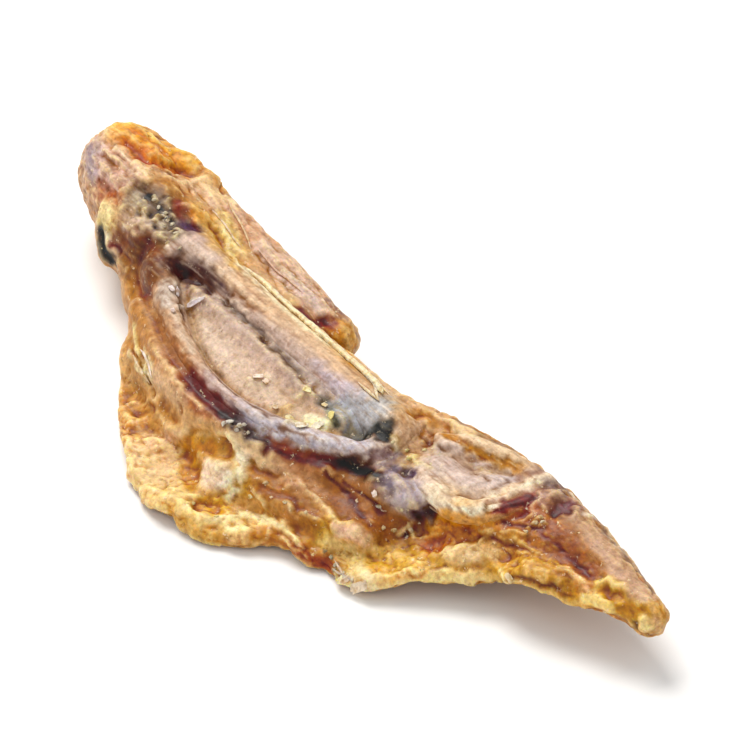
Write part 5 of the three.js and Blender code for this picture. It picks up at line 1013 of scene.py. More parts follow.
    ('digit, lavender white', 0.7, 0.05, (208, 196, 200), 0.8, (52.3, -7.7, 6.6, 54.1, -7.7, 6.2, 55.6, -7.3, 5.8)),
    ('digit, violet', 0.3, -0.15, (84, 64, 92), 0.88, (52.9, -7.1, 6.6, 53.2, -5.7, 6.8)),
    ('digit, cream end', 0.35, 0.12, (232, 218, 206), 0.85, (55.4, -7.6, 5.7, 56.2, -7.4, 5.2)),
    ('digit, dark end', 0.42, -0.35, (70, 34, 40), 0.96, (56.3, -7.4, 4.8, 57.1, -6.4, 5.6)),
    ('amber swell, bright', 0.85, 0.06, (222, 152, 46), 0.92, (58.9, -6.0, 6.3, 60.2, -5.2, 6.7, 61.4, -4.3, 6.4)),
    ('amber swell, low', 0.7, 0, (206, 132, 40), 0.9, (59.4, -6.0, 4.8, 61.1, -5.2, 5.2, 62.2, -4.5, 5.5)),
    ('rust pool, brown', 0.5, -0.12, (186, 104, 28), 0.9, (58.9, -7.6, 3.6, 60.0, -6.6, 4.3, 60.5, -5.9, 4.8)),
    ('brown flesh', 1.3, 0, (170, 106, 50), 0.85, (62.4, -3.8, 6.0, 64.3, -3.1, 6.1, 66.8, -2.5, 6.1)),
    ('brown flesh', 1, 0, (176, 112, 48), 0.8, (64.7, -4.1, 5.1, 66.0, -2.9, 5.9, 69.4, -2.3, 6.1)),
    ('arc', 0.15, 0.16, (226, 164, 96), 0.85, (62.2, -5.3, 4.8, 61.9, -4.6, 5.5, 63.2, -3.6, 5.9, 65.8, -3.0, 5.9)),
    ('arc', 0.15, 0.14, (220, 160, 90), 0.8, (63.2, -4.8, 5.0, 64.7, -4.0, 5.2, 66.4, -3.7, 5.4)),
    # painted highlights on the bright bumps
    ('bright bump', 0.17, 0.3, (255, 228, 190), 0.9, (64.9, -1.5, 6.8)),
    ('bright bump', 0.17, 0.3, (255, 228, 190), 0.9, (64.7, -0.9, 7.0)),
    ('bright bump', 0.17, 0.3, (255, 228, 190), 0.9, (65.1, -0.8, 7.1)),
    ('bright bump', 0.17, 0.3, (255, 228, 190), 0.9, (64.9, -2.1, 6.5)),
    ('bright bump', 0.17, 0.3, (255, 228, 190), 0.9, (65.6, -1.7, 6.6)),
    ('joint, lavender', 0.35, 0.12, (214, 192, 184), 0.85, (62.8, 0.7, 7.7, 63.2, 1.8, 7.7)),
    ('joint, red brown', 0.4, -0.1, (140, 60, 50), 0.85, (61.3, -1.0, 7.4, 61.9, 0.5, 7.6)),
    ('joint, maroon', 0.36, -0.3, (84, 46, 54), 0.93, (64.9, 1.1, 7.6, 65.8, 1.3, 7.6)),
    ('flap, cream bubble', 0.75, 0.2, (230, 200, 152), 0.88, (60.9, -7.4, 4.0, 61.9, -6.7, 3.9, 62.8, -6.4, 3.8)),
    ('flap, cream bubble', 0.6, 0.2, (228, 190, 142), 0.85, (66.8, -3.8, 5.4, 68.9, -3.8, 5.9)),
    ('flap, green gold', 0.8, -0.1, (192, 144, 44), 0.85, (65.3, -6.1, 3.3, 67.1, -6.0, 4.3, 69.6, -4.6, 5.8)),
    ('flap, green gold', 0.8, -0.05, (206, 156, 60), 0.8, (56.6, -10.1, 2.5, 58.8, -9.9, 3.0, 61.1, -9.3, 3.4)),
    ('flap edge, cream', 0.25, 0.25, (250, 228, 168), 0.9, (65.8, -6.0, 4.2, 67.0, -6.0, 4.4, 67.0, -5.5, 3.5)),
    # painted highlight along a flap crest
    ('flap crest', 0.3, 0.22, (248, 208, 124), 0.85, (58.3, -13.2, 2.2, 59.8, -11.4, 2.9, 61.4, -9.6, 2.8, 62.7, -8.1, 3.0, 63.6, -7.3, 2.1)),
    ('flap corner', 0.5, 0.2, (248, 224, 176), 0.9, (55.9, -13.7, 1.7, 57.7, -13.7, 2.0, 57.8, -14.0, 1.0)),
    ('flap, crest, pink', 0.35, 0.2, (238, 190, 160), 0.85, (53.4, -12.3, 3.8, 54.8, -11.9, 3.4)),
    ('curl', 0.14, 0.25, (240, 200, 140), 0.85, (55.6, -8.9, 3.0, 55.5, -8.1, 3.6, 56.4, -8.0, 3.2)),
    ('tip ridge, tan', 0.9, 0, (210, 172, 138), 0.75, (68.5, 1.3, 7.5, 71.9, 1.1, 7.1, 75.5, 0.9, 6.7, 79.4, 0.5, 6.2)),
    ('tip edge, dusk', 0.24, 0, (136, 108, 96), 0.8, (61.1, 3.1, 7.4, 63.4, 3.6, 6.9, 66.0, 3.6, 6.6, 70.2, 2.6, 6.9, 73.2, 2.5, 6.4, 75.7, 2.5, 5.8, 78.5, 2.0, 5.6)),
    ('tip, pale line', 0.16, 0.12, (238, 220, 200), 0.8, (68.5, 3.5, 6.3, 71.0, 3.1, 6.3, 73.4, 2.9, 5.9)),
    ('joint, white knob', 0.3, 0.2, (228, 214, 196), 0.88, (63.4, 3.7, 6.8, 64.7, 3.6, 6.7, 66.2, 3.7, 6.4)),
    ('joint, maroon', 0.4, -0.28, (80, 42, 50), 0.93, (64.9, 0.9, 7.6, 65.8, 1.3, 7.6)),
    ('joint, pale', 0.28, 0.2, (226, 200, 196), 0.85, (62.8, 0.5, 7.6, 64.1, 0.2, 7.4)),
    ('flesh, brown', 1.1, 0, (160, 96, 36), 0.85, (65.5, -1.0, 7.0, 68.7, -0.6, 7.0, 71.7, -0.8, 6.5)),
    ('flesh, gold', 1, 0, (192, 134, 44), 0.85, (66.8, -4.0, 5.3, 69.4, -4.0, 5.9, 70.8, -3.3, 5.9)),
    ('flesh, amber', 0.7, 0, (182, 118, 40), 0.8, (64.5, -3.0, 6.1, 66.2, -2.5, 6.1)),
    ('pink crest', 0.28, 0.3, (240, 186, 140), 0.9, (70.8, -2.3, 6.1, 72.1, -2.3, 5.9, 73.6, -2.3, 5.5)),
    ('gold pool', 0.65, -0.25, (194, 136, 16), 0.95, (75.5, -1.0, 6.1, 77.2, -1.5, 5.9, 78.8, -0.7, 6.1)),
    ('yellow crest', 0.3, 0.25, (248, 214, 118), 0.9, (73.8, -1.3, 6.0, 74.2, -0.6, 6.5, 75.9, -0.2, 6.6)),
    ('yellow crest', 0.4, 0.2, (242, 206, 112), 0.88, (73.8, -2.7, 5.3, 75.3, -2.2, 5.4, 76.5, -2.0, 5.4)),
    ('tip end, cream', 0.4, 0.2, (250, 216, 140), 0.9, (79.2, -0.9, 5.5, 79.8, -0.5, 5.1)),
    ('tip end, gold', 0.45, 0, (212, 150, 56), 0.88, (79.5, 0.9, 6.0, 80.0, 1.1, 5.4)),
    ('tip end, shade', 0.2, -0.25, (140, 104, 40), 0.85, (78.7, -1.3, 5.0, 79.0, -1.1, 4.3)),
    ('crease, dark', 0.36, -0.054, (92, 46, 36), 0.95, (38.0, -15.0, 6.5, 39.8, -14.5, 6.4, 42.0, -13.5, 6.4, 45.0, -11.8, 6.3, 47.2, -10.1, 6.4, 49.6, -8.5, 6.1, 51.1, -8.2, 6.5)),
    ('crease, red brown', 0.5, -0.015, (146, 70, 44), 0.85, (42.4, -13.3, 6.3, 45.3, -11.9, 6.2, 47.6, -10.2, 6.2)),
    ('flap, by the crease, brown', 1.2, 0, (174, 116, 72), 0.8, (45.8, -12.5, 5.0, 48.4, -10.7, 5.2, 51.3, -9.6, 5.1)),
    ('flap, by the crease, rosy', 0.6, 0.05, (216, 168, 128), 0.75, (43.8, -13.6, 4.9, 45.7, -13.0, 4.7, 48.2, -12.1, 4.5)),
    ('edge, brown gold', 0.4, 0, (196, 138, 70), 0.7, (33.3, -21.1, 1.6, 36.2, -22.1, 1.3, 38.8, -22.4, 1.2, 41.0, -22.1, 0.9)),
    ('edge, brown', 0.45, 0, (190, 126, 62), 0.8, (45.2, -20.3, 0.4, 46.6, -19.1, 0.5, 47.4, -17.7, 0.5, 50.1, -16.4, 1.0)),
    ('flap, speckled gold', 1, 0, (208, 152, 84), 0.8, (27.4, -17.1, 1.9, 30.1, -16.5, 2.9, 32.7, -16.5, 4.0)),
    ('flap, pinkish', 1, 0, (238, 196, 146), 0.75, (32.5, -19.4, 2.0, 34.2, -20.1, 1.6, 36.7, -20.5, 1.7)),
    ('crevice, dark red', 0.4, -0.3, (96, 28, 22), 0.97, (61.4, -3.7, 7.1, 61.7, -2.7, 7.3, 61.9, -1.6, 7.5, 62.4, -0.4, 7.6)),
    # the rim's own cream, brightened by painted highlight
    ('rim, bright', 0.5, 0.1, (255, 240, 208), 0.9, (56.2, -5.7, 6.9, 57.7, -5.7, 6.9, 59.2, -5.0, 7.1, 60.2, -4.0, 7.2, 59.8, -2.3, 7.0)),
    ('amber swell, light', 0.6, 0.04, (232, 164, 58), 0.9, (59.0, -5.9, 6.5, 60.4, -5.0, 6.8, 61.5, -4.0, 6.7)),
    ('knuckle, pale', 0.7, 0.05, (206, 166, 130), 0.75, (49.4, -3.8, 7.6, 50.5, -3.3, 6.8, 52.2, -3.5, 7.0)),
    ('joint, brown', 0.8, 0, (164, 118, 94), 0.8, (60.0, 1.5, 7.6, 62.4, 1.5, 7.7, 64.1, 1.8, 7.7)),
    ('joint, dusk', 0.6, 0, (146, 106, 92), 0.75, (61.9, 2.0, 7.7, 64.3, 2.0, 7.7, 66.4, 1.8, 7.6)),
    ('waist, dark', 0.9, -0.15, (118, 68, 40), 0.9, (16.4, -7.5, 8.3, 18.7, -8.4, 8.8, 20.0, -9.3, 8.3, 19.1, -9.7, 6.9)),
    ('waist, dark gold', 0.5, 0, (170, 112, 56), 0.85, (14.9, -8.3, 7.1, 16.1, -8.6, 6.5, 17.0, -9.1, 5.7)),
    ('minor, upper, tan', 0.8, 0, (196, 150, 112), 0.8, (21.4, -9.7, 8.2, 25.5, -11.2, 8.2, 28.9, -12.2, 8.1, 31.4, -12.9, 8.0)),
    ('minor, upper, pale line', 0.25, 0.05, (222, 196, 172), 0.75, (23.4, -10.1, 8.4, 27.0, -11.4, 8.2, 30.1, -12.2, 8.0)),
    ('grey pocket, light', 0.9, 0, (194, 192, 196), 0.85, (43.9, -5.5, 7.8, 45.8, -5.3, 7.9, 46.0, -4.4, 8.4)),
    ('thumb, dusk, inner', 0.5, -0.05, (190, 140, 112), 0.75, (24.2, 0.3, 7.2, 27.4, 0.5, 6.6, 30.0, 0.9, 6.0)),
    ('thumb, warm', 0.6, 0, (216, 164, 112), 0.75, (22.3, -0.8, 7.8, 24.2, -0.3, 7.4, 26.5, -0.1, 7.0)),
    ('mottled, dark', 0.9, -0.1, (120, 92, 76), 0.7, (12.1, -4.8, 10.3, 13.6, -4.9, 10.2, 15.3, -4.8, 10.0)),
    ('black fleck', 0.16, -0.25, (38, 32, 32), 0.95, (12.7, -4.8, 10.3)),
    ('black fleck', 0.16, -0.25, (38, 32, 32), 0.95, (13.2, -4.6, 10.3)),
    ('black fleck', 0.16, -0.25, (38, 32, 32), 0.95, (14.2, -4.7, 10.2)),
    ('black fleck', 0.16, -0.25, (38, 32, 32), 0.95, (13.4, -5.4, 10.0)),
    ('black fleck', 0.16, -0.25, (38, 32, 32), 0.95, (14.4, -5.3, 10.0)),
    ('black fleck', 0.16, -0.25, (38, 32, 32), 0.95, (15.5, -4.8, 10.0)),
    ('black fleck', 0.16, -0.25, (38, 32, 32), 0.95, (14.2, -4.2, 10.3)),
    ('black fleck', 0.16, -0.25, (38, 32, 32), 0.95, (16.4, -4.6, 9.9)),
    ('black fleck', 0.16, -0.25, (38, 32, 32), 0.95, (15.7, -6.1, 9.5)),
    ('black fleck', 0.16, -0.25, (38, 32, 32), 0.95, (12.7, -5.2, 10.1)),
    ('black fleck', 0.16, -0.25, (38, 32, 32), 0.95, (13.2, -5.9, 9.7)),
    ('black fleck', 0.16, -0.25, (38, 32, 32), 0.95, (15.3, -3.8, 10.1)),
    ('cream fleck', 0.15, 0.28, (248, 236, 212), 0.92, (13.8, -5.2, 10.1)),
    ('cream fleck', 0.15, 0.28, (248, 236, 212), 0.92, (14.9, -5.0, 10.0)),
    ('cream fleck', 0.15, 0.28, (248, 236, 212), 0.92, (16.1, -5.2, 9.8)),
    ('cream fleck', 0.15, 0.28, (248, 236, 212), 0.92, (13.2, -4.2, 10.4)),
    ('cream fleck', 0.15, 0.28, (248, 236, 212), 0.92, (16.6, -5.7, 9.6)),
    ('cream fleck', 0.15, 0.28, (248, 236, 212), 0.92, (14.2, -5.8, 9.8)),
    ('cream fleck', 0.15, 0.28, (248, 236, 212), 0.92, (17.2, -4.8, 9.6)),
    ('cream fleck', 0.15, 0.28, (248, 236, 212), 0.92, (15.5, -5.4, 9.9)),
    ('sinew side', 0.7, 0, (220, 186, 150), 0.75, (33.3, -1.4, 7.3, 36.7, -1.2, 7.3, 40.1, -1.0, 7.3, 43.5, -1.3, 7.4)),
    ('sinew side', 0.5, 0, (216, 178, 140), 0.7, (25.9, -3.1, 8.9, 28.9, -2.5, 8.4, 31.4, -1.5, 7.3)),
    ('thumb body', 0.8, 0, (222, 186, 162), 0.7, (22.3, 1.1, 7.6, 25.7, 1.3, 6.9, 29.1, 1.8, 6.1)),
    ('thumb end, amber', 0.6, 0, (208, 136, 40), 0.85, (33.1, 1.6, 4.8, 37.1, -0.5, 6.8)),
    ('near black under', 0.42, 0, (52, 40, 36), 0.9, (47.9, -9.5, 6.3, 49.8, -8.6, 6.1, 51.1, -8.5, 6.4)),
    ('open ground', 0.95, 0.34, (190, 164, 150), 0.9, (23.6, -6.7, 7.9, 27.4, -6.3, 7.9, 32.3, -6.1, 7.9, 37.1, -6.3, 7.8, 39.9, -6.5, 7.7)),
    # painted shade along the crevice line
    ('line in it', 0.2, -0.08, (112, 92, 84), 0.8, (26.1, -6.1, 8.0, 29.1, -6.1, 7.9, 31.8, -5.9, 7.9)),
    ('line in it', 0.18, -0.07, (104, 84, 70), 0.75, (32.0, -6.5, 7.9, 35.2, -6.3, 7.8, 37.6, -6.5, 7.7)),
    # painted shade in the hole at the root
    ('hole', 0.65, -0.1, (78, 54, 54), 0.8, (20.1, -7.2, 8.6, 21.4, -6.2, 8.1, 23.3, -5.9, 8.3)),
    ('grey by the hole', 0.5, 0.1, (180, 170, 166), 0.7, (21.6, -9.3, 8.5, 23.6, -10.3, 8.4)),
    ('waist', 0.85, -0.1, (128, 86, 52), 0.75, (15.7, -8.2, 7.3, 18.7, -9.0, 8.3, 20.0, -8.7, 8.7)),
    ('waist strand', 0.22, 0.15, (240, 220, 156), 0.8, (21.6, -12.5, 5.5, 23.4, -13.3, 5.4, 24.8, -14.0, 5.1)),
    ('waist strand', 0.2, 0.15, (244, 226, 170), 0.8, (26.0, -14.3, 5.6, 26.8, -14.9, 4.5)),
    ('rosy cream', 0.8, 0.1, (230, 194, 154), 0.75, (28.7, -15.1, 5.6, 30.8, -15.4, 6.1, 32.7, -15.7, 5.9)),
    ('amber ring', 0.5, -0.3, (196, 130, 30), 0.92, (36.1, -16.8, 3.8, 35.9, -16.1, 4.7, 37.6, -15.5, 5.7, 39.2, -15.2, 5.4, 39.9, -15.4, 4.8)),
    ('amber ring', 0.42, -0.25, (204, 140, 40), 0.9, (36.1, -16.8, 3.8, 35.9, -17.2, 2.3, 37.6, -18.1, 2.2, 39.3, -18.7, 2.4)),
    ('amber under the ring', 0.55, -0.04, (206, 142, 22), 0.92, (41.4, -19.7, 2.2, 41.9, -19.2, 2.2, 42.3, -18.6, 2.1)),
    ('pale blob', 0.72, 0.1, (244, 214, 188), 0.85, (38.8, -17.1, 3.3, 40.1, -16.9, 3.5, 40.3, -17.6, 2.7, 39.5, -17.7, 2.6)),
    # painted highlight on the rim
    ('bright rim', 0.34, 0.3, (255, 242, 208), 0.9, (39.4, -14.9, 6.0, 40.7, -14.9, 5.1, 41.8, -15.3, 4.5, 42.4, -16.4, 3.7, 42.2, -17.3, 2.6)),
    ('hump by the rim', 0.7, 0.22, (248, 218, 166), 0.75, (40.5, -14.3, 6.3, 41.8, -14.0, 5.9, 42.6, -13.8, 5.6)),
    ('gold sheen', 0.9, 0.12, (246, 214, 150), 0.6, (33.1, -20.3, 1.8, 35.8, -20.5, 1.5, 39.5, -21.1, 2.2)),
    ('gold edge', 0.6, 0, (228, 172, 74), 0.6, (38.4, -22.3, 1.7, 41.7, -21.9, 1.5, 44.6, -20.7, 1.0)),
    # painted highlight along the crest
    ('pale crest', 0.3, 0.22, (252, 230, 176), 0.75, (43.5, -19.7, 1.6, 44.3, -17.3, 1.9, 46.7, -16.1, 2.1, 50.0, -15.8, 2.2)),
    ('amber between', 0.5, -0.2, (166, 104, 34), 0.7, (43.8, -15.9, 3.8, 46.5, -14.6, 4.2, 49.7, -14.0, 3.8)),
    ('pocks', 0.3, -0.12, (156, 98, 44), 0.7, (25.9, -16.4, 2.0, 26.2, -16.6, 1.9)),
    ('pocks', 0.32, -0.12, (150, 92, 40), 0.7, (28.0, -16.9, 2.0, 28.4, -16.9, 2.1)),
    ('pocks', 0.26, -0.12, (160, 100, 46), 0.7, (29.1, -16.1, 3.1, 29.5, -16.2, 3.1)),
    ('pocks', 0.34, -0.12, (158, 100, 50), 0.7, (30.8, -16.0, 4.3, 31.4, -16.1, 4.4)),
    ('pocks', 0.3, -0.12, (164, 106, 52), 0.7, (32.5, -16.4, 4.1, 32.9, -16.3, 4.2)),
    ('pocks', 0.3, -0.12, (166, 108, 46), 0.7, (30.3, -17.6, 2.4, 30.8, -17.5, 2.4)),
    ('pocks', 0.28, -0.12, (158, 100, 40), 0.7, (29.3, -18.6, 2.2, 29.7, -18.8, 2.2)),
    ('pocks', 0.26, -0.12, (166, 108, 60), 0.6, (33.1, -15.8, 5.7, 33.5, -15.9, 5.3)),
    ('between pocks', 0.22, 0.12, (238, 196, 136), 0.7, (26.7, -16.4, 2.0, 28.0, -15.8, 2.9, 30.0, -15.7, 4.5)),
    ('between pocks', 0.22, 0.12, (232, 186, 120), 0.7, (27.2, -17.5, 1.8, 28.6, -18.0, 2.1, 29.3, -17.1, 2.3)),
    ('between pocks', 0.24, 0.12, (236, 192, 132), 0.7, (30.4, -16.4, 3.3, 31.6, -16.6, 3.3, 33.5, -16.6, 3.9)),
    ('between pocks', 0.3, 0.14, (244, 206, 146), 0.7, (31.2, -19.0, 2.2, 32.0, -17.8, 2.3, 33.7, -17.5, 2.2)),
    ('bone, leading half', 0.62, 0.04, (224, 188, 152), 0.8, (23.8, -4.5, 9.2, 27.4, -4.2, 9.1, 32.0, -4.0, 9.0, 36.1, -3.8, 8.8, 40.1, -3.5, 8.7)),
    ('bone, leading edge shade', 0.2, -0.04, (168, 120, 78), 0.45, (25.0, -3.5, 9.1, 28.9, -3.1, 8.8, 33.1, -3.0, 8.7, 36.9, -2.5, 8.4)),
    # the rim's own cream, brightened by painted highlight
    ('rim, bright', 0.42, 0.34, (252, 232, 198), 0.92, (55.6, -6.3, 6.5, 57.7, -6.2, 6.6, 59.6, -5.5, 6.7, 60.8, -4.3, 7.1, 61.1, -2.3, 7.3, 61.1, 0.3, 7.3, 61.5, 2.6, 7.8)),
    ('inside the rim', 0.28, -0.12, (172, 142, 122), 0.6, (57.9, -5.2, 7.0, 59.4, -3.1, 6.8, 59.6, -1.6, 7.1)),
    ('plate', 0.75, 0.06, (214, 192, 184), 0.7, (53.1, -3.3, 7.0, 55.8, -3.1, 7.1, 58.1, -2.3, 7.1)),
    ('plate line', 0.18, -0.12, (150, 118, 100), 0.6, (52.2, -2.1, 7.2, 55.7, -1.7, 7.0, 58.5, -1.4, 7.1)),
    ('plate fold', 0.35, 0.14, (216, 172, 130), 0.7, (50.1, -3.8, 6.9, 48.9, -2.1, 7.3, 50.3, -0.8, 7.2)),
    ('gold on top', 0.3, -0.08, (200, 134, 52), 0.7, (47.7, -1.0, 7.8, 52.6, -0.8, 7.7, 56.6, 0.4, 7.3, 59.2, 1.3, 7.6)),
    ('cream on top', 0.32, 0.15, (234, 198, 152), 0.7, (50.9, -0.0, 7.6, 54.9, 0.9, 7.8, 59.4, 2.0, 7.8)),
    ('red crevice', 0.5, -0.36, (104, 22, 16), 0.95, (61.3, -3.6, 7.2, 61.9, -2.0, 7.4, 62.7, -0.6, 7.5)),
    ('gold, lit through', 0.75, 0.1, (228, 150, 54), 0.82, (57.5, -6.5, 4.6, 59.8, -5.6, 6.1, 61.5, -4.2, 6.3)),
    ('dark spot', 0.5, -0.3, (60, 36, 48), 0.9, (56.2, -7.5, 5.0, 56.7, -6.6, 5.1)),
    ('knob, grey', 0.65, 0.15, (180, 162, 172), 0.75, (52.9, -7.1, 6.6, 55.0, -6.9, 6.2, 56.2, -6.9, 5.6)),
    ('knob, dark', 0.35, -0.15, (84, 70, 80), 0.7, (51.8, -8.2, 6.5, 53.0, -8.2, 6.3)),
    ('dark reds', 0.4, -0.2, (110, 60, 70), 0.8, (65.1, 0.9, 7.6, 65.3, 2.6, 7.4)),
    ('plate end, grey', 0.45, 0, (140, 116, 112), 0.8, (62.1, 2.2, 7.7, 63.6, 2.4, 7.6)),
    ('bright dots', 0.2, 0.1, (236, 226, 216), 0.8, (67.0, 2.3, 7.4, 67.4, 3.1, 7.0)),
    ('tip, outer face', 0.75, 0, (208, 168, 138), 0.75, (69.4, 1.3, 7.4, 73.4, 0.9, 7.0, 76.8, 0.7, 6.6)),
    ('streak', 0.25, 0.16, (216, 142, 62), 0.65, (58.9, -7.6, 3.6, 61.0, -5.1, 5.3, 62.6, -3.4, 6.2)),
    ('streak', 0.28, 0.2, (210, 154, 78), 0.65, (62.1, -4.4, 5.6, 65.5, -3.3, 5.7, 69.4, -2.9, 6.0, 72.9, -2.5, 5.6)),
    ('streak, dark', 0.2, -0.15, (122, 62, 18), 0.75, (62.4, -3.2, 6.4, 65.6, -1.6, 6.7, 69.8, -1.3, 6.4, 73.2, -1.3, 6.1)),
    ('streak, dark', 0.16, -0.12, (130, 72, 22), 0.7, (61.9, -5.1, 5.1, 64.3, -3.8, 5.5, 68.1, -2.7, 6.0, 71.7, -2.7, 5.9)),
    ('cream lump', 0.5, 0.3, (240, 204, 144), 0.78, (60.9, -7.4, 4.0, 62.6, -5.4, 4.5, 64.3, -5.0, 4.3)),
    ('streak', 0.4, 0.15, (226, 172, 82), 0.7, (65.3, -5.2, 4.4, 67.7, -4.2, 5.6, 69.8, -4.0, 5.9)),
    ('streak, dark', 0.28, -0.2, (142, 86, 22), 0.75, (67.3, -5.9, 4.6, 69.9, -4.9, 5.4, 72.1, -3.7, 5.2)),
    ('edge, cream', 0.3, 0.15, (252, 222, 152), 0.75, (56.8, -14.3, 0.5, 59.3, -12.6, 1.7, 61.4, -9.8, 2.5, 63.8, -7.3, 2.7, 68.1, -5.2, 4.0)),
    ('brown field', 0.85, -0.05, (152, 94, 46), 0.6, (48.4, -11.3, 4.8, 51.8, -11.4, 4.3, 54.7, -10.5, 3.7)),
    ('brown field, line', 0.17, -0.15, (88, 42, 20), 0.72, (47.5, -11.1, 5.6, 50.1, -10.4, 4.7, 53.9, -11.0, 4.1)),
    ('brown field, line', 0.15, -0.12, (100, 50, 24), 0.65, (49.0, -10.1, 5.2, 51.8, -9.6, 4.9, 53.8, -9.4, 4.3)),
    ('brown field, pale', 0.26, 0.2, (238, 194, 112), 0.75, (51.2, -13.0, 4.1, 52.6, -12.3, 4.0)),
    ('cream lumps', 0.55, 0.2, (246, 218, 152), 0.72, (51.6, -14.2, 2.5, 53.4, -13.2, 2.0, 55.4, -13.1, 1.8)),
    ('cream lumps', 0.45, 0.2, (242, 198, 112), 0.66, (55.4, -11.4, 2.5, 57.5, -10.2, 2.6, 59.4, -9.9, 3.2)),
    ('cream corner', 0.5, 0.2, (252, 234, 184), 0.82, (55.6, -15.0, 1.2, 56.8, -14.3, 0.5, 58.2, -13.8, 1.4)),
    # painted shade at the rim of the cut
    ('dark at the rim of the cut', 0.38, -0.05, (54, 48, 46), 0.85, (10.2, -7.8, 5.9, 10.8, -8.2, 5.6, 11.5, -8.5, 5.4, 12.7, -8.6, 5.0)),
    ('cream lump by the cut', 0.55, 0.2, (240, 216, 152), 0.8, (9.6, -6.8, 7.7, 11.3, -7.3, 7.7)),
    ('pulled fibre', 0.2, 0.12, (230, 198, 172), 0.72, (4.5, -3.6, 10.1, 7.7, -4.0, 10.4, 9.8, -4.0, 10.5)),
    ('pulled fibre', 0.2, 0.12, (218, 184, 170), 0.72, (5.6, -4.7, 9.4, 8.3, -5.1, 9.7, 10.4, -5.1, 10.0)),
    ('pulled fibre, shade', 0.15, -0.12, (140, 86, 60), 0.65, (5.5, -3.9, 10.1, 8.4, -4.5, 10.2)),
    ('pulled fibre, shade', 0.18, -0.12, (150, 84, 60), 0.65, (6.8, -5.5, 8.8, 9.4, -5.8, 9.2)),
    ('cut, grey side', 0.5, 0, (176, 160, 168), 0.6, (4.3, -4.4, 9.3, 6.0, -5.5, 8.4)),
    ('knuckle ground', 0.85, 0, (116, 98, 80), 0.5, (12.5, -4.9, 10.2, 14.7, -4.6, 10.2, 17.0, -5.2, 9.6)),
    ('knuckle, dark', 0.26, -0.15, (40, 28, 22), 0.9, (12.7, -4.4, 10.4, 13.2, -4.4, 10.4)),
    ('knuckle, dark', 0.26, -0.15, (44, 30, 24), 0.9, (14.7, -4.6, 10.2, 14.9, -4.6, 10.1)),
    ('knuckle, dark', 0.22, -0.15, (40, 28, 24), 0.9, (15.7, -4.7, 10.0, 16.0, -4.6, 10.0)),
    ('knuckle, dark', 0.22, -0.15, (60, 44, 34), 0.9, (14.4, -5.5, 9.9, 14.7, -5.6, 9.8)),
    ('knuckle, dark', 0.2, -0.12, (70, 52, 42), 0.85, (16.8, -5.0, 9.7, 17.3, -5.1, 9.6)),
    ('knuckle, pale', 0.32, 0.1, (208, 192, 162), 0.65, (12.3, -5.5, 9.9, 13.4, -5.8, 9.8, 14.4, -5.9, 9.7)),
    ('knuckle, pale', 0.16, 0.12, (226, 214, 190), 0.8, (13.4, -4.2, 10.4, 14.0, -4.4, 10.3)),
    ('knuckle, pale', 0.16, 0.12, (226, 214, 190), 0.8, (15.1, -4.6, 10.1, 15.3, -4.6, 10.1)),
    ('knuckle, pale', 0.18, 0.12, (220, 200, 170), 0.8, (15.3, -5.4, 9.9, 16.1, -5.4, 9.8)),
    ('knuckle, plum', 0.32, 0, (96, 70, 90), 0.65, (16.8, -3.8, 9.8, 18.1, -3.4, 9.4)),
    ('knuckle, red', 0.4, -0.08, (150, 70, 48), 0.75, (15.1, -2.7, 10.0, 15.3, -2.7, 10.0)),
    ('brown waist', 0.9, -0.1, (134, 88, 56), 0.75, (13.9, -8.1, 7.1, 16.1, -8.3, 7.1, 18.9, -9.3, 8.0)),
    ('sinew, cream', 0.32, 0.12, (246, 224, 152), 0.75, (19.0, -1.0, 8.3, 20.1, -1.2, 8.1, 21.5, -1.6, 7.9)),
    ('sinew, gold', 0.22, -0.06, (206, 152, 60), 0.65, (17.9, -1.3, 8.7, 19.5, -1.6, 8.2, 21.4, -2.8, 8.9)),
    ('thumb, pink', 0.75, 0, (216, 180, 154), 0.62, (17.2, 2.8, 7.6, 23.1, 1.8, 7.4, 27.6, 1.5, 6.5)),
    ('thumb, pale', 0.36, 0.1, (224, 202, 196), 0.72, (25.3, 0.9, 6.9, 27.2, 0.9, 6.6, 28.6, 0.9, 6.2)),
    ('thumb, crease', 0.22, -0.1, (178, 112, 62), 0.62, (17.0, 2.3, 8.1, 18.9, 2.2, 8.0, 20.4, 2.2, 7.8)),
    # painted shade over the hole at the root
    ('soft hole', 0.75, 0.12, (92, 68, 64), 0.62, (20.2, -7.1, 8.5, 21.4, -6.2, 8.1, 23.6, -5.9, 8.3)),
    ('flap, tan over the ring', 0.5, 0.15, (216, 170, 118), 0.8, (34.2, -16.0, 5.2, 36.5, -15.6, 6.0, 38.4, -14.8, 6.5)),
    ('lower edge out', 0.45, 0.36, (232, 190, 110), 0.7, (63.8, -6.9, 2.1, 66.9, -5.5, 3.5, 70.2, -4.6, 4.3)),
    # painted highlight on the rim
    ('rim, brightest', 0.22, 0.1, (255, 246, 220), 0.95, (56.6, -6.4, 6.4, 59.0, -5.8, 6.7, 60.7, -4.6, 6.9, 61.3, -2.7, 7.4)),
    ('thumb, pale', 0.5, 0.05, (228, 196, 178), 0.7, (21.9, 1.1, 7.6, 25.3, 0.9, 6.9, 29.1, 0.9, 6.2)),
    ('thumb, pale', 0.35, 0.08, (232, 206, 188), 0.75, (27.6, 0.7, 6.5, 29.1, 1.1, 6.1, 30.1, 1.5, 5.9)),
    ('thumb end, gold', 0.45, 0.05, (224, 166, 80), 0.75, (31.9, 2.5, 5.3, 33.3, 2.4, 4.5)),
    # painted shade along the outline at the cut
    ('outline, near black', 0.45, 0, (56, 50, 48), 0.88, (10.0, -7.8, 5.9, 10.8, -8.3, 5.5, 11.5, -8.6, 5.2, 12.5, -8.6, 4.8)),
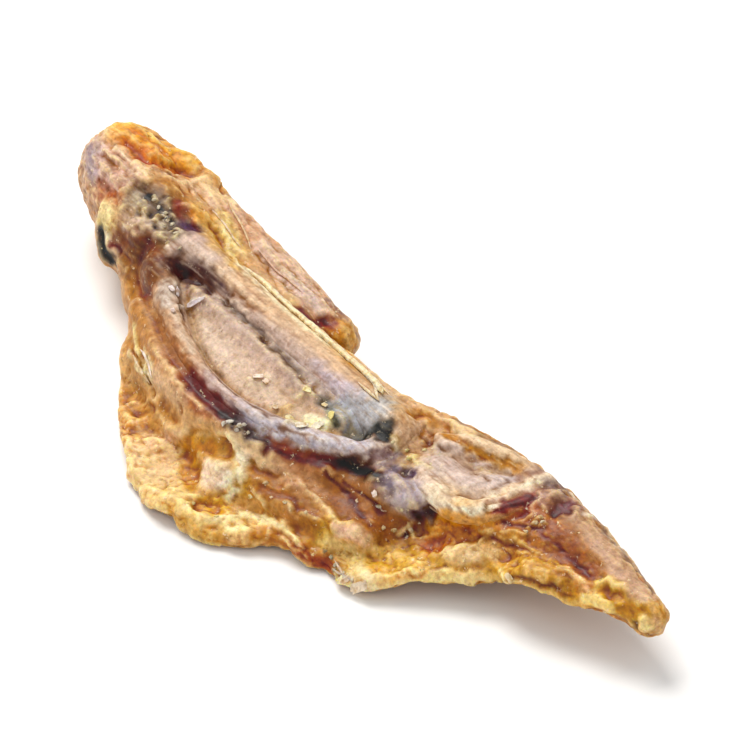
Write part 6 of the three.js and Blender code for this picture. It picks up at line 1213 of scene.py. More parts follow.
    ('cream lump by the cut', 0.4, 0.2, (246, 226, 170), 0.8, (10.4, -6.7, 8.4, 10.2, -6.9, 7.8)),
    ('cut, rosy', 0.8, 0.05, (208, 168, 146), 0.55, (7.0, -4.6, 9.9, 9.2, -5.0, 9.9)),
    ('outer band', 0.42, -0.08, (158, 100, 60), 0.7, (24.0, -11.7, 7.2, 27.8, -12.8, 7.5, 31.6, -13.6, 7.5)),
    ('outer band, red', 0.5, -0.12, (108, 46, 38), 0.9, (31.8, -13.7, 7.4, 35.0, -14.4, 7.2, 37.6, -14.4, 7.0)),
    ('outer band, dark', 0.34, -0.12, (64, 48, 56), 0.85, (37.1, -14.4, 7.1, 39.4, -14.1, 6.8, 42.0, -13.5, 6.4)),
    ('outer band, dark red', 0.3, -0.12, (96, 44, 32), 0.8, (42.4, -13.5, 6.2, 45.1, -12.2, 6.0, 47.6, -10.2, 6.2)),
    ('flap, light ridge', 0.3, 0.1, (226, 184, 134), 0.55, (27.1, -14.0, 6.8, 31.4, -15.0, 6.9, 35.4, -15.2, 6.8)),
    # painted highlight along the crest at the edge
    ('crest at the edge', 0.4, 0.1, (246, 216, 156), 0.6, (31.4, -20.3, 1.6, 35.0, -21.7, 1.1, 39.3, -22.3, 1.5)),
    ('pool', 0.5, -0.04, (200, 132, 16), 0.9, (41.4, -19.7, 2.2, 41.9, -19.2, 2.2, 42.3, -18.6, 2.1)),
    ('lump, lit side', 0.25, 0.1, (255, 244, 226), 0.9, (40.1, -16.5, 4.0, 41.4, -16.6, 3.7, 41.1, -17.5, 2.7)),
    ('window, paler', 1.1, 0, (222, 196, 176), 0.45, (27.2, -8.6, 6.9, 31.6, -9.5, 6.7, 36.7, -10.1, 6.4)),
    ('ring top, cream', 0.42, 0.2, (236, 198, 146), 0.85, (34.6, -16.3, 4.4, 36.9, -15.8, 5.2, 39.0, -15.1, 5.8)),
    ('ring, amber lower', 0.36, -0.15, (200, 134, 36), 0.8, (36.2, -17.0, 3.0, 38.0, -16.1, 4.5, 39.7, -15.7, 4.6)),
    ('ring side, gold', 0.35, 0.05, (222, 176, 116), 0.6, (38.6, -15.9, 4.6, 39.9, -15.8, 4.5, 40.7, -16.1, 4.2)),
    ('pool, clear', 0.5, 0.1, (232, 172, 52), 0.95, (41.6, -19.7, 2.1, 42.2, -19.2, 2.1, 42.4, -18.6, 2.1)),
    ('grit ground', 0.3, 0, (86, 66, 60), 0.7, (38.4, -14.6, 6.8, 39.9, -14.0, 6.8)),
    # the pale line at the bone's edge, brightened by painted highlight
    ('edge of the bone, pale line', 0.3, 0.1, (255, 244, 206), 0.9, (24.0, -2.6, 8.7, 27.4, -2.9, 8.8, 31.6, -3.1, 8.8, 35.4, -2.8, 8.5, 38.4, -2.3, 8.2)),
    ('thumb, rosy film', 0.9, 0.03, (226, 192, 170), 0.45, (18.3, 2.1, 8.1, 23.4, 1.5, 7.4, 27.4, 1.3, 6.5)),
    ('thumb, lilac', 0.35, 0.06, (222, 202, 200), 0.6, (25.7, 1.5, 6.9, 27.6, 1.5, 6.5, 29.3, 1.5, 6.1)),
    ('waist, dark', 0.5, -0.08, (112, 74, 52), 0.65, (14.9, -7.8, 8.0, 16.4, -8.1, 7.4, 18.9, -9.1, 8.3)),
    ('knuckle, light grey', 0.45, 0.05, (202, 186, 160), 0.6, (12.0, -5.3, 10.0, 13.2, -5.5, 9.9)),
    ('cut, roll bright', 0.35, 0.08, (240, 176, 70), 0.6, (4.5, -1.6, 10.7, 6.0, -1.4, 10.8, 7.9, -0.8, 10.5)),
    ('cut, roll bright', 0.3, 0.08, (236, 168, 60), 0.6, (9.4, -0.5, 10.2, 10.0, 1.1, 9.1, 11.1, 1.8, 9.1)),
    ('web lower, streak light', 0.22, 0.14, (252, 222, 156), 0.7, (60.2, -10.7, 3.0, 62.3, -8.4, 3.0, 64.9, -6.3, 3.3)),
    ('web lower, streak amber', 0.18, -0.1, (184, 124, 44), 0.6, (60.3, -11.2, 2.5, 61.7, -8.4, 3.5, 63.8, -6.5, 3.7)),
    ('web, gold line', 0.16, 0.12, (232, 180, 96), 0.7, (64.5, -3.3, 5.9, 68.1, -2.7, 6.0, 71.6, -2.4, 6.0)),
    ('web, gold line', 0.16, 0.1, (226, 172, 88), 0.6, (64.0, -4.7, 4.7, 67.7, -4.2, 5.6, 71.3, -3.4, 5.7)),
    ('phalanx, pale mauve', 0.55, 0.016, (216, 194, 188), 0.55, (54.3, -2.5, 7.1, 57.1, -2.5, 7.1, 59.0, -1.4, 7.2)),
]


def stroke_distance(p, line):
    """Distance from each point to a line of points, mm."""
    line = np.array(line, float).reshape(-1, 3)
    if len(line) == 1:
        return np.linalg.norm(p - line[0], axis=1)
    best = np.full(len(p), 99.0)
    for a, b in zip(line[:-1], line[1:]):
        ab = b - a
        t = np.clip((p - a) @ ab / max(ab @ ab, 1e-9), 0, 1)
        best = np.minimum(best, np.linalg.norm(p - a - t[:, None] * ab, axis=1))
    return best


def sample(field, p):
    """A grid field at points, between grid values."""
    q = (p - LOW) / GRID
    i = np.clip(np.floor(q).astype(int), 0, np.array(SHAPE) - 2)
    f = q - i
    out = 0
    for dx in (0, 1):
        wx = f[:, 0] if dx else 1 - f[:, 0]
        for dy in (0, 1):
            wy = f[:, 1] if dy else 1 - f[:, 1]
            for dz in (0, 1):
                wz = f[:, 2] if dz else 1 - f[:, 2]
                out = out + wx * wy * wz * field[i[:, 0] + dx, i[:, 1] + dy, i[:, 2] + dz]
    return out


def rgb(*c):
    return np.array(c, float)


def paint(base, colour, mask):
    m = np.clip(mask, 0, 1)[:, None]
    return base * (1 - m) + np.asarray(colour, float) * m


def mottle(base, p, mask, palette, scale, seed, much=0.8):
    """Patches of each palette colour, with soft but clear edges, over the masked places."""
    for k, tint in enumerate(palette):
        f = fbm(warped(p, 0.3, 0.8, seed + 40), scale, 3, gain=0.6, seed=seed + 3 * k)
        base = paint(base, tint, smooth(0.16, 0.30, f) * mask * much)
    return base


def to_linear(c):
    c = np.clip(c, 0, 255) / 255
    return np.where(c <= 0.04045, c / 12.92, ((c + 0.055) / 1.055) ** 2.4)


def regions(p):
    """How much each limb owns a point, 0 to 1, adding up to 1."""
    names = ["palm", "wrist", "cuff", "roll", "thumb", "sinew", "knuckle", "finger", "tip", "minor_digit", "flap", "front_film", "lead_film", "rear_film", "apron"]
    d = np.stack([sample(F[n], p) for n in names], 1)
    d = d - d.min(1)[:, None]
    w = np.exp(-(d / 0.55) ** 2) + 1e-9
    w /= w.sum(1)[:, None]
    return dict(zip(names, w.T))


def warped(p, by=0.35, scale=1.1, seed=60):
    """Points nudged by noise, so that nothing painted by distance has a ruled edge."""
    return p + by * np.stack([noise(p, scale, seed + k) for k in range(3)], 1)


def apply_strokes(p, n, colour, relief, most=0.36):
    """Carves and colours by the strokes, on what faces up, back or the wrist side."""
    q = warped(p)
    facing = smooth(-0.15, 0.25, n @ np.array([0.30, -0.35, 0.75]))
    rough = 0.75 + 0.35 * noise(p, 0.7, 70)
    change = np.zeros(len(p))
    for _, half, high, tint, much, line in STROKES:
        pts = np.array(line).reshape(-1, 3)
        lo, hi = pts.min(0) - 3 * half - 0.6, pts.max(0) + 3 * half + 0.6
        near = np.where(((p > lo) & (p < hi)).all(1))[0]
        if not len(near):
            continue
        d = stroke_distance(q[near], line)
        m = np.exp(-(d / half) ** 2 / 1.3) * facing[near]
        change[near] += high * m * (0.8 + 0.3 * rough[near])
        edge = np.exp(-np.maximum(d / half * rough[near] - 0.35, 0) ** 2 * 1.6)
        colour[near] = paint(colour[near], tint, much * edge * facing[near])
    # strokes that fall on each other don't dig or pile up without end
    return colour, relief + most * np.tanh(change / most)


def cavity(verts, quads, times):
    """Above 0 in hollows, below 0 on crests, in mm."""
    flat = relax(verts, quads, times, 0.6)
    return ((flat - verts) * normals(verts, quads)).sum(1)


# ------------------------------------------------------------------------------------------------ skin and flesh
def sculpt_skin(p, quads):
    n = normals(p, quads)
    R = regions(p)
    up, down = smooth(-0.2, 0.5, n[:, 2]), smooth(0.1, -0.6, n[:, 2])
    d_hand, d_finger = sample(hand, p), sample(finger_bone, p)
    x, y, z = p.T
    window = R["palm"] * up * smooth(5.9, 6.5, z) * smooth(-2.5, -4.5, y)
    flap, thumb, wrist = R["flap"], R["thumb"], R["wrist"]
    tip, finger, roll, digit = R["tip"], R["finger"], R["roll"], R["minor_digit"]

    # relief, mm
    relief = 0.16 * fbm(p, 3.4, 2, seed=1) * (1 - window * 0.7)
    lumps = 0.34 * fbm(p, (3.6, 2.9, 2.6), 2, seed=3) + 0.16 * (ridged(p, (4.6, 2.4, 3.0), 1, seed=5) - 0.4)
    relief += (flap + 0.45 * finger) * up * lumps
    relief += flap * 0.17 * fbm(p, 1.5, 3, gain=0.62, seed=8)
    d1, d2 = cells(warped(p, 0.5, 1.6, 90), (1.9, 1.5, 1.5), 3)
    puckers = smooth(0.02, 0.9, d2 - d1)
    relief += 0.08 * (puckers - 0.5) * (flap * 0.7 + 0.6 * finger + 0.5 * roll + 0.4 * thumb)
    relief += down * 0.10 * fbm(p, 1.6, 2, seed=9)
    # rows of feather pits on the outer side of the skin, which is the underside and the leading edge
    row = np.stack([x / 2.3, (y + 0.35 * np.sin(x * 0.8)) / 2.1, z / 4.0], 1)
    f1, _ = cells(row, 1.0, 11, jitter=0.45)
    follicle = np.exp(-(f1 / 0.22) ** 2) - 0.55 * np.exp(-((f1 - 0.38) / 0.13) ** 2)
    outer = np.clip(down + smooth(0.3, 0.8, n[:, 1]) * 0.8, 0, 1)
    relief -= 0.22 * follicle * outer * smooth(-0.35, 0.2, noise(p, 4.0, 13))
    # the outer face dries into long creases with slack folds between them
    face = np.clip(smooth(0.1, 0.6, n[:, 1]) + 0.8 * down, 0, 1) * (1 - window)
    fold = 1 - np.abs(noise(warped(p, 0.7, 2.4, 260), (7.5, 1.7, 1.5), 262)) * 2.2
    crease_out = smooth(0.62, 0.95, fold) * smooth(-0.25, 0.15, noise(p, 3.1, 264))
    slack = fbm(warped(p, 0.6, 2.0, 266), (4.5, 1.3, 1.2), 2, seed=268)
    relief += face * (0.26 * slack - 0.24 * crease_out)
    # pocked skin at the wrist end of the flap
    hole, _ = cells(warped(p, 0.3, 0.8, 240), (1.15, 0.95, 0.95), 41)
    pock = smooth(0.40, 0.14, hole) * smooth(-0.1, 0.2, noise(p, 2.2, 243)) * (flap + 0.4 * wrist) * up
    relief -= 0.13 * pock
    fibre = noise(p, (4.2, 0.42, 0.42), 15) + 0.6 * noise(p, (2.3, 0.22, 0.22), 16)
    relief += 0.085 * fibre * (wrist * 0.9 + thumb * 0.8 + tip * 0.7) * (1 - down * 0.6)
    relief += wrist * (0.22 * fbm(p, 1.9, 2, seed=18) + 0.16 * (ridged(p, (2.6, 1.2, 1.4), 2, seed=19) - 0.35))
    relief += thumb * (0.20 * fbm(p, (3.4, 1.3, 1.3), 2, seed=20) + 0.13 * (ridged(p, (6.0, 1.15, 1.15), 2, seed=23) - 0.35))
    relief += roll * (0.30 * fbm(p, 1.7, 2, seed=21) + 0.12)
    relief += tip * 0.12 * fbm(p, (2.4, 1.1, 1.1), 2, seed=22)
    relief += window * (0.05 * noise(p, 0.55, 24) + 0.07 * fbm(p, (2.6, 1.0, 1.0), 2, seed=25))
    relief += digit * 0.08 * fbm(p, 0.8, 2, seed=26)
    # calm by the bones, so that the edge of the flesh on them runs on
    relief *= 1 - 0.75 * np.exp(-(np.maximum(np.minimum(d_hand, d_finger) - 0.3, 0) / 0.55) ** 2) * up
    # a crease all along where the flesh meets the bones
    crease = np.exp(-((np.minimum(d_hand, d_finger) - 0.42) / 0.26) ** 2)
    relief -= 0.16 * crease * up

    # colour, sRGB
    c = np.zeros((len(p), 3))
    top = {"apron": (204, 150, 92), "front_film": (212, 184, 172), "lead_film": (220, 178, 118), "rear_film": (196, 136, 78), "cuff": (206, 166, 120), "sinew": (216, 176, 128), "knuckle": (200, 150, 98), "palm": (206, 160, 112), "wrist": (208, 164, 128), "roll": (216, 150, 72), "thumb": (218, 178, 148),
           "finger": (176, 108, 44), "tip": (206, 162, 112), "minor_digit": (190, 174, 172), "flap": (222, 174, 110)}
    under = {"apron": (206, 146, 74), "front_film": (212, 184, 172), "lead_film": (210, 164, 100), "rear_film": (190, 132, 76), "cuff": (206, 160, 100), "sinew": (204, 156, 96), "knuckle": (200, 146, 84), "palm": (196, 140, 76), "wrist": (200, 150, 96), "roll": (216, 150, 72), "thumb": (210, 158, 100),
             "finger": (190, 132, 66), "tip": (204, 150, 84), "minor_digit": (192, 150, 110), "flap": (206, 146, 74)}
    for k, w in R.items():
        c += w[:, None] * (np.array(top[k]) * (1 - down[:, None]) + np.array(under[k]) * down[:, None])
    # the flap goes from cream and gold at the wrist side to amber and rust towards the tip
    along = np.clip((x - 14) / 62, 0, 1)
    c = paint(c, (186, 124, 54), flap * up * smooth(0.45, 0.75, along) * 0.75)
    c = paint(c, (178, 116, 58), flap * up * np.exp(-((x - 50) / 6.5) ** 2) * smooth(-16.5, -11, y) * 0.7)
    c = paint(c, (214, 184, 156), window * 0.95)
    c = paint(c, (214, 176, 142), np.exp(-np.maximum(d_hand, 0) / 0.5) * up * 0.75)
    c = paint(c, (214, 182, 150), np.exp(-np.maximum(d_finger, 0) / 0.5) * up * 0.75)
    blotch = fbm(p, 2.6, 3, seed=30)
    c = paint(c, (236, 200, 158), smooth(0.10, 0.55, blotch) * (flap + wrist + thumb + 0.4 * finger) * up * 0.5)
    c = paint(c, (184, 118, 46), smooth(0.08, 0.5, -blotch) * (flap + 0.5 * wrist + finger) * 0.55)
    fatty = fbm(warped(p, 0.4, 0.9, 110), (1.5, 1.1, 1.1), 3, gain=0.6, seed=112)
    c = paint(c, (246, 214, 150), smooth(0.14, 0.42, fatty) * (flap + 0.5 * finger + 0.5 * tip + 0.6 * roll) * 0.6)
    c = paint(c, (178, 112, 30), smooth(0.12, 0.42, -fatty) * (flap + 0.8 * finger + 0.6 * tip + 0.5 * roll) * 0.6)
    c = paint(c, (228, 174, 148), smooth(0.2, 0.5, fbm(p, (2.0, 1.2, 1.2), 2, seed=115)) * (flap * 0.7 + wrist + thumb) * up * 0.45)
    veins = smooth(0.80, 0.97, 1 - np.abs(noise(warped(p, 0.5, 1.3, 120), (2.6, 1.3, 1.3), 122)) * 1.6)
    c = paint(c, (148, 92, 40), veins * smooth(-0.1, 0.3, noise(p, 2.4, 124)) * (flap + finger + 0.6 * wrist + 0.4 * tip + 0.3 * thumb) * up * 0.42)
    c = mottle(c, p, wrist * (1 - down * 0.6), [(232, 204, 168), (158, 98, 58), (206, 184, 176), (204, 136, 70), (122, 84, 58)], (1.7, 0.8, 0.9), 140, 0.62)
    c = mottle(c, p, thumb * (1 - down * 0.5), [(236, 212, 184), (196, 132, 84), (214, 190, 186)], (2.2, 0.8, 0.8), 160, 0.5)
    c = mottle(c, p, flap * up, [(252, 224, 160), (176, 108, 28), (228, 176, 150)], (1.5, 1.1, 1.1), 180, 0.42)
    c = mottle(c, p, (finger + 0.6 * tip) * (1 - down * 0.5), [(208, 132, 36), (150, 78, 24), (240, 200, 130)], (1.6, 0.9, 0.9), 200, 0.42)
    fine_fibre = noise(p, (3.2, 0.34, 0.34), 126)
    c = paint(c, (150, 98, 66), smooth(0.15, 0.6, fine_fibre) * (wrist + thumb + tip * 0.6 + R["sinew"]) * 0.42)
    c = paint(c, (244, 214, 180), smooth(0.15, 0.6, -fine_fibre) * (wrist + thumb + tip * 0.6 + R["sinew"]) * 0.42)
    c = paint(c, (170, 96, 52), smooth(0.2, 0.6, fbm(p, 3.3, 2, seed=31)) * (down * 0.5 + thumb * 0.3 + wrist * 0.3))
    c = paint(c, (238, 214, 180), np.clip(follicle, 0, 1) * outer * 0.35)
    c = paint(c, (190, 120, 52), np.exp(-((f1 - 0.38) / 0.16) ** 2) * outer * 0.4)

    c = paint(c, (152, 94, 38), pock * 0.62)
    # painted highlight on the rims between the pocks, on faces turned up
    c = paint(c, (242, 206, 146), smooth(0.50, 0.72, hole) * flap * up * 0.35)
    # painted shade in the outer creases and on the low parts of the slack folds, painted highlight on their raised
    # parts
    c = paint(c, (132, 78, 38), crease_out * face * 0.62)
    c = paint(c, (240, 206, 152), smooth(0.12, 0.5, slack) * face * 0.5)
    c = paint(c, (186, 112, 42), smooth(0.12, 0.5, -slack) * face * 0.5)
    c = paint(c, (196, 164, 158), smooth(0.2, 0.55, noise(p, (5.0, 2.0, 2.0), 270)) * face * (wrist + thumb + 0.6 * tip) * 0.4)

    speckle = fbm(warped(p, 0.15, 0.5, 220), 0.62, 2, gain=0.8, seed=222)
    ground = (flap + finger + wrist + roll + 0.8 * tip + 0.8 * thumb + 0.6 * R["knuckle"] + 0.5 * window)
    c = paint(c, (255, 230, 176), smooth(0.16, 0.42, speckle) * ground * 0.5)
    c = paint(c, (142, 86, 36), smooth(0.16, 0.42, -speckle) * ground * 0.42)
    relief += 0.05 * speckle * (1 - 0.5 * window)
    relief -= 0.10 * veins * (flap + finger) * up
    c, relief = apply_strokes(p, n, c, relief)
    # the round pale lump sitting in a ring of clear fat
    lump = np.sqrt((((p - (39.9, -17.0, 3.3)) / (1.25, 1.2, 1.5)) ** 2).sum(1))
    ring = np.exp(-((lump - 1.75) / 0.38) ** 2) * smooth(3.5, -1.5, (p - (39.9, -17.0, 3.3)) @ np.array([0.6, 0.9, 0.0]) + 1.2)
    relief += 0.42 * np.exp(-((lump / 1.0) ** 2)) - 0.18 * ring
    c = paint(c, (204, 140, 44), ring * 0.32)
    c = paint(c, (248, 222, 192), np.exp(-((lump / 0.95) ** 4)) * 0.6)
    v = p + n * relief[:, None]
    v[:, 2] = np.where(v[:, 2] < 0.35, 0.02 + 0.33 * smooth(-0.6, 0.35, v[:, 2]), v[:, 2])
    # painted shade and painted highlight: hollows are darkened and made more saturated, crests are painted pale
    cav = cavity(v, quads, 6)
    cav2 = cavity(v, quads, 25)
    soft = 1 - 0.6 * window
    hollow = np.clip(smooth(0.01, 0.09, cav) * 0.5 + smooth(0.03, 0.3, cav2) * 0.6, 0, 1) * soft
    crest = np.clip(smooth(0.008, 0.07, -cav) * 0.55 + smooth(0.03, 0.25, -cav2) * 0.45, 0, 1) * soft
    c = c * (1 - hollow[:, None] * np.array([0.20, 0.36, 0.66]))
    c = c + (np.array([255, 232, 178]) - c) * (crest * 0.52)[:, None]
    c = c * (1 + (0.17 - 0.06 * window[:, None]) * fbm(p, 0.75, 2, gain=0.7, seed=33)[:, None] * np.array([1.0, 1.15, 1.5]))
    wet = np.clip(0.45 + 0.35 * fbm(p, 2.2, 2, seed=34) + 0.2 * finger + 0.25 * roll + 0.15 * flap - 0.35 * window, 0, 1)
    thin = np.clip(flap * 0.9 + roll * 0.5 + tip * 0.3, 0, 1)
    fib = np.clip(wrist + thumb + 0.8 * tip + 0.3 * window, 0, 1)
    return v, c, wet, thin, fib


# ------------------------------------------------------------------------------------------------ bones under their film
def sculpt_bone(p, quads, which):
    n = normals(p, quads)
    x, y, z = p.T
    up = smooth(-0.2, 0.5, n[:, 2])
    grain = noise(p, (7.0, 0.38, 0.38), 41) + 0.55 * noise(p, (3.6, 0.2, 0.2), 42)
    relief = (0.05 if which == "hand" else 0.02) * grain + 0.09 * fbm(p, (4.0, 1.2, 1.2), 2, seed=43)
    relief -= 0.10 * smooth(0.42, 0.7, noise(p, 0.8, 44))
    relief *= 1 - 0.7 * np.exp(-(np.maximum(sample(flesh, p), 0) / 0.45) ** 2)
    c = np.zeros((len(p), 3))
    if which == "hand":
        rear = smooth(0.6, -0.6, sample(F["minor"], p) - sample(F["major"], p))
        c[:] = rgb(212, 174, 140)
        c = paint(c, (196, 152, 118), rear * 0.8)
        c = paint(c, (198, 190, 200), rear * smooth(33, 40, x) * 0.8)
        c = paint(c, (212, 188, 180), (1 - rear) * smooth(24, 32, x) * smooth(-4.3, -5.2, y) * 0.75)
        c = paint(c, (216, 172, 118), (1 - rear) * smooth(-4.4, -3.2, y) * 0.8)
        outward = smooth(-0.1, 0.6, n @ np.array([0.25, -0.85, 0.3]))
        c = paint(c, (176, 112, 58), rear * outward * (1 - smooth(36, 40, x)) * 0.85)
        c = paint(c, (204, 180, 172), rear * (1 - outward) * smooth(18, 24, x) * 0.6)
    else:
        c[:] = rgb(218, 190, 160)
    c = paint(c, (236, 212, 186), smooth(0.05, 0.6, fbm(p, (5.0, 0.9, 0.9), 2, seed=45)) * 0.5)
    c = paint(c, (168, 112, 76), smooth(0.05, 0.6, -fbm(p, (5.0, 0.8, 0.8), 2, seed=46)) * 0.45)
    c, relief = apply_strokes(p, n, c, relief, 0.22)
    v = p + n * relief[:, None]
    # painted shade darkens the hollows and painted highlight pales the crests
    cav = cavity(v, quads, 5)
    c = c * (1 - smooth(0.008, 0.06, cav)[:, None] * np.array([0.20, 0.30, 0.42]))
    c = c + (np.array([255, 238, 214]) - c) * (smooth(0.008, 0.05, -cav) * 0.35)[:, None]
    streaks = noise(p, (4.5, 0.30, 0.30), 131) + 0.7 * noise(p, (1.9, 0.24, 0.24), 133)
    c = paint(c, (138, 92, 66), smooth(0.25, 0.9, streaks) * 0.45)
    c = paint(c, (246, 224, 200), smooth(0.3, 0.95, -streaks) * 0.45)
    c = c * (1 + 0.14 * fbm(p, 0.7, 2, gain=0.7, seed=48)[:, None] * np.array([1.0, 1.1, 1.25]))
    wet = np.clip(0.5 + 0.4 * fbm(p, 2.0, 2, seed=49), 0, 1)
    return v, c, wet, np.full(len(p), 0.15), np.full(len(p), 1.0)


# ------------------------------------------------------------------------------------------------ Blender objects
# the colours above are as seen under the studio light: the gloss comes off first, and this much of the rest is the tissue's own
GLOSS, ALBEDO = 0.046, 0.88


def make_object(name, verts_mm, faces, colour=None, wet=None, thin=None, fib=None):
    mesh = bpy.data.meshes.new(name)
    v = (np.asarray(verts_mm) - ORIGIN) * MM
    faces = np.asarray(faces)
    mesh.vertices.add(len(v))
    mesh.vertices.foreach_set("co", v.astype(np.float32).ravel())
    k = faces.shape[1]
    mesh.loops.add(len(faces) * k)
    mesh.loops.foreach_set("vertex_index", faces.astype(np.int32).ravel())
    mesh.polygons.add(len(faces))
    mesh.polygons.foreach_set("loop_start", (np.arange(len(faces)) * k).astype(np.int32))
    mesh.update(calc_edges=True)
    mesh.validate()
    mesh.polygons.foreach_set("use_smooth", np.ones(len(mesh.polygons), bool))
    if colour is not None:
        a = mesh.color_attributes.new("Col", "FLOAT_COLOR", "POINT")
        lin = np.concatenate([np.clip((to_linear(colour) - GLOSS) * ALBEDO, 0.003, 0.92), np.ones((len(v), 1))], 1)
        a.data.foreach_set("color", lin.astype(np.float32).ravel())
        for label, value in (("wet", wet), ("thin", thin), ("fib", fib)):
            b = mesh.attributes.new(label, "FLOAT", "POINT")
            b.data.foreach_set("value", np.asarray(value, np.float32))
    o = bpy.data.objects.new(name, mesh)
    bpy.context.scene.collection.objects.link(o)
    return o


class Nodes:
    """Short hand for a material's nodes."""

    def flecks(self, scale, level, shift):
        """1 inside small ragged specks of all sizes and 0 between them."""
        where = self.t.nodes.new("ShaderNodeTexCoord").outputs["Object"]
        moved = self.t.nodes.new("ShaderNodeVectorMath")
        moved.operation = "ADD"
        self.t.links.new(where, moved.inputs[0])
        moved.inputs[1].default_value = (shift, 0.4 * shift, 0.7 * shift)
        grain = self.t.nodes.new("ShaderNodeTexNoise")
        self.t.links.new(moved.outputs[0], grain.inputs["Vector"])
        grain.inputs["Scale"].default_value = scale
        grain.inputs["Detail"].default_value = 3.0
        grain.inputs["Roughness"].default_value = 0.7
        return self.math("MULTIPLY", self.math("SUBTRACT", grain.outputs[0], level), 14.0, clamp=True)

    def __init__(self, name):
        self.m = bpy.data.materials.new(name)
        self.m.use_nodes = True
        self.t = self.m.node_tree
        self.t.nodes.clear()

    def add(self, kind, **inputs):
        n = self.t.nodes.new(kind)
        for k, v in inputs.items():
            key = int(k[1:]) if k[0] == "i" and k[1:].isdigit() else k.replace("_", " ")
            if isinstance(v, bpy.types.NodeSocket):
                self.t.links.new(v, n.inputs[key])
            elif key in n.inputs or isinstance(key, int):
                n.inputs[key].default_value = v
            else:
                setattr(n, k, v)
        return n

    def math(self, op, a, b=0.0, clamp=False):
        n = self.t.nodes.new("ShaderNodeMath")
        n.operation, n.use_clamp = op, clamp
        for i, v in enumerate((a, b)):
            if isinstance(v, bpy.types.NodeSocket):
                self.t.links.new(v, n.inputs[i])
            else:
                n.inputs[i].default_value = v
        return n.outputs[0]

    def attr(self, name):
        n = self.t.nodes.new("ShaderNodeAttribute")
        n.attribute_name = name
        return n

    def mix(self, a, b, f, blend="MIX"):
        n = self.t.nodes.new("ShaderNodeMix")
        n.data_type, n.blend_type = "RGBA", blend
        for i, v in ((0, f), (6, a), (7, b)):
            if isinstance(v, bpy.types.NodeSocket):
                self.t.links.new(v, n.inputs[i])
            else:
                n.inputs[i].default_value = v
        return n.outputs[2]

    def ramp(self, value, stops):
        n = self.t.nodes.new("ShaderNodeValToRGB")
        self.t.links.new(value, n.inputs[0])
        e = n.color_ramp.elements
        while len(e) < len(stops):
            e.new(0.5)
        for el, (pos, col) in zip(e, stops):
            el.position = pos
            el.color = (*col, 1) if len(col) == 3 else col
        return n.outputs[0]

    def noise(self, scale, detail=3, rough=0.55, stretch=None, distort=0.0):
        """Procedural noise with features of about 1 / scale metres."""
        c = self.add("ShaderNodeTexCoord").outputs["Object"]
        if stretch:
            m = self.t.nodes.new("ShaderNodeMapping")
            self.t.links.new(c, m.inputs["Vector"])
            m.inputs["Scale"].default_value = stretch
            c = m.outputs[0]
        n = self.add("ShaderNodeTexNoise", Vector=c, Scale=scale, Detail=detail, Roughness=rough, Distortion=distort)
        return n.outputs[0]


def tissue_material(name, coat, sss, radius, rough_dry, rough_wet, bump_mm, flecks=0.6):
    """Dried tissue: painted colour broken up by fine noise, translucent, with an uneven oily film."""
    N = Nodes(name)
    col, wet, thin, fib = N.attr("Col").outputs["Color"], N.attr("wet").outputs["Fac"], N.attr("thin").outputs["Fac"], N.attr("fib").outputs["Fac"]
    fine = N.noise(2600, 4, 0.62)
    finer = N.noise(7000, 2, 0.5)
    streak = N.noise(3200, 3, 0.6, stretch=(0.12, 1.0, 1.0))
    pore = N.add("ShaderNodeTexVoronoi", Vector=N.add("ShaderNodeTexCoord").outputs["Object"], Scale=2400.0)
    value = N.ramp(fine, [(0.30, (0.62, 0.54, 0.44)), (0.52, (1, 1, 1)), (0.72, (1.34, 1.32, 1.22))])
    c = N.mix(col, value, 0.70, "MULTIPLY")
    sv = N.ramp(streak, [(0.34, (0.70, 0.60, 0.52)), (0.52, (1, 1, 1)), (0.70, (1.22, 1.18, 1.12))])
    c = N.mix(c, sv, N.math("MULTIPLY", fib, 0.55), "MULTIPLY")
    spots = N.ramp(N.noise(1500, 2, 0.5), [(0.0, (0.55, 0.40, 0.28)), (0.30, (0.60, 0.45, 0.32)), (0.38, (1, 1, 1))])
    c = N.mix(c, spots, 0.55, "MULTIPLY")
    # the pale specks are partly the tissue's own cream dots and partly painted sparkle highlight; the dark specks are
    # its own dark dots
    pale, dark = N.flecks(1500.0, 0.63, 0.3), N.flecks(1300.0, 0.64, 0.9)
    c = N.mix(c, (0.92, 0.76, 0.50, 1), N.math("MULTIPLY", pale, flecks))
    c = N.mix(c, (0.11, 0.055, 0.022, 1), N.math("MULTIPLY", dark, flecks * 0.8))
    rough = N.math("ADD", N.math("MULTIPLY", wet, rough_wet - rough_dry), rough_dry)
    rough = N.math("ADD", rough, N.math("MULTIPLY", N.math("SUBTRACT", fine, 0.5), 0.35), clamp=True)
    height = N.math("ADD", N.math("MULTIPLY", fine, 0.6), N.math("MULTIPLY", finer, 0.18))
    height = N.math("ADD", height, N.math("MULTIPLY", N.math("MULTIPLY", streak, fib), 0.8))
    height = N.math("ADD", height, N.math("MULTIPLY", pore.outputs["Distance"], 0.25))
    height = N.math("ADD", height, N.math("MULTIPLY", N.math("SUBTRACT", pale, dark), 0.25))
    bump = N.add("ShaderNodeBump", Strength=0.75, Distance=bump_mm * MM, Height=height)
    b = N.add("ShaderNodeBsdfPrincipled", Base_Color=c, Roughness=rough, Normal=bump.outputs[0])
    b.inputs["IOR"].default_value = 1.40
    # thin skin lets more light through than the flesh on the bones
    N.m.node_tree.links.new(N.math("ADD", N.math("MULTIPLY", thin, sss), sss, clamp=True), b.inputs["Subsurface Weight"])
    b.inputs["Subsurface Radius"].default_value = radius
    b.inputs["Subsurface Scale"].default_value = MM
    b.inputs["Coat Weight"].default_value = coat
    b.inputs["Coat Roughness"].default_value = 0.30
    b.inputs["Specular IOR Level"].default_value = 0.28
    out = N.add("ShaderNodeOutputMaterial", Surface=b.outputs[0])
    return N.m


